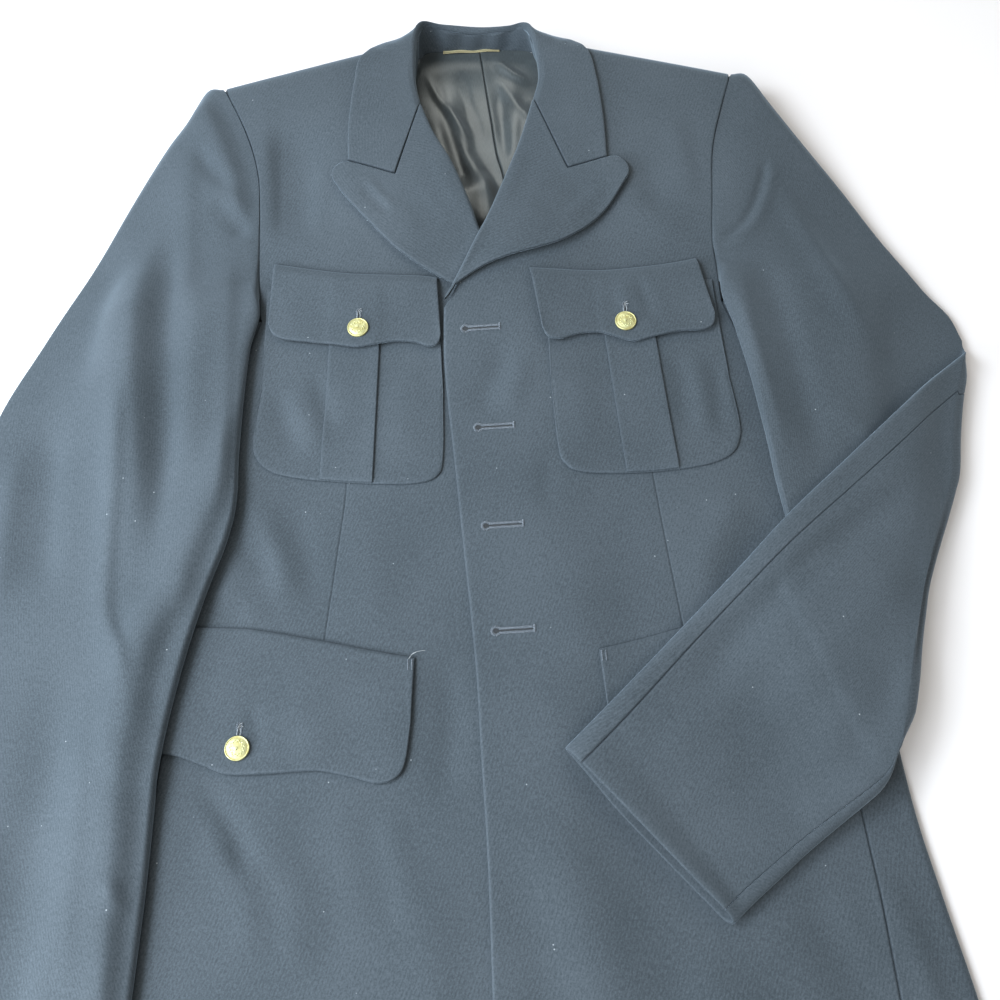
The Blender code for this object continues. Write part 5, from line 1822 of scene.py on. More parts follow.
@dataclass
class Collar:
    """The collar: its stand round the back of the neck, and its fall over the shoulders."""

    form: BodyForm
    finish: WoolFinish
    turned: TurnedEdge = field(default_factory=TurnedEdge)
    step: float = 2.4
    roll: Points = (
        # x, y, height
        (41.2, 343.4, 40.2), (47.0, 366.0, 42.0), (46.5, 391.0, 43.5), (43.0, 414.0, 44.5),
        (36.0, 427.0, 43.0), (20.0, 429.0, 37.0), (-4.0, 429.0, 34.5), (-28.0, 431.5, 37.5),
        (-45.0, 433.0, 43.3), (-52.5, 420.0, 44.5), (-54.8, 396.0, 43.5), (-55.0, 368.0, 42.0),
        (-51.2, 344.4, 40.2),
    )
    edge: Points = (
        (97.5, 281.2), (97.8, 309.0), (97.0, 336.0), (95.0, 364.0), (90.5, 391.0),
        (77.0, 411.0), (50.0, 432.0), (0.0, 443.0), (-52.0, 441.0), (-78.0, 422.0),
        (-101.0, 395.0), (-106.0, 366.0), (-109.0, 338.0), (-110.5, 314.0), (-110.2, 288.2),
    )
    gorge: Pair = Pair(
        ((41.2, 343.4), (65.6, 271.2), (97.5, 281.2)),
        ((-51.2, 344.4), (-72.7, 273.2), (-110.2, 288.2)))
    neck_seam: Points = (
        (51.0, 400.0), (49.0, 414.0), (44.0, 424.5), (22.0, 427.6), (-4.0, 427.8), (-30.0, 428.6),
        (-50.0, 427.0), (-55.5, 416.5), (-57.5, 401.0),
    )
    gap_under: float = 1.4
    stand_gap: float = 0.1
    fading: float = 7.0
    behind_y: tuple[float, float] = (415.0, 440.0)
    roundness: tuple[float, float] = (2.0, 0.8)
    lean: float = 0.6
    stand_from_y: float = 398.0
    foot: float = 0.9
    ripples: Undulation = Undulation(0.5, 60.0, 2.2)

    def build_fall(self, resting: HeightMap) -> Array:
        """Makes the fall and gives back its outer face.

        Args:
            resting: What it rests on.

        Returns:
            The outer face's points.
        """
        form = self.form
        roll, edge = Curve(self.roll), Curve(self.edge)
        flat_roll = Curve(roll.fine[:, :2], smooth=False)
        ends = [Curve(self.gorge.of(side), smooth=False) for side in Side]
        patch = Patch(ends[0], ends[1], flat_roll, edge, self.fading)
        along = stations(np.array([edge.length]), self.step)[0]
        rim = patch.at(along, 0 * along + 1)
        top = np.interp(along * flat_roll.length, flat_roll.walked, roll.fine[:, 2])
        width = np.linalg.norm(rim - patch.at(along, 0 * along), axis=1)
        hinge, _, away, fall, grid = self.turned.spread(patch, along, width, 0.5, self.step)
        behind = ease(rim[:, 1], *self.behind_y)
        arcs = self.turned.arcs(1 - behind)
        x, y = grid[..., 0], grid[..., 1]
        lowest = resting.at(x, y) + self.gap_under + form.wall
        fast, slower = self.roundness
        power = (fast - slower * behind)[:, None]
        stands = np.maximum(top[:, None] - lowest, 0) * (1 - fall) ** power
        height = lowest + stands + self.ripples.at(x, y) * ease(fall, 0.1, 0.6)
        lean = (away * (behind * self.lean)[:, None])[:, None]

        def place(depth: Array) -> Array:
            """Points of the fall at a depth in its cloth.

            Args:
                depth: The depth in the cloth at each point.

            Returns:
                Points, (rows, columns, 3).
            """
            n = self.turned.steps
            rolled = self.turned.place(hinge, away, top, arcs, depth[:, :n])
            flat = grid - lean * depth[:, n:, None]
            lying = np.concatenate([flat, (height - depth[:, n:])[..., None]], axis=-1)
            return np.concatenate([rolled, lying], axis=1)

        shape = (len(along), self.turned.steps + grid.shape[1])
        borders = Borders(Border.SEAM, Border.SEAM, Border.HIDDEN, Border.PRESSED, press=0.12)
        rests = ("front_left", "front_right", "lapel_left", "lapel_right")
        return ClothPiece("collar_fall", place, shape, form.wall, borders, self.finish,
                          Cut(123.0, 468.0, rests, "folded")).build()

    def build_stand(self) -> None:
        """Makes the stand, upright behind the neck, with the soft waves of pressed canvas."""
        form = self.form
        roll = Curve(self.roll).at(np.linspace(0, 1, 400))
        below_roll = (0.0, 0.0, self.turned.drop + self.stand_gap)
        top = Curve(roll[roll[:, 1] > self.stand_from_y] - below_roll, smooth=False)
        flat = Curve(self.neck_seam).at(np.linspace(0, 1, 60))
        low = form.back_point(flat[:, 0], flat[:, 1], np.full(60, form.wall))[:, 2] + self.foot
        neck = Curve(np.column_stack([flat, low]), smooth=False)
        across = stations(np.array([neck.length]), 1.4)[0]
        up = stations(np.array([26.0]), 1.3)[0][:, None, None]
        line = neck.at(across)[None] * (1 - up) + top.at(across)[None] * up
        step = np.gradient(line[..., :2], axis=1)
        normal = np.stack([step[..., 1], -step[..., 0]], axis=-1)
        normal /= np.linalg.norm(normal, axis=-1)[..., None]
        share = up[..., 0]
        waves = 0.8 * np.sin(across[None] * 46 + 1.1 * share) + 0.5 * np.sin(across[None] * 25 + 2)
        waves = waves * ease(share, 0.0, 0.3) * ease(across, 0.0, 0.08) * ease(1 - across, 0, 0.08)

        def place(depth: Array) -> Array:
            """Points of the stand at a depth in its cloth."""
            flat = line[..., :2] + normal * (depth + waves)[..., None]
            return np.concatenate([flat, line[..., 2:]], axis=-1)

        borders = Borders(Border.SEAM, Border.HIDDEN, Border.HIDDEN, Border.HIDDEN)
        cut = Cut(155.0, 31.0, ("back_left", "back_right"), "stretched")
        ClothPiece("collar_stand", place, line.shape[:2], form.wall, borders, self.finish,
                   cut).build()


# ---------------------------------------------------------------------------------------------
# Pockets and flaps


@dataclass
class ChestPockets:
    """The patch pockets on the chest, each with a box pleat and a flap that is cut in a wave."""

    form: BodyForm
    finish: WoolFinish
    step: float = 2.0
    wall: float = 1.2
    flap_wall: float = 2.0
    top: Pair = Pair(((170.0, 168.0), (41.0, 166.0)), ((-172.0, 176.0), (-40.0, 164.0)))
    edge: Pair = Pair(
        ((173.0, 87.0), (176.5, 52.0), (175.5, 36.0), (168.0, 23.0), (150.0, 15.5),
         (118.0, 11.5), (85.0, 11.0), (58.0, 13.0), (47.0, 20.0), (43.5, 34.0), (41.5, 84.0)),
        ((-173.0, 93.0), (-177.5, 54.0), (-175.5, 37.0), (-165.0, 25.0), (-146.0, 18.5),
         (-118.0, 14.0), (-85.0, 10.5), (-58.0, 10.0), (-44.0, 15.0), (-39.5, 30.0),
         (-38.5, 84.0)))
    pleat_width: float = 38.0
    pleat_middle: Pair = Pair(((101.0, 150.0), (110.0, 12.0)), ((-103.0, 152.0), (-109.0, 12.8)))
    flap_top: Pair = Pair(
        ((159.5, 187.0), (130.0, 182.5), (81.0, 179.0), (30.0, 180.0)),
        ((-167.0, 198.0), (-112.0, 187.0), (-58.0, 182.0), (-41.0, 179.0)))
    flap_edge: Pair = Pair(
        ((168.0, 135.0), (165.5, 126.0), (157.0, 122.0), (139.0, 121.5), (119.0, 117.5),
         (105.0, 114.5), (91.0, 119.0), (78.0, 123.0), (64.0, 121.5), (50.0, 117.0),
         (41.0, 118.5), (37.0, 127.0)),
        ((-169.5, 144.0), (-166.0, 135.0), (-157.0, 129.5), (-138.0, 126.0), (-118.0, 122.5),
         (-103.0, 119.5), (-89.0, 121.0), (-74.0, 123.5), (-59.0, 122.0), (-49.0, 118.0),
         (-41.5, 119.5), (-39.0, 127.0)))
    flap_rise: float = 9.0
    flap_curl: float = 0.9
    flap_loose: Undulation = Undulation(0.9, 44.0, 0.4)

    def grid(self, top: Curve, bottom: Curve) -> tuple[Array, Array]:
        """A grid between two borders, with straight sides, and the share of the way down it.

        Args:
            top: The upper border.
            bottom: The lower border.

        Returns:
            The grid, and the share of the way down at each point.
        """
        ends = [Curve([top.at(k), bottom.at(k)], smooth=False) for k in (0.0, 1.0)]
        patch = Patch(top, bottom, ends[0], ends[1])
        depth = max(end.length for end in ends)
        along = stations(np.array([depth]), self.step)[0][:, None]
        across = stations(np.full(len(along), bottom.length), self.step)
        return patch.at(along + 0 * across, across), along + 0 * across

    def patch_face(self, x: Array, y: Array, side: Side) -> Array:
        """The height of the pocket's outer face."""
        return self.form.front_height(x, y, side) + self.form.lying_gap + self.wall

    def lay(self, name: str, grid: Array, height: Array, wall: float, borders: Borders,
            cut: Cut) -> Array:
        """Makes one lying piece and gives back its outer face."""
        return ClothPiece(name, lying(grid, height), grid.shape[:2], wall, borders, self.finish,
                          cut, layout=grid).build()

    def build(self, side: Side) -> list[Array]:
        """Makes one pocket with its pleat and flap, and gives back their outer faces.

        Args:
            side: Which half it is.

        Returns:
            The pieces' outer faces.
        """
        name, front = side.value, f"front_{side.value}"
        grid, _ = self.grid(Curve(self.top.of(side), smooth=False), Curve(self.edge.of(side)))
        x, y = grid[..., 0], grid[..., 1]
        height = self.patch_face(x, y, side)
        gone = Curve(self.edge.of(side)).fine
        distance = np.min(np.hypot(x[..., None] - gone[:, 0], y[..., None] - gone[:, 1]), axis=-1)
        height = height - 0.5 * (1 - ease(distance, 0.0, 3.0))
        borders = Borders(Border.HIDDEN, Border.PRESSED, Border.PRESSED, Border.PRESSED, press=0.15,
                          press_width=6.0)
        faces = [self.lay(f"pocket_chest_{name}", grid, height, self.wall, borders,
                          Cut(140.0, 160.0, (front,)))]
        middle = Curve(self.pleat_middle.of(side), smooth=False)
        along = stations(np.array([middle.length]), self.step)[0]
        across = stations(np.full(len(along), self.pleat_width), self.step) * 2 - 1
        grid = middle.at(along)[:, None] + across[..., None] * np.array([self.pleat_width / 2, 0.0])
        rim = Curve(self.edge.of(side)[3:-3]).fine
        rim = rim[np.argsort(rim[:, 0])]
        edge_y = np.interp(grid[..., 0], rim[:, 0], rim[:, 1]) + 0.6
        grid[..., 1] += (edge_y - middle.at(1.0)[1]) * along[:, None] ** 3
        x, y = grid[..., 0], grid[..., 1]
        spread = 0.5 * ease(across, 0.3, 1.0)
        sewn = 1 - ease(y - edge_y, 0.0, 4.0)
        height = self.patch_face(x, y, side) + self.form.gap + self.wall + spread - 1.1 * sewn
        borders = Borders(Border.HIDDEN, Border.PRESSED, Border.PRESSED, Border.PRESSED, press=0.08,
                          press_width=5.0)
        faces.append(self.lay(f"pleat_chest_{name}", grid, height, self.wall, borders,
                              Cut(39.0, 141.0, (f"pocket_chest_{name}",), "folded")))
        top, bottom = Curve(self.flap_top.of(side)), Curve(self.flap_edge.of(side))
        grid, down = self.grid(top, bottom)
        faces.append(self.lay(f"flap_chest_{name}", grid, self.flap_face(grid, side, down),
                              self.flap_wall, self.flap_borders(),
                              Cut(140.0, 78.0, (f"pocket_chest_{name}", f"pleat_chest_{name}"))))
        return faces

    @staticmethod
    def flap_borders() -> Borders:
        """A flap's borders: sewn along its top, pressed elsewhere."""
        return Borders(Border.SEAM, Border.PRESSED, Border.PRESSED, Border.PRESSED, press=0.12,
                       press_width=6.0, seam_depth=1.1, seam_width=2.2)

    def flap_face(self, grid: Array, side: Side, down: Array) -> Array:
        """The height of the flap's outer face, over the pocket and its pleat.

        Args:
            grid: Points of a flat grid.
            side: Which half it is.
            down: The share of the way down at each point.

        Returns:
            Heights.
        """
        x, y = grid[..., 0], grid[..., 1]
        line = Curve(self.flap_top.of(side)).fine
        line = line[np.argsort(line[:, 0])]
        below = np.interp(x, line[:, 0], line[:, 1]) - y
        stack = 2 * self.wall + 2 * self.form.gap
        face = self.form.front_height(x, y, side) + self.form.lying_gap + self.flap_wall
        middle = Curve(self.pleat_middle.of(side), smooth=False).across_at(y)
        over_pleat = 0.5 * bump(x - middle, (-24, -16), (16, 24))
        curl = self.flap_curl * ease(down, 0.6, 1.0)
        return (face + stack * ease(below, 0.0, self.flap_rise) + over_pleat * ease(down, 0, 0.3)
                + curl + self.waves(x, y, down))

    def waves(self, x: Array, y: Array, down: Array) -> Array:
        """The soft waves of a flap below its sewn edge."""
        return np.maximum(self.flap_loose.at(x, y), -0.25) * ease(down, 0.02, 0.35)


@dataclass
class HipFlaps:
    """The flaps of the hip pockets, whose bags are inside the body."""

    form: BodyForm
    pockets: ChestPockets
    gap: float = 0.4
    top: Points = ((228.0, -88.0), (203.0, -88.5), (168.0, -92.0), (122.0, -102.0),
                   (93.0, -109.0), (61.0, -116.0))
    edge: Points = ((237.0, -160.0), (230.0, -170.0), (216.0, -173.5), (196.0, -181.0),
                    (180.0, -187.0), (152.0, -187.5), (124.0, -187.0), (103.0, -191.5),
                    (84.0, -196.5), (72.0, -192.5), (67.0, -182.0), (64.0, -160.0))
    puff: float = 0.9

    def build(self, side: Side) -> Array:
        """Makes one flap and gives back its outer face.

        Args:
            side: Which half it is.

        Returns:
            The outer face's points.
        """
        mirrored = (side.sign, 1.0)
        top, bottom = (Curve(np.array(line) * mirrored) for line in (self.top, self.edge))
        grid, down = self.pockets.grid(top, bottom)
        x, y = grid[..., 0], grid[..., 1]
        height = self.form.front_height(x, y, side) + self.gap + self.pockets.flap_wall
        height = height + self.puff * bump(down, (0.0, 0.35), (0.9, 1.3))
        height = height + self.pockets.waves(x, y, down)
        return self.pockets.lay(f"flap_hip_{side.value}", grid, height, self.pockets.flap_wall,
                                self.pockets.flap_borders(),
                                Cut(186.0, 96.0, (f"front_{side.value}",)))


# ---------------------------------------------------------------------------------------------
# Sleeves


@dataclass(frozen=True)
class SleeveCloth:
    """Where a sleeve's seams and edges are, and how it lies on what is below it."""

    wall: float = 1.8
    gap: float = 0.3
    seam_from_outer: float = 19.0
    seam_from_inner: float = 6.5
    seam_clear: float = 2.0
    cap_length: float = 230.0
    cap_outer_height: float = 38.0
    cap_inner_height: float = 23.0
    cap_reach: float = 21.0
    armhole_gap: float = 0.5
    sewn_length: float = 40.0
    underarm_drop: tuple[float, float] = (158.0, 183.0)
    fold_gap: float = 0.5
    level: float = 16.0
    fall: float = 22.0
    clearance: float = 1.8
    lifted_from: float = 4.0
    drape: float = 110.0
    mouth: float = 3.2
    forearm_reach: float = 7.5  # how far in the forearm's edges are rounded
    cuff_slip: float = 3.4  # how far the lower layer shows beyond the upper one at the cuff
    cuff_seam: float = 14.0
    fold_seam: float = 39.0  # from the outer edge to the seam, just past the fold
    tucks: Points = ((5.5, 3.0), (0.3, 1.1))  # how far in, and how far down, under the armhole
    fold_bow: Points = ((0.0, 0.0), (0.06, -1.2), (0.13, -2.0), (0.23, -0.4), (0.33, 2.8),
                        (0.38, 2.0),
                        (0.46, -0.6), (0.55, -4.0), (0.64, -6.6), (0.74, -7.8), (0.84, -7.2),
                        (0.94, -6.6), (1.0, -6.0))
    fold_round: tuple[float, float] = (-6.0, 30.0)
    row_step: float = 3.9
    fold_steps: int = 14
    arcs: int = 8
    wide_columns: int = 50
    strip_columns: int = 6


@dataclass
class Ring:
    """One ring of a flattened tube: places of its stations from the outer edge, and their rise."""

    length: float
    reach: float
    cloth: SleeveCloth
    seam: float  # from the outer edge to the seam nearest to it

    def stations(self, piece: str, depth: Array) -> tuple[Array, Array]:
        """Where the stations of one of the two pieces lie.

        Args:
            piece: Either top or under.
            depth: The depth in the cloth at each station, or one number.

        Returns:
            Distances from the tube's outer edge, and the rise from -1 to 1.
        """
        cloth = self.cloth
        outer = max(self.seam, self.reach + cloth.seam_clear)
        inner = self.length - max(cloth.seam_from_inner, self.reach + cloth.seam_clear)
        span = inner - outer - cloth.gap
        if piece == "under":
            across = stations(np.array([span]), span / cloth.wide_columns)[0]
            flat = outer + cloth.gap / 2 + span * across
            return flat, -np.ones_like(flat)
        arc = np.linspace(0, math.pi / 2, cloth.arcs)
        bend = np.maximum(self.reach - depth, cloth.gap)
        rims = []
        for start in (outer - cloth.gap / 2, self.length - inner - cloth.gap / 2):
            width = start - self.reach
            rims.append(start - width * stations(np.array([width]), width / cloth.strip_columns,
                                                 True, False)[0][:-1])
        wide = np.linspace(self.reach, self.length - self.reach, cloth.wide_columns + 2)[1:-1]
        parts = [(rims[0], None, -1.0, False), (None, arc[::-1], -1.0, False),
                 (None, arc[1:], 1.0, False), (wide, None, 1.0, False),
                 (None, arc[::-1], 1.0, True), (None, arc[1:], -1.0, True),
                 (rims[1][::-1], None, -1.0, True)]
        places, rises, first = [], [], 0
        for flat, arcs, side, mirrored in parts:
            count = len(arcs if flat is None else flat)
            if flat is None:
                curved = bend if np.ndim(bend) == 0 else bend[first:first + count]
                inset = depth if np.ndim(depth) == 0 else depth[first:first + count]
                place = inset + curved * (1 - np.cos(arcs))
                rise = side * np.sin(arcs)
            else:
                place, rise = flat, np.full(count, side)
            places.append(self.length - place if mirrored else place)
            rises.append(rise)
            first += count
        return np.concatenate(places), np.concatenate(rises)


RingPlace = Callable[[Array, Array, Array], Array]


@dataclass
class Sleeve:
    """A two-piece sleeve laid flat: rings of a flattened tube that become two walls."""

    side: Side
    form: BodyForm
    cloth: SleeveCloth
    finish: WoolFinish
    creases: tuple[Crease, ...] = ()
    forearm_creases: tuple[Crease, ...] = ()
    loose: Undulation = Undulation(0.8, 95.0, 2.9)
    fold: Optional[Array] = None
    rings: list[tuple[Ring, RingPlace, float]] = field(default_factory=list)

    def add(self, section: Array, reach: float, seam: float, place: RingPlace,
            inset: float = 0.0) -> None:
        """Adds a ring across one section, drawn in by an inset."""
        length = float(np.linalg.norm(section[2:4] - section[:2]))
        self.rings.append((Ring(length, reach, self.cloth, seam), place, inset))

    def bowed(self, flat: Array, share: Array, weight: float) -> Array:
        """Points moved out where the elbow's fold bows, in part away from it.

        Args:
            flat: Places, x and y.
            share: Shares of the way.
            weight: How much of it there is.

        Returns:
            The moved places.
        """
        if self.fold is None:
            return flat
        along = self.fold[2:4] - self.fold[:2]
        outward = np.array((-along[1], along[0])) / np.linalg.norm(along)
        moved = SmoothTable(self.cloth.fold_bow).at(share) * weight
        return flat + outward * moved[:, None]

    def add_upper_arm(self, sections: Array, resting: HeightMap, drape: HeightMap) -> None:
        """Adds the arm from the padded sleeve head to its fold or its cuff.

        Args:
            sections: Rows of outer x, y, inner x, y and thickness.
            resting: Where its underside rests.
            drape: The easier slope that its top takes over the same pieces.
        """
        cloth, form = self.cloth, self.form
        steps = np.linalg.norm(np.diff(sections[:, :2], axis=0), axis=1)
        places = np.concatenate([[0.0], np.cumsum(steps)])
        armhole = form.armholes[self.side]
        tucks = [(0, *tuck) for tuck in cloth.tucks]
        for row, shift, inset in tucks + [(row, 0.0, 0.0) for row in range(len(sections))]:
            section, walked = sections[row], places[row]
            cap = 1 - ease(walked, 0.0, cloth.cap_length)
            sewn = 1 - ease(walked, 0.0, cloth.sewn_length)
            reach = section[4] / 2 + (cloth.cap_reach - section[4] / 2) * cap
            to_end = ease(walked, places[-1] - 80, places[-1])

            def on_arm(share: Array, part: Array, depth: Array, section: Array = section,
                       cap: float = cap, sewn: float = sewn, walked: float = walked,
                       to_end: float = to_end, shift: float = shift) -> Array:
                """Points of this ring.

                Args:
                    share: Shares of the way.
                    part: 1 on the upper wall and -1 on the lower.
                    depth: The depth in the cloth at each point.
                    section: The arm's section there.
                    cap: How much of the sleeve head there is.
                    sewn: How near the armhole it is.
                    walked: The distance along the arm.
                    to_end: How near the end it is.
                    shift: How far the seam moves.

                Returns:
                    Points.
                """
                flat = section[:2] + (section[2:4] - section[:2]) * share[:, None]
                flat = self.bowed(flat, share, to_end)
                x, y = flat[:, 0], flat[:, 1]
                chord = sections[0, :2] + (sections[0, 2:4] - sections[0, :2]) * share[:, None]
                seam = armhole.across_at(chord[:, 1]) + self.side.sign * (cloth.armhole_gap - shift)
                x = x + (seam - chord[:, 0]) * sewn
                under = resting.at(x, y) * (1 - sewn * ease(y, *cloth.underarm_drop))
                low = under + cloth.clearance * ease(under, 0.0, cloth.lifted_from)
                above = drape.at(x, y)
                hung = above - under
                top = under + (hung + np.hypot(hung, 5.0)) / 2 * (1 - to_end) + section[4]
                top = top + cloth.clearance * ease(above, 0.0, 26.0)
                slant = cloth.cap_inner_height - cloth.cap_outer_height
                head = cloth.cap_outer_height + slant * share
                high = top + np.maximum(head - top, 0.0) * cap
                inside = np.minimum(share, 1 - share) * np.linalg.norm(section[2:4] - section[:2])
                free = ease(inside, 1.0, 16.0) * ease(np.full_like(share, walked), 2.0, 26.0)
                raised = (creased(self.creases, x, y) + self.loose.at(x, y)) * free
                high = np.maximum(high + raised, low + 0.6 * section[4])
                height = (low + high) / 2 + part * ((high - low) / 2 - depth)
                return np.stack([x, y, height], axis=-1)

            self.add(section, reach, cloth.seam_from_outer, on_arm, inset)

    def add_fold(self, first: Array, last: Array, resting: HeightMap) -> None:
        """Adds the half turn at the elbow, about a line just above the upper arm.

        Args:
            first: The upper arm's last section.
            last: The forearm's first section, which may start a little further along.
            resting: Where the fold rests.
        """
        cloth = self.cloth
        for turn in np.linspace(0, math.pi, cloth.fold_steps + 1)[1:-1]:
            section = first + (last - first) * ease(turn, 0.0, math.pi)
            along = section[2:4] - section[:2]
            length = float(np.linalg.norm(along))
            outward = np.array((-along[1], along[0])) / length
            half = section[4] / 2

            def on_fold(share: Array, part: Array, depth: Array, turn: float = turn,
                        section: Array = section, along: Array = along, length: float = length,
                        outward: Array = outward, half: float = half) -> Array:
                """Points of this ring.

                Args:
                    share: Shares of the way.
                    part: 1 on the upper wall and -1 on the lower.
                    depth: The depth in the cloth at each point.
                    turn: The angle round the fold.
                    section: The arm's section there.
                    along: Places on the fold line.
                    length: How wide the arm is.
                    outward: The direction out of the fold.
                    half: Half the thickness.

                Returns:
                    Points.
                """
                flat = self.bowed(section[:2] + along * share[:, None], share, 1.0)
                under = resting.at(flat[:, 0], flat[:, 1])
                low = under + cloth.clearance * ease(under, 0.0, cloth.lifted_from)
                radius = half + cloth.fold_gap - part * (half - depth)
                corner = ease(np.minimum(share, 1 - share) * length, *cloth.fold_round)
                flat = flat + outward * (radius * math.sin(turn) * corner)[:, None]
                rise = low + section[4] + cloth.fold_gap - radius * math.cos(turn)
                return np.concatenate([flat, rise[:, None]], axis=-1)

            moved = (cloth.fold_seam - cloth.seam_from_outer) * ease(turn, 0.0, 1.4)
            seam = cloth.seam_from_outer + moved
            self.add(section, half, seam, on_fold)

    def add_forearm(self, sections: Array, resting: HeightMap, drape: HeightMap) -> None:
        """Adds the arm beyond the fold, with its underside up and its mouth a little open.

        Args:
            sections: Rows of outer x, y, inner x, y and thickness.
            resting: Where it rests.
            drape: The easier slope that its upper side takes over the same pieces.
        """
        cloth = self.cloth
        steps = np.linalg.norm(np.diff(sections[:, :2], axis=0), axis=1)
        walked = np.concatenate([[0.0], np.cumsum(steps)])
        onward = (sections[-1, :4] - sections[-2, :4]).reshape(2, 2).sum(axis=0)
        onward /= np.linalg.norm(onward)
        for section, done in zip(sections, walked):
            half = section[4] / 2
            reach = half + (cloth.forearm_reach - half) * ease(done, -20.0, 24.0)
            open_mouth = cloth.mouth * ease(done, walked[-1] - 34, walked[-1])
            from_fold = ease(done, 0.0, 80.0)
            slip = onward * cloth.cuff_slip * ease(done, walked[-1] - 40, walked[-1])

            def on_forearm(share: Array, part: Array, depth: Array, section: Array = section,
                           half: float = half, mouth: float = open_mouth,
                           from_fold: float = from_fold, slip: Array = slip) -> Array:
                """Points of this ring.

                Args:
                    share: Shares of the way.
                    part: 1 on the upper wall and -1 on the lower.
                    depth: The depth in the cloth at each point.
                    section: The arm's section there.
                    half: Half the thickness.
                    mouth: How far the cuff is open.
                    from_fold: How far from the fold it is.
                    slip: How far the upper wall slips.

                Returns:
                    Points.
                """
                flat = section[:2] + (section[2:4] - section[:2]) * share[:, None]
                slipped = (1 + part) / 2 * ease(share, 0.0, 0.4)
                flat = self.bowed(flat, share, 1 - from_fold) + slip * slipped[:, None]
                x, y = flat[:, 0], flat[:, 1]
                low = resting.at(x, y) + cloth.clearance
                tent = np.maximum(drape.at(x, y) + cloth.clearance - low, 0.0) * from_fold
                inside = np.minimum(share, 1 - share) * np.linalg.norm(section[2:4] - section[:2])
                free = ease(inside, 1.0, 14.0)
                raised = (creased(self.forearm_creases, x, y) + self.loose.at(x, y)) * from_fold
                thick = np.maximum(2 * half + tent + (raised + mouth) * free, 1.3 * half)
                return np.stack([x, y, low + thick / 2 - part * (thick / 2 - depth)], axis=-1)

            seam = cloth.fold_seam + (cloth.cuff_seam - cloth.fold_seam) * ease(done, -60, 330)
            self.add(section, reach, seam, on_forearm)

    def faces(self, piece: str, depth: Optional[Array]) -> Array:
        """All the rings of one of the two pieces, at these depths in the cloth.

        Args:
            piece: Which of its two pieces.
            depth: The depth in the cloth at each point.

        Returns:
            Points, (rows, columns, 3).
        """
        rows = []
        for row, (ring, place, inset) in enumerate(self.rings):
            depths = (0.0 if depth is None else depth[row]) + inset
            places, rises = ring.stations(piece, depths)
            rows.append(place(places / ring.length, rises, depths + np.zeros_like(places)))
        return np.stack(rows)

    def build(self, cuts: dict[str, Cut]) -> list[Array]:
        """Makes the top and the under sleeve and gives back their outer faces.

        Args:
            cuts: The cut of each piece.

        Returns:
            Their outer faces.
        """
        made = []
        for piece in ("top", "under"):
            shape = self.faces(piece, None).shape[:2]
            borders = Borders(Border.SEAM, Border.PRESSED, Border.SEAM, Border.FAINT, press=0.15,
                              seam_depth=0.5, seam_width=1.1)
            cloth = ClothPiece(f"sleeve_{piece}_{self.side.value}",
                               lambda depth, piece=piece: self.faces(piece, depth), shape,
                               self.cloth.wall, borders, self.finish, cuts[piece])
            made.append(cloth.build())
        return made


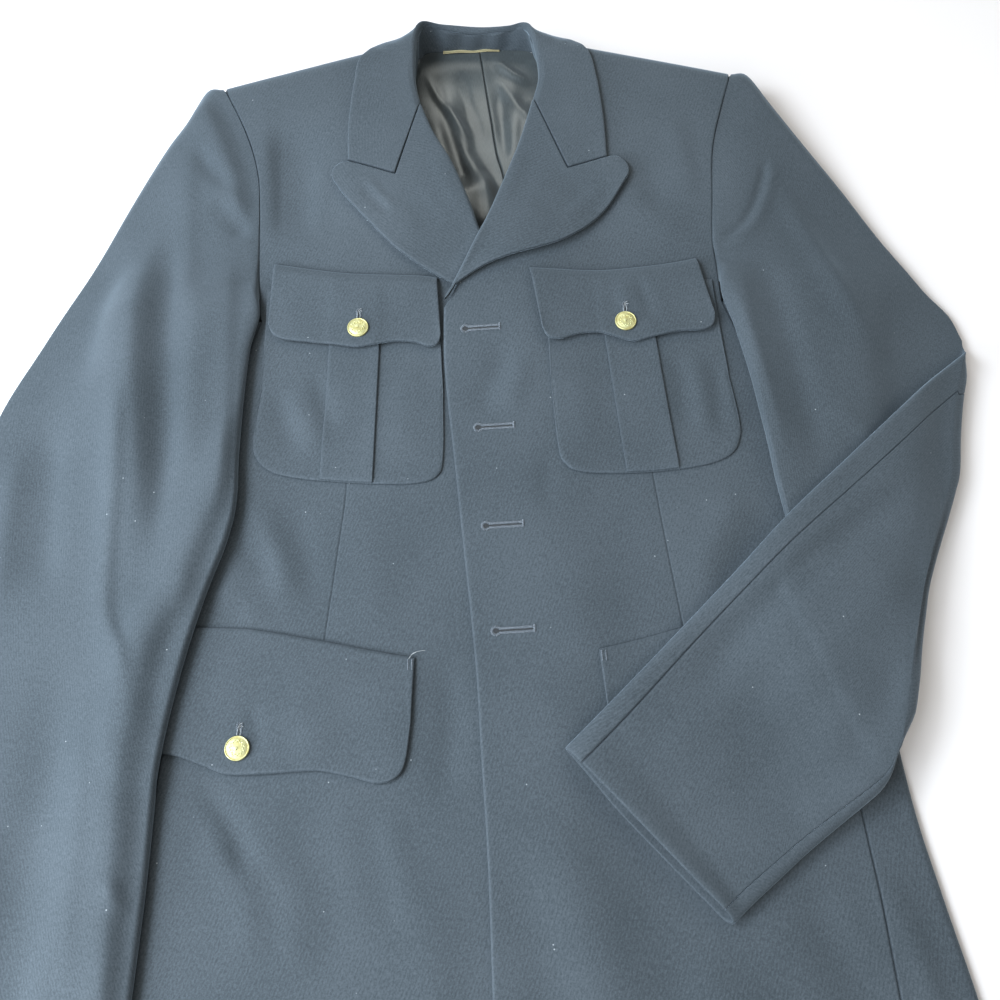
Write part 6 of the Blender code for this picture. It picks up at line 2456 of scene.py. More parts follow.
@dataclass
class Sleeves:
    """Both sleeves: the right one straight, the left one folded over itself and the body."""

    form: BodyForm
    finish: WoolFinish
    cloth: SleeveCloth = SleeveCloth()
    upper_left: Points = (
        # outer x, y, inner x, y, thickness
        (211.6, 373.8, 176.8, 183.0, 7.4), (224.5, 372.0, 176.3, 170.0, 7.4),
        (239.0, 343.0, 175.0, 150.0, 7.4), (259.0, 306.0, 181.0, 122.0, 7.4),
        (290.0, 251.0, 187.5, 82.0, 7.4), (315.0, 198.0, 192.0, 40.0, 7.4),
        (335.0, 160.0, 197.0, -8.0, 7.4), (351.0, 136.0, 212.0, -88.0, 7.4),
        (356.5, 114.0, 247.0, -193.0, 7.4),
    )
    forearm_left: Points = (
        (352.0, 98.0, 247.0, -193.0, 7.4), (320.0, 74.0, 235.0, -209.0, 7.4),
        (286.0, 45.0, 219.0, -221.0, 7.4), (246.0, 11.0, 204.0, -231.0, 7.4),
        (200.0, -28.0, 189.0, -241.0, 7.4), (158.0, -67.0, 173.0, -252.0, 7.4),
        (114.0, -108.0, 157.0, -264.0, 7.4), (73.0, -146.0, 142.0, -275.0, 7.4),
        (34.0, -181.0, 128.0, -286.0, 7.4),
    )
    right: Points = (
        (-220.6, 381.2, -180.8, 184.0, 7.4), (-233.5, 380.0, -179.4, 170.0, 7.4),
        (-247.0, 350.0, -176.0, 150.0, 7.4), (-265.0, 320.0, -181.5, 122.0, 7.4),
        (-293.0, 264.0, -184.5, 82.0, 7.4), (-319.0, 203.0, -186.0, 36.0, 7.4),
        (-346.0, 143.0, -186.5, -14.0, 7.4), (-371.0, 82.0, -203.0, -72.0, 7.4),
        (-385.0, 8.0, -216.0, -134.0, 7.4), (-389.0, -84.0, -223.0, -190.0, 7.4),
        (-385.0, -190.0, -224.5, -262.0, 7.4), (-373.0, -322.0, -228.0, -350.0, 7.4),
    )
    right_creases: tuple[Crease, ...] = (
        # the long ridge that falls steeply to the inner edge, down to the cuff
        Crease(((-186, 84), (-190, 49), (-195, 17), (-206, -13), (-216, -43), (-221, -71),
                (-231, -88), (-237, -105), (-240, -134), (-245, -162), (-247, -192), (-245, -228),
                (-245, -252), (-243, -280), (-241, -312), (-241, -350)), 6.6, 11, 1.9, 0.1),
        Crease(((-244, -244), (-238, -258), (-228, -270)), 2.2, 4, 1.4),
        # the broad dark hollow between a ridge and a swell
        Crease(((-262, 262), (-270, 205), (-271, 128), (-264, 69), (-254, 5), (-250, -60)),
               8.6, 15, 2.2, 0.34),
        Crease(((-254, 240), (-250, 190), (-247, 140), (-243, 85), (-241, 28), (-243, -50)),
               -4.4, 9, 1.4, 0.25),
        Crease(((-223, 200), (-222, 150), (-222, 99), (-221, 34), (-222, 0)), 3.2, 14, 0.8, 0.25),
        Crease(((-203, 210), (-200, 150), (-198, 90), (-198, 52)), 2.6, 8, 2.0, 0.22),
        # the thin crease that bends in above the cuff, and the hollow beside its end
        Crease(((-274, 104), (-273, 70), (-271, 21), (-271, -24), (-269, -68), (-263, -89),
                (-253, -107), (-248, -127), (-243, -146)), 3.0, 4.6, 2.6, 0.2),
        Crease(((-212, -58), (-224, -98), (-231, -131), (-227, -160)), -2.6, 9, 1.2, 0.25),
        # the padded head beside the armhole, and the dents in it
        Crease(((-242, 366), (-224, 335), (-209, 300), (-200, 262), (-197, 226)),
               4.6, 11, 1.7, 0.2),
        Crease(((-236, 318), (-226, 297), (-213, 280), (-198, 266)), -3.2, 6.5, 1.2),
        Crease(((-220, 262), (-203, 243), (-188, 220)), -3.2, 8, 1.2),
        Crease(((-243, 325), (-240, 262), (-236, 203), (-231, 138)), 2.0, 9, 1.5),
        # slow waves of the broad part
        Crease(((-286, 222), (-298, 185), (-306, 140), (-308, 90)), -2.6, 11, 1.3),
        Crease(((-334, 90), (-326, 34), (-322, -13), (-316, -70)), -3.0, 12, 1.2),
        Crease(((-352, 60), (-350, -10), (-346, -80)), 2.0, 9),
        Crease(((-300, -100), (-296, -170), (-300, -250), (-296, -330)), -2.6, 14, 1.3),
        Crease(((-276, -130), (-272, -200), (-268, -270), (-262, -340)), 1.8, 9, 1.5),
        Crease(((-362, -60), (-358, -140), (-352, -230)), -2.0, 10),
        Crease(((-330, -200), (-326, -270), (-322, -336)), 2.0, 11),
    )
    left_creases: tuple[Crease, ...] = (
        Crease(((188, 196), (190, 130), (197, 60), (203, 6)), 2.2, 8, 1.2),
        Crease(((206, 205), (214, 140), (222, 80), (226, 22), (222, -10)), -2.6, 11, 1.1),
        Crease(((230, 266), (250, 205), (268, 142), (284, 92)), 2.2, 8, 1.3),
        Crease(((302, 156), (298, 112), (286, 72)), -1.6, 11),
        Crease(((177, 204), (199, 217), (215, 244), (227, 280)), -1.7, 3.2, 1.2, 0.2),
        Crease(((182, 196), (205, 212), (222, 242), (234, 280)), 1.4, 4.2, 1.2, 0.2),
        Crease(((244, 60), (256, 40), (272, 26)), 1.2, 9),
    )
    forearm_creases: tuple[Crease, ...] = (
        Crease(((312, 26), (252, -20), (200, -56), (150, -96), (104, -136)), 1.5, 8, 1.3),
        Crease(((292, -24), (240, -46), (214, -64), (185, -86), (150, -116), (110, -154)),
               -3.2, 12, 1.2),
        Crease(((268, -62), (238, -102), (202, -132), (160, -168)), 2.0, 17),
        Crease(((328, 58), (304, -10), (282, -72), (264, -124)), -1.6, 9),
        Crease(((258, -128), (228, -172), (200, -204)), -1.6, 13),
        Crease(((210, -150), (170, -190), (128, -222)), -1.2, 15),
        Crease(((176, -120), (128, -166), (80, -200)), 1.3, 13),
        Crease(((236, -196), (206, -216), (170, -232)), 1.4, 10),
    )

    def build(self, below: list[Array]) -> None:
        """Makes both sleeves on top of what is built.

        Args:
            below: The outer faces of the pieces that the sleeves rest on.
        """
        cloth, form = self.cloth, self.form
        step = cloth.row_step
        body = HeightMap(below, cloth.level, cloth.fall, form.underarm_y)
        easy = HeightMap(below, cloth.level, cloth.drape, form.underarm_y, 60, False)
        right = Curve(self.right)
        sleeve = Sleeve(Side.RIGHT, form, cloth, self.finish, self.right_creases)
        rows = self.rows(right, step)
        sleeve.add_upper_arm(rows, body, easy)
        on = ("front_right", "side_right", "back_right", "flap_hip_right")
        sleeve.build(self.cuts(on))
        upper = self.rows(Curve(self.upper_left), step)
        arm = Sleeve(Side.LEFT, form, cloth, self.finish, self.left_creases, fold=upper[-1])
        arm.add_upper_arm(upper, body, easy)
        beneath = below + [arm.faces(piece, None) for piece in ("top", "under")]
        on_arm = HeightMap(beneath, cloth.level, cloth.fall, self.upper_left[0][1])
        easy_arm = HeightMap(beneath, cloth.level, cloth.drape, self.upper_left[0][1], 60, False)
        arm.forearm_creases = self.forearm_creases
        forearm = self.rows(Curve(self.forearm_left), step)
        arm.add_fold(upper[-1], forearm[0], body)
        arm.add_forearm(forearm, on_arm, easy_arm)
        on = ("front_left", "side_left", "back_left", "flap_hip_left")
        arm.build(self.cuts(on, "folded"))

    def cuts(self, rests_on: tuple[str, ...], *held: str) -> dict[str, Cut]:
        """The cut of a sleeve's two pieces."""
        return {"top": Cut(262.0, 742.0, rests_on, *held),
                "under": Cut(196.0, 690.0, rests_on, *held)}

    @staticmethod
    def rows(sections: Curve, step: float) -> Array:
        """Sections along an arm, a step apart, and close together at its last end."""
        share = stations(np.array([sections.length]), step, False, True)[0]
        return sections.at(share)


# ---------------------------------------------------------------------------------------------
# Buttons and stitching


def deselect() -> None:
    """Leaves object mode and selects nothing."""
    if bpy.context.object and bpy.context.object.mode != "OBJECT":
        bpy.ops.object.mode_set(mode="OBJECT")
    bpy.ops.object.select_all(action="DESELECT")


def select_faces(keep: Callable[[bpy.types.MeshPolygon], bool]) -> None:
    """Selects, in edit mode, the faces of the active object that pass a test.

    Args:
        keep: Whether a face is wanted.
    """
    bpy.ops.mesh.select_all(action="DESELECT")
    bpy.ops.object.mode_set(mode="OBJECT")
    for face in bpy.context.object.data.polygons:
        face.select = keep(face)
    bpy.ops.object.mode_set(mode="EDIT")
    bpy.ops.mesh.select_mode(type="FACE")


def mesh_arrays(item: bpy.types.Object) -> tuple[Array, list[tuple[int, ...]]]:
    """An object's points, in millimetres, and its faces."""
    points = np.array([tuple(item.matrix_world @ vertex.co) for vertex in item.data.vertices]) / MM
    return points, [tuple(face.vertices) for face in item.data.polygons]


def drawn_piece(name: str, points: Sequence[Array], faces: list[tuple[int, ...]],
                material: bpy.types.Material, smooth: bool = True) -> None:
    """Makes one piece from its parts' points, in millimetres, and the faces between them.

    Args:
        name: The piece's name.
        points: Points, in millimetres.
        faces: The faces between them.
        material: The finish.
        smooth: Whether it is shaded smooth.
    """
    mesh = bpy.data.meshes.new(name)
    mesh.from_pydata((np.concatenate(points) * MM).tolist(), [], faces)
    if smooth:
        mesh.shade_smooth()
    add_piece(name, mesh, material)


def placed_copies(name: str, points: Array, faces: list[tuple[int, ...]], places: Sequence[Array],
                  material: bpy.types.Material) -> None:
    """One piece that repeats a small shape.

    Args:
        name: The piece's name.
        points: The small shape's points, in millimetres.
        faces: Its faces.
        places: For each copy, a 3 by 4 array that turns and moves it.
        material: The finish.
    """
    copies, all_faces = [], []
    for k, place in enumerate(places):
        copies.append(points @ place[:, :3].T + place[:, 3])
        all_faces += [tuple(corner + k * len(points) for corner in face) for face in faces]
    drawn_piece(name, copies, all_faces, material)


def height_at(face: Surface, x: float, y: float) -> float:
    """The height of a face at one place."""
    return float(face(np.array([x]), np.array([y]))[0])


def box_middle(name: str) -> tuple[float, float, float]:
    """A node's middle, x and y, and its highest y, in millimetres."""
    lowest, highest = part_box(name)
    return (lowest.x + highest.x) / 2 / MM, (lowest.y + highest.y) / 2 / MM, highest.y / MM


@dataclass
class Buttons:
    """Domed gilt buttons with a turned rim, a wreath of leaves and a plain five-pointed star."""

    finish: GiltFinish
    radius: float = 7.95
    edge: float = 1.2
    dome: float = 1.25
    leaves: int = 11
    sides: int = 56
    front_steps: Points = (
        # inset, then rise, from the edge to the middle of the dome
        (0.35, 0.30), (0.25, 0.0), (0.25, -0.35), (0.35, 0.0), (0.6, 0.30), (0.9, 0.26),
        (1.1, 0.22), (1.2, 0.16), (1.2, 0.10),
    )
    back_steps: Points = ((0.5, 0.25),)
    bevel: float = 0.16
    bevel_from: float = math.radians(32)
    sharp_from: float = math.radians(38)
    star_radius: float = 1.9
    star_waist: float = 0.42  # how near its middle the inner corners are
    nodes: tuple[tuple[str, float], ...] = (
        # node, how far it is turned about its own axis
        ("button_chest_left", 0.5), ("button_chest_right", -0.7),
        ("button_hip_left", 0.2), ("button_hip_right", 0.35),
    )

    def shell(self) -> bpy.types.Object:
        """The button's own body: a disc with a rolled rim, a channel and a dome.

        Returns:
            The new object.
        """
        deselect()
        bpy.ops.mesh.primitive_cylinder_add(vertices=self.sides, radius=self.radius * MM,
                                            depth=self.edge * MM,
                                            location=(0, 0, self.edge / 2 * MM))
        item = bpy.context.object
        bpy.ops.object.transform_apply(location=True, rotation=True, scale=True)
        bpy.ops.object.mode_set(mode="EDIT")
        for upright, steps in ((1, self.front_steps), (-1, self.back_steps)):
            select_faces(lambda face, upright=upright: face.normal.z * upright > 0.9)
            for inset, rise in steps:
                bpy.ops.mesh.inset(thickness=inset * MM, depth=0.0)
                bpy.ops.transform.translate(value=(0, 0, rise * MM))
        bpy.ops.object.mode_set(mode="OBJECT")
        bevel = item.modifiers.new("soft edges", "BEVEL")
        bevel.width, bevel.segments, bevel.limit_method = self.bevel * MM, 2, "ANGLE"
        bevel.angle_limit = self.bevel_from
        bpy.ops.object.modifier_apply(modifier=bevel.name)
        return item

    def surface(self, radius: float) -> float:
        """Height of the dome's face at this distance from its middle."""
        share = min(radius / (self.radius * 0.78), 1.0)
        return self.edge + 0.1 + (self.dome - 0.25) * (1 - share ** 2)

    def relief(self) -> list[bpy.types.Object]:
        """The wreath's leaves and berries, and the star.

        Returns:
            The new objects.
        """
        made = []
        for k in range(self.leaves * 2):
            turn = 2 * math.pi * (k + 0.5) / (self.leaves * 2)
            ring = self.radius * (0.60 if k % 2 else 0.50)
            lean = turn + math.pi / 2 + (0.5 if k % 2 else -0.4) * (1 if math.cos(turn) > 0 else -1)
            place = (ring * math.cos(turn) * MM, ring * math.sin(turn) * MM,
                     self.surface(ring) * MM)
            bpy.ops.mesh.primitive_uv_sphere_add(segments=8, ring_count=5, radius=MM,
                                                 location=place, rotation=(0, 0, lean),
                                                 scale=(1.0, 0.42, 0.42))
            made.append(bpy.context.object)
        bpy.ops.mesh.primitive_cylinder_add(vertices=10, radius=self.star_radius * MM,
                                            depth=0.5 * MM,
                                            location=(0, 0, (self.surface(0) + 0.1) * MM))
        star = bpy.context.object
        bpy.ops.object.transform_apply(location=True, rotation=True, scale=True)
        for vertex in star.data.vertices:
            index = round(math.atan2(vertex.co.y, vertex.co.x) / (math.pi / 5))
            share = 1.0 if index % 2 else self.star_waist
            vertex.co.x, vertex.co.y = vertex.co.x * share, vertex.co.y * share
        bpy.ops.object.mode_set(mode="EDIT")
        select_faces(lambda face: face.normal.z > 0.9)
        bpy.ops.mesh.poke()
        bpy.ops.object.mode_set(mode="OBJECT")
        tip = min(star.data.vertices, key=lambda vertex: math.hypot(vertex.co.x, vertex.co.y)
                  - vertex.co.z)
        tip.co.z += 0.35 * MM
        made.append(star)
        return made

    def pattern(self) -> bpy.types.Object:
        """One button at the origin, its axis upright.

        Returns:
            The new object.
        """
        parts = [self.shell()] + self.relief()
        deselect()
        for part in parts:
            part.select_set(True)
        bpy.context.view_layer.objects.active = parts[0]
        bpy.ops.object.join()
        item = bpy.context.object
        bpy.ops.object.transform_apply(location=True, rotation=True, scale=True)
        item.data.shade_smooth()
        item.data.set_sharp_from_angle(angle=self.sharp_from)
        return item

    def build(self, surfaces: dict[str, Surface]) -> None:
        """Makes a copy of the button in the place of each of the four.

        Args:
            surfaces: For each node, the height of the cloth at a place.
        """
        pattern = self.pattern()
        low = np.zeros(len(pattern.data.vertices), np.float32)
        for k, vertex in enumerate(pattern.data.vertices):
            radius = math.hypot(vertex.co.x, vertex.co.y) / MM
            low[k] = 1 - min(max((vertex.co.z / MM - self.surface(radius) + 0.15) / 0.4, 0), 1)
        pattern.data.attributes.new("seam", "FLOAT", "POINT").data.foreach_set("value", low)
        for name, turn in self.nodes:
            x, y, _ = box_middle(name)
            face, reach = partial(height_at, surfaces[name]), self.radius * 0.8
            slope_x = (face(x + reach, y) - face(x - reach, y)) / (2 * reach)
            slope_y = (face(x, y + reach) - face(x, y - reach)) / (2 * reach)
            base = max(face(x + dx, y + dy) - slope_x * dx - slope_y * dy
                       for dx in (-reach, 0, reach) for dy in (-reach, 0, reach)) + 0.15
            up = Vector((-slope_x, -slope_y, 1.0)).normalized()
            tilt = Vector((0, 0, 1)).rotation_difference(up).to_matrix().to_4x4()
            spin = Matrix.Rotation(turn, 4, "Z")
            mesh = pattern.data.copy()
            mesh.transform(Matrix.Translation(Vector((x, y, base)) * MM) @ tilt @ spin)
            mesh.materials.clear()
            piece = add_piece(name + "_gilt", mesh, self.finish.material())
            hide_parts(name)
        bpy.data.objects.remove(pattern, do_unlink=True)


@dataclass
class Stitching:
    """Worked buttonholes with purl stitches and bar tacks, and dark pieces of painted shade in the
    slits between the stitches.
    """

    finish: ThreadFinish
    pale: ThreadFinish
    # the near-black finish of the pieces of painted shade in the slits
    slit: ThreadFinish
    spacing: float = 0.75
    length: float = 25.5
    eye: float = 2.1
    front_holes: Points = (
        # x of the keyhole end, y
        (-20.5, 131.0), (-13.5, 51.0), (-10.5, -25.5), (-6.5, -101.0),
    )
    fall: float = 0.02  # how far a hole drops for each millimetre along it

    def stitch(self) -> tuple[Array, list[tuple[int, ...]]]:
        """One purl stitch, lying along x, with a knot at one end.

        Returns:
            Its points and faces.
        """
        deselect()
        bpy.ops.mesh.primitive_uv_sphere_add(segments=6, ring_count=5, radius=MM,
                                             scale=(0.95, 0.36, 0.34))
        item = bpy.context.object
        bpy.ops.object.transform_apply(location=True, rotation=True, scale=True)
        points, faces = mesh_arrays(item)
        points[points[:, 0] > 0.4, 1:] *= 1.35
        bpy.data.objects.remove(item, do_unlink=True)
        return points, faces

    def hole_line(self, x: float, y: float, length: float, turn: float, eye: float) -> Array:
        """Points and outward directions round a keyhole, the eye at its first end.

        Args:
            x: Place of the eye's middle.
            y: Place of the eye's middle.
            length: From the eye to the far end.
            turn: Which way it runs, in radians.
            eye: The eye's radius.

        Returns:
            Rows of x, y, and the outward direction's x and y.
        """
        rows = []
        half = 0.75
        around = max(6, int(2 * math.pi * eye * 0.8 / self.spacing) + 1)
        for k in range(around):
            angle = math.pi * (0.28 + 1.44 * k / (around - 1))
            out_x, out_y = math.cos(angle), math.sin(angle)
            rows.append((eye * out_x, eye * out_y, out_x, out_y))
        for step in np.arange(eye + 0.4, length, self.spacing):
            for side in (-1.0, 1.0):
                rows.append((step, side * half, 0.0, side))
        rows = np.array(rows)
        c, s = math.cos(turn), math.sin(turn)
        spin = np.array([[c, s], [-s, c]])
        rows[:, :2] = rows[:, :2] @ spin + (x, y)
        rows[:, 2:] = rows[:, 2:] @ spin
        return rows

    def places(self, rows: Array, face: Surface, lift: float = 0.18,
               scale: float = 1.0) -> list[Array]:
        """Where a stitch goes for each row of a hole's line.

        Args:
            rows: The hole's line.
            face: The height of the cloth anywhere.
            lift: How far it stands off the cloth.
            scale: How large a stitch is.

        Returns:
            A 3 by 4 array for each stitch.
        """
        made = []
        heights = face(rows[:, 0], rows[:, 1])
        for k, ((x, y, out_x, out_y), z) in enumerate(zip(rows, heights)):
            wobble = 0.12 * math.sin(k * 12.9898)
            turned = [[out_x, -out_y + wobble, 0], [out_y + wobble, out_x, 0], [0, 0, 1.0]]
            reach = 0.62 * scale
            raised = z + lift + 0.06 * math.sin(k * 4.1)
            spot = [[x + out_x * reach], [y + out_y * reach], [raised]]
            made.append(np.concatenate([np.array(turned) * scale, spot], axis=1))
        return made

    def bar(self, x: float, y: float, length: float, turn: float, face: Surface,
            width: float = 0.8) -> list[Array]:
        """A bar tack: short stitches side by side across a line.

        Args:
            x: Places across, positive towards the wearer's left.
            y: Places up the jacket.
            length: How long it is.
            turn: Which way it runs, in radians.
            face: The height of the cloth anywhere.
            width: How wide a stitch is.

        Returns:
            A 3 by 4 array for each stitch.
        """
        c, s = math.cos(turn), math.sin(turn)
        made = []
        for k in np.arange(0, length, self.spacing * 0.75):
            px, py = x + c * k, y + s * k
            turned = [[-s * width, -c * width, 0], [c * width, -s * width, 0], [0, 0, width]]
            spot = [[px], [py], [height_at(face, px, py) + 0.3]]
            made.append(np.concatenate([turned, spot], axis=1))
        return made

    def slit_piece(self, name: str, lines: list[tuple], face: Surface) -> None:
        """The painted shade in the openings of several holes, as one dark, low piece between the
        stitches.

        Args:
            name: The piece's name.
            lines: Place, length, turn and eye of each hole.
            face: The height of the cloth anywhere.
        """
        all_points, all_faces = [], []
        for x, y, length, turn, eye in lines:
            c, s = math.cos(turn), math.sin(turn)
            outline = [(eye * 0.9 * math.cos(a), eye * 0.9 * math.sin(a))
                       for a in np.linspace(0.35, 2 * math.pi - 0.35, 12)]
            outline += [(length, -0.32), (length, 0.32)]
            flat = np.array([(x + c * px - s * py, y + s * px + c * py) for px, py in outline])
            z = face(flat[:, 0], flat[:, 1])
            first = sum(len(points) for points in all_points)
            n = len(flat)
            all_points.append(np.concatenate([np.column_stack([flat, z + 0.16]),
                                              np.column_stack([flat, z - 0.5])]))
            all_faces.append(tuple(range(first, first + n)))
            all_faces.append(tuple(range(first + 2 * n - 1, first + n - 1, -1)))
            all_faces += [(first + (k + 1) % n, first + k, first + n + k, first + n + (k + 1) % n)
                          for k in range(n)]
        drawn_piece(name, all_points, all_faces, self.slit.material(), smooth=False)

    def strands(self, name: str, routes: list[Array], radius: float,
                material: bpy.types.Material) -> None:
        """Short ends of sewing thread, as thin closed tubes.

        Args:
            name: The piece's name.
            routes: The points of each strand.
            radius: A strand's radius.
            material: The finish.
        """
        sides, all_points, all_faces = 6, [], []
        for route in routes:
            line = Curve(route).at(np.linspace(0, 1, 14))
            step = np.gradient(line, axis=0)
            step /= np.linalg.norm(step, axis=1)[:, None]
            side = np.cross(step, (0.0, 0.0, 1.0))
            side /= np.linalg.norm(side, axis=1)[:, None]
            up = np.cross(side, step)
            first = sum(len(points) for points in all_points)
            turns = 2 * math.pi * np.arange(sides) / sides
            ring = side[:, None] * np.cos(turns)[:, None] + up[:, None] * np.sin(turns)[:, None]
            all_points.append((line[:, None] + radius * ring).reshape(-1, 3))
            for row in range(len(line) - 1):
                for k in range(sides):
                    a, b = first + row * sides, first + (row + 1) * sides
                    all_faces.append((a + k, a + (k + 1) % sides, b + (k + 1) % sides, b + k))
            all_faces.append(tuple(range(first + sides - 1, first - 1, -1)))
            last = first + (len(line) - 1) * sides
            all_faces.append(tuple(range(last, last + sides)))
        drawn_piece(name, all_points, all_faces, material)

    def build(self, surfaces: dict[str, Surface]) -> None:
        """Makes every hole and tack.

        Args:
            surfaces: The heights of the cloth, by button node, and front for the left front.
        """
        points, faces = self.stitch()
        front = surfaces["front"]
        places, slits = [], []
        turn = math.atan(self.fall)
        for x, y in self.front_holes:
            line = self.hole_line(x, y, self.length, turn, self.eye)
            places += self.places(line, front, 0.18, 1.12)
            places += self.bar(x + self.length + 0.4, y + self.length * self.fall - 2.3, 5.2,
                               math.pi / 2, front, 0.9)
            slits.append((x, y, self.length - 0.8, turn, self.eye))
        placed_copies("front_buttonhole_stitches", points, faces, places, self.finish.material())
        self.slit_piece("front_buttonhole_slits", slits, front)
        places, slits = [], []
        for node in ("button_chest_left", "button_chest_right",
                     "button_hip_left", "button_hip_right"):
            x, _, y = box_middle(node)
            x, y, face = x + 0.6, y + 7.0, surfaces[node]
            places += self.places(self.hole_line(x, y, 9.0, -math.pi / 2, 1.2), face, 0.2, 0.8)
            slits = [(x, y, 8.0, -math.pi / 2, 1.2)]
            self.slit_piece(node.replace("button", "hole"), slits, face)
        placed_copies("flap_buttonhole_stitches", points, faces, places, self.finish.material())
        places = []
        for side in Side:
            face = surfaces[f"button_hip_{side.value}"]
            places += self.bar(side.sign * 62.8, -124.5, 7.0, math.pi / 2, face, 0.6)
            places += self.bar(side.sign * 65.4, -124.5, 7.0, math.pi / 2, face, 0.6)
        placed_copies("hip_bar_tacks", points, faces, places, self.finish.material())
        self.build_strands(surfaces)

    def build_strands(self, surfaces: dict[str, Surface]) -> None:
        """Makes the loose ends of thread at the flap's corner and above the buttons.

        Args:
            surfaces: The heights of the cloth, by node.
        """
        front = surfaces["button_hip_right"]

        def route(face: Surface, flat: Points) -> Array:
            """A strand's points: x, y and how high it stands off the cloth.

            Args:
                face: The height of the cloth anywhere.
                flat: Places, x and y, and how high it stands off.

            Returns:
                Points.
            """
            spots = np.array(flat, float)
            heights = face(spots[:, 0], spots[:, 1]) + spots[:, 2]
            return np.column_stack([spots[:, :2], heights])

        routes = [route(front, ((-65.0, -117.0, 0.3), (-62.0, -113.6, 1.4), (-58.0, -112.0, 1.7),
                                (-54.0, -111.6, 1.2))),
                  route(front, ((-65.0, -117.2, 0.3), (-63.0, -114.6, 1.8), (-60.0, -113.2, 2.2)))]
        for node in ("button_chest_left", "button_chest_right", "button_hip_right"):
            x, _, y = box_middle(node)
            face = surfaces[node]
            routes.append(route(face, ((x - 0.8, y - 1.0, 1.2), (x - 0.5, y + 3.0, 0.9),
                                       (x + 0.6, y + 7.4, 0.7), (x + 2.8, y + 8.6, 1.2))))
            routes.append(route(face, ((x + 0.9, y - 1.0, 1.2), (x + 1.6, y + 2.6, 0.9),
                                       (x + 1.0, y + 6.6, 0.7), (x + 3.4, y + 6.0, 1.5))))
        self.strands("loose_threads", routes, 0.12, self.pale.material())


# ---------------------------------------------------------------------------------------------
# Camera, light and floor


COOL, PLAIN = (0.79, 0.91, 1.0), (0.97, 1.0, 0.95)


@dataclass
class Studio:
    """A plain pale floor, soft light from the upper left, and the camera over the hem."""

    distance: float = 0.72
    tilt: float = math.radians(24)
    roll: float = math.radians(2.5)
    lens: float = 36.0
    sensor: float = 36.0
    floor_size: float = 3.4
    sky: float = 0.11
    sky_colour: Colour = (0.90, 0.95, 1.0, 1.0)
    backdrop: float = 0.86
    lights: tuple[tuple, ...] = (
        # name, place, side of the square, power, colour
        ("low window", (-1.2, -0.5, 0.3), 0.4, 16.5, COOL),
        ("window", (-1.1, -0.75, 0.6), 0.5, 12.0, COOL),
        ("high window", (-0.8, 0.1, 0.9), 0.5, 17.5, COOL),
        ("ceiling", (-0.9, -0.6, 1.3), 0.7, 18.5, COOL),
        ("near wall", (-0.2, -1.3, 0.9), 0.7, 9.0, PLAIN),
        ("right wall", (1.2, 0.2, 0.9), 0.7, 5.6, PLAIN),
        ("far wall", (0.0, 1.2, 0.9), 0.7, 7.0, PLAIN),
    )

    def camera(self) -> None:
        """Makes the camera, which looks at the origin."""
        forward = Vector((0, math.sin(self.tilt), -math.cos(self.tilt)))
        up = Vector((0, math.cos(self.tilt), math.sin(self.tilt)))
        right = Vector((1, 0, 0))
        c, s = math.cos(self.roll), math.sin(self.roll)
        axes = (right * c - up * s, up * c + right * s, -forward)
        data = bpy.data.cameras.new("camera")
        data.lens, data.sensor_width = self.lens, self.sensor
        data.clip_start, data.clip_end = 0.02, 50
        item = bpy.data.objects.new("camera", data)
        turned = Matrix([[axis[row] for axis in axes] for row in range(3)]).to_4x4()
        item.matrix_world = Matrix.Translation(-forward * self.distance) @ turned
        bpy.context.scene.collection.objects.link(item)
        bpy.context.scene.camera = item

    def area(self, name: str, place: tuple[float, float, float], size: float, power: float,
             colour: tuple[float, float, float]) -> None:
        """One soft light that faces the jacket's middle.

        Args:
            name: The light's name.
            place: Where it stands, in metres.
            size: The side of its square, in metres.
            power: In watts.
            colour: Its colour.
        """
        data = bpy.data.lights.new(name, "AREA")
        data.energy, data.size, data.color = power, size, colour
        item = bpy.data.objects.new(name, data)
        item.location = place
        item.rotation_mode = "QUATERNION"
        item.rotation_quaternion = (Vector((0, 0, 0)) - Vector(place)).to_track_quat("-Z", "Y")
        bpy.context.scene.collection.objects.link(item)

    def build(self) -> None:
        """Makes the floor, the lights and the camera."""
        deselect()
        bpy.ops.mesh.primitive_plane_add(size=self.floor_size, location=(0, 0, -0.0004))
        floor = bpy.context.object
        floor.name = "floor"
        floor.data.materials.append(FloorFinish().material())
        world = bpy.data.worlds.new("studio")
        world.use_nodes = True
        graph, background = Graph(world.node_tree), world.node_tree.nodes["Background"]
        seen = graph.node("LightPath").outputs["Is Camera Ray"]
        background.inputs[0].default_value = self.sky_colour
        strength = graph.node("MapRange", Value=seen, To_Min=self.sky, To_Max=self.backdrop)
        graph.tree.links.new(strength.outputs[0], background.inputs[1])
        bpy.context.scene.world = world
        bpy.context.scene.view_settings.view_transform = "Standard"
        for light in self.lights:
            self.area(*light)
        self.camera()


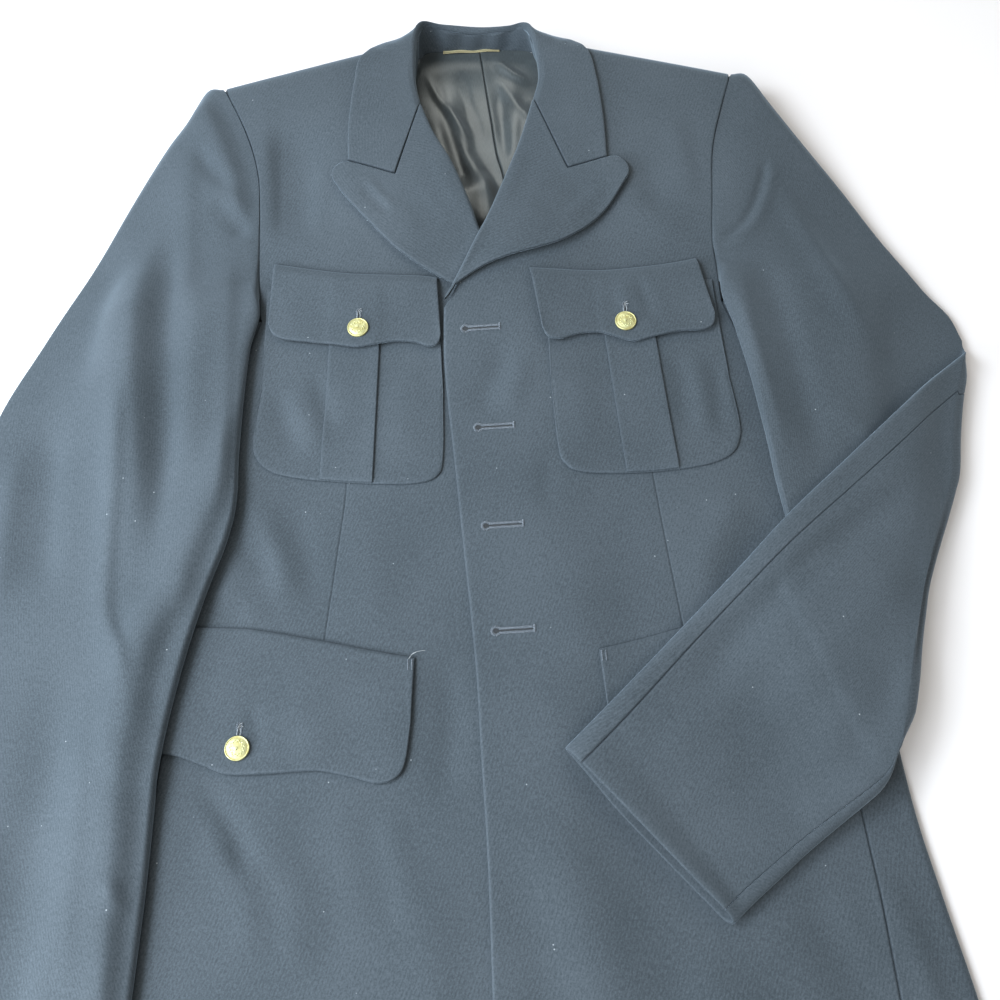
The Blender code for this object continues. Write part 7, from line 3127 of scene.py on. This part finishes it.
def main() -> None:
    """Builds the jacket's looks from the surface up."""
    logging.basicConfig(level=logging.INFO, format="%(message)s")
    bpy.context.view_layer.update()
    form = BodyForm()
    wool = WoolFinish()
    backs, sides, fronts = Backs(form, wool), SidePanels(form, wool), Fronts(form, wool)
    lining = Lining(form, SatinFinish(), LabelFinish())
    lapels, collar = Lapels(form, wool), Collar(form, wool)
    pockets = ChestPockets(form, wool)
    hips = HipFlaps(form, pockets)
    body = []
    for side in Side:
        body += [backs.build(side), sides.build(side)]
    panels = body[::2]
    for side in Side:
        lining.build(side)
    lining.build_label()
    front_faces = [fronts.build(side) for side in Side]
    for side in Side:
        lapels.build(side)
    collar.build_stand()
    collar.build_fall(HeightMap(panels + front_faces, 0.5, 5.0, soften=5))
    body += front_faces
    surfaces = {}
    for side in Side:
        faces = pockets.build(side)
        surfaces[f"button_chest_{side.value}"] = reader(faces[2])
        body.append(hips.build(side))
        below = reader(front_faces[list(Side).index(side)])
        surfaces[f"button_hip_{side.value}"] = reader(body[-1], below)
    surfaces["front"] = reader(front_faces[0])
    Buttons(GiltFinish()).build(surfaces)
    Sleeves(form, wool).build(body)
    pale = ThreadFinish("pale thread", colour=(0.30, 0.31, 0.32, 1.0),
                        second=(0.48, 0.49, 0.50, 1.0))
    # the slit shade: near-black for the pieces of painted shade in the buttonhole openings
    dark = ThreadFinish("slit shade", colour=(0.004, 0.005, 0.007, 1.0),
                        second=(0.010, 0.012, 0.016, 1.0))
    Stitching(ThreadFinish("buttonhole thread"), pale, dark).build(surfaces)
    Studio().build()


def reader(points: Array, below: Optional[Surface] = None) -> Surface:
    """Reads the height of a face anywhere, from its nearest points.

    Args:
        points: The face's points.
        below: What to read where the face doesn't reach.

    Returns:
        A function of arrays of x and y.
    """
    flat = points.reshape(-1, 3)

    def read(x: Array, y: Array) -> Array:
        """The height at these places.

        Args:
            x: Places across, positive towards the wearer's left.
            y: Places up the jacket.

        Returns:
            Heights.
        """
        found = []
        for px, py in zip(np.atleast_1d(x), np.atleast_1d(y)):
            away = (flat[:, 0] - px) ** 2 + (flat[:, 1] - py) ** 2
            near = np.argpartition(away, 4)[:4]
            if below is not None and away[near].min() > 9.0:
                found.append(height_at(below, px, py))
                continue
            weight = 1 / (away[near] + 0.01)
            found.append(float((flat[near, 2] * weight).sum() / weight.sum()))
        return np.array(found)

    return read


if __name__ == "__main__":
    main()
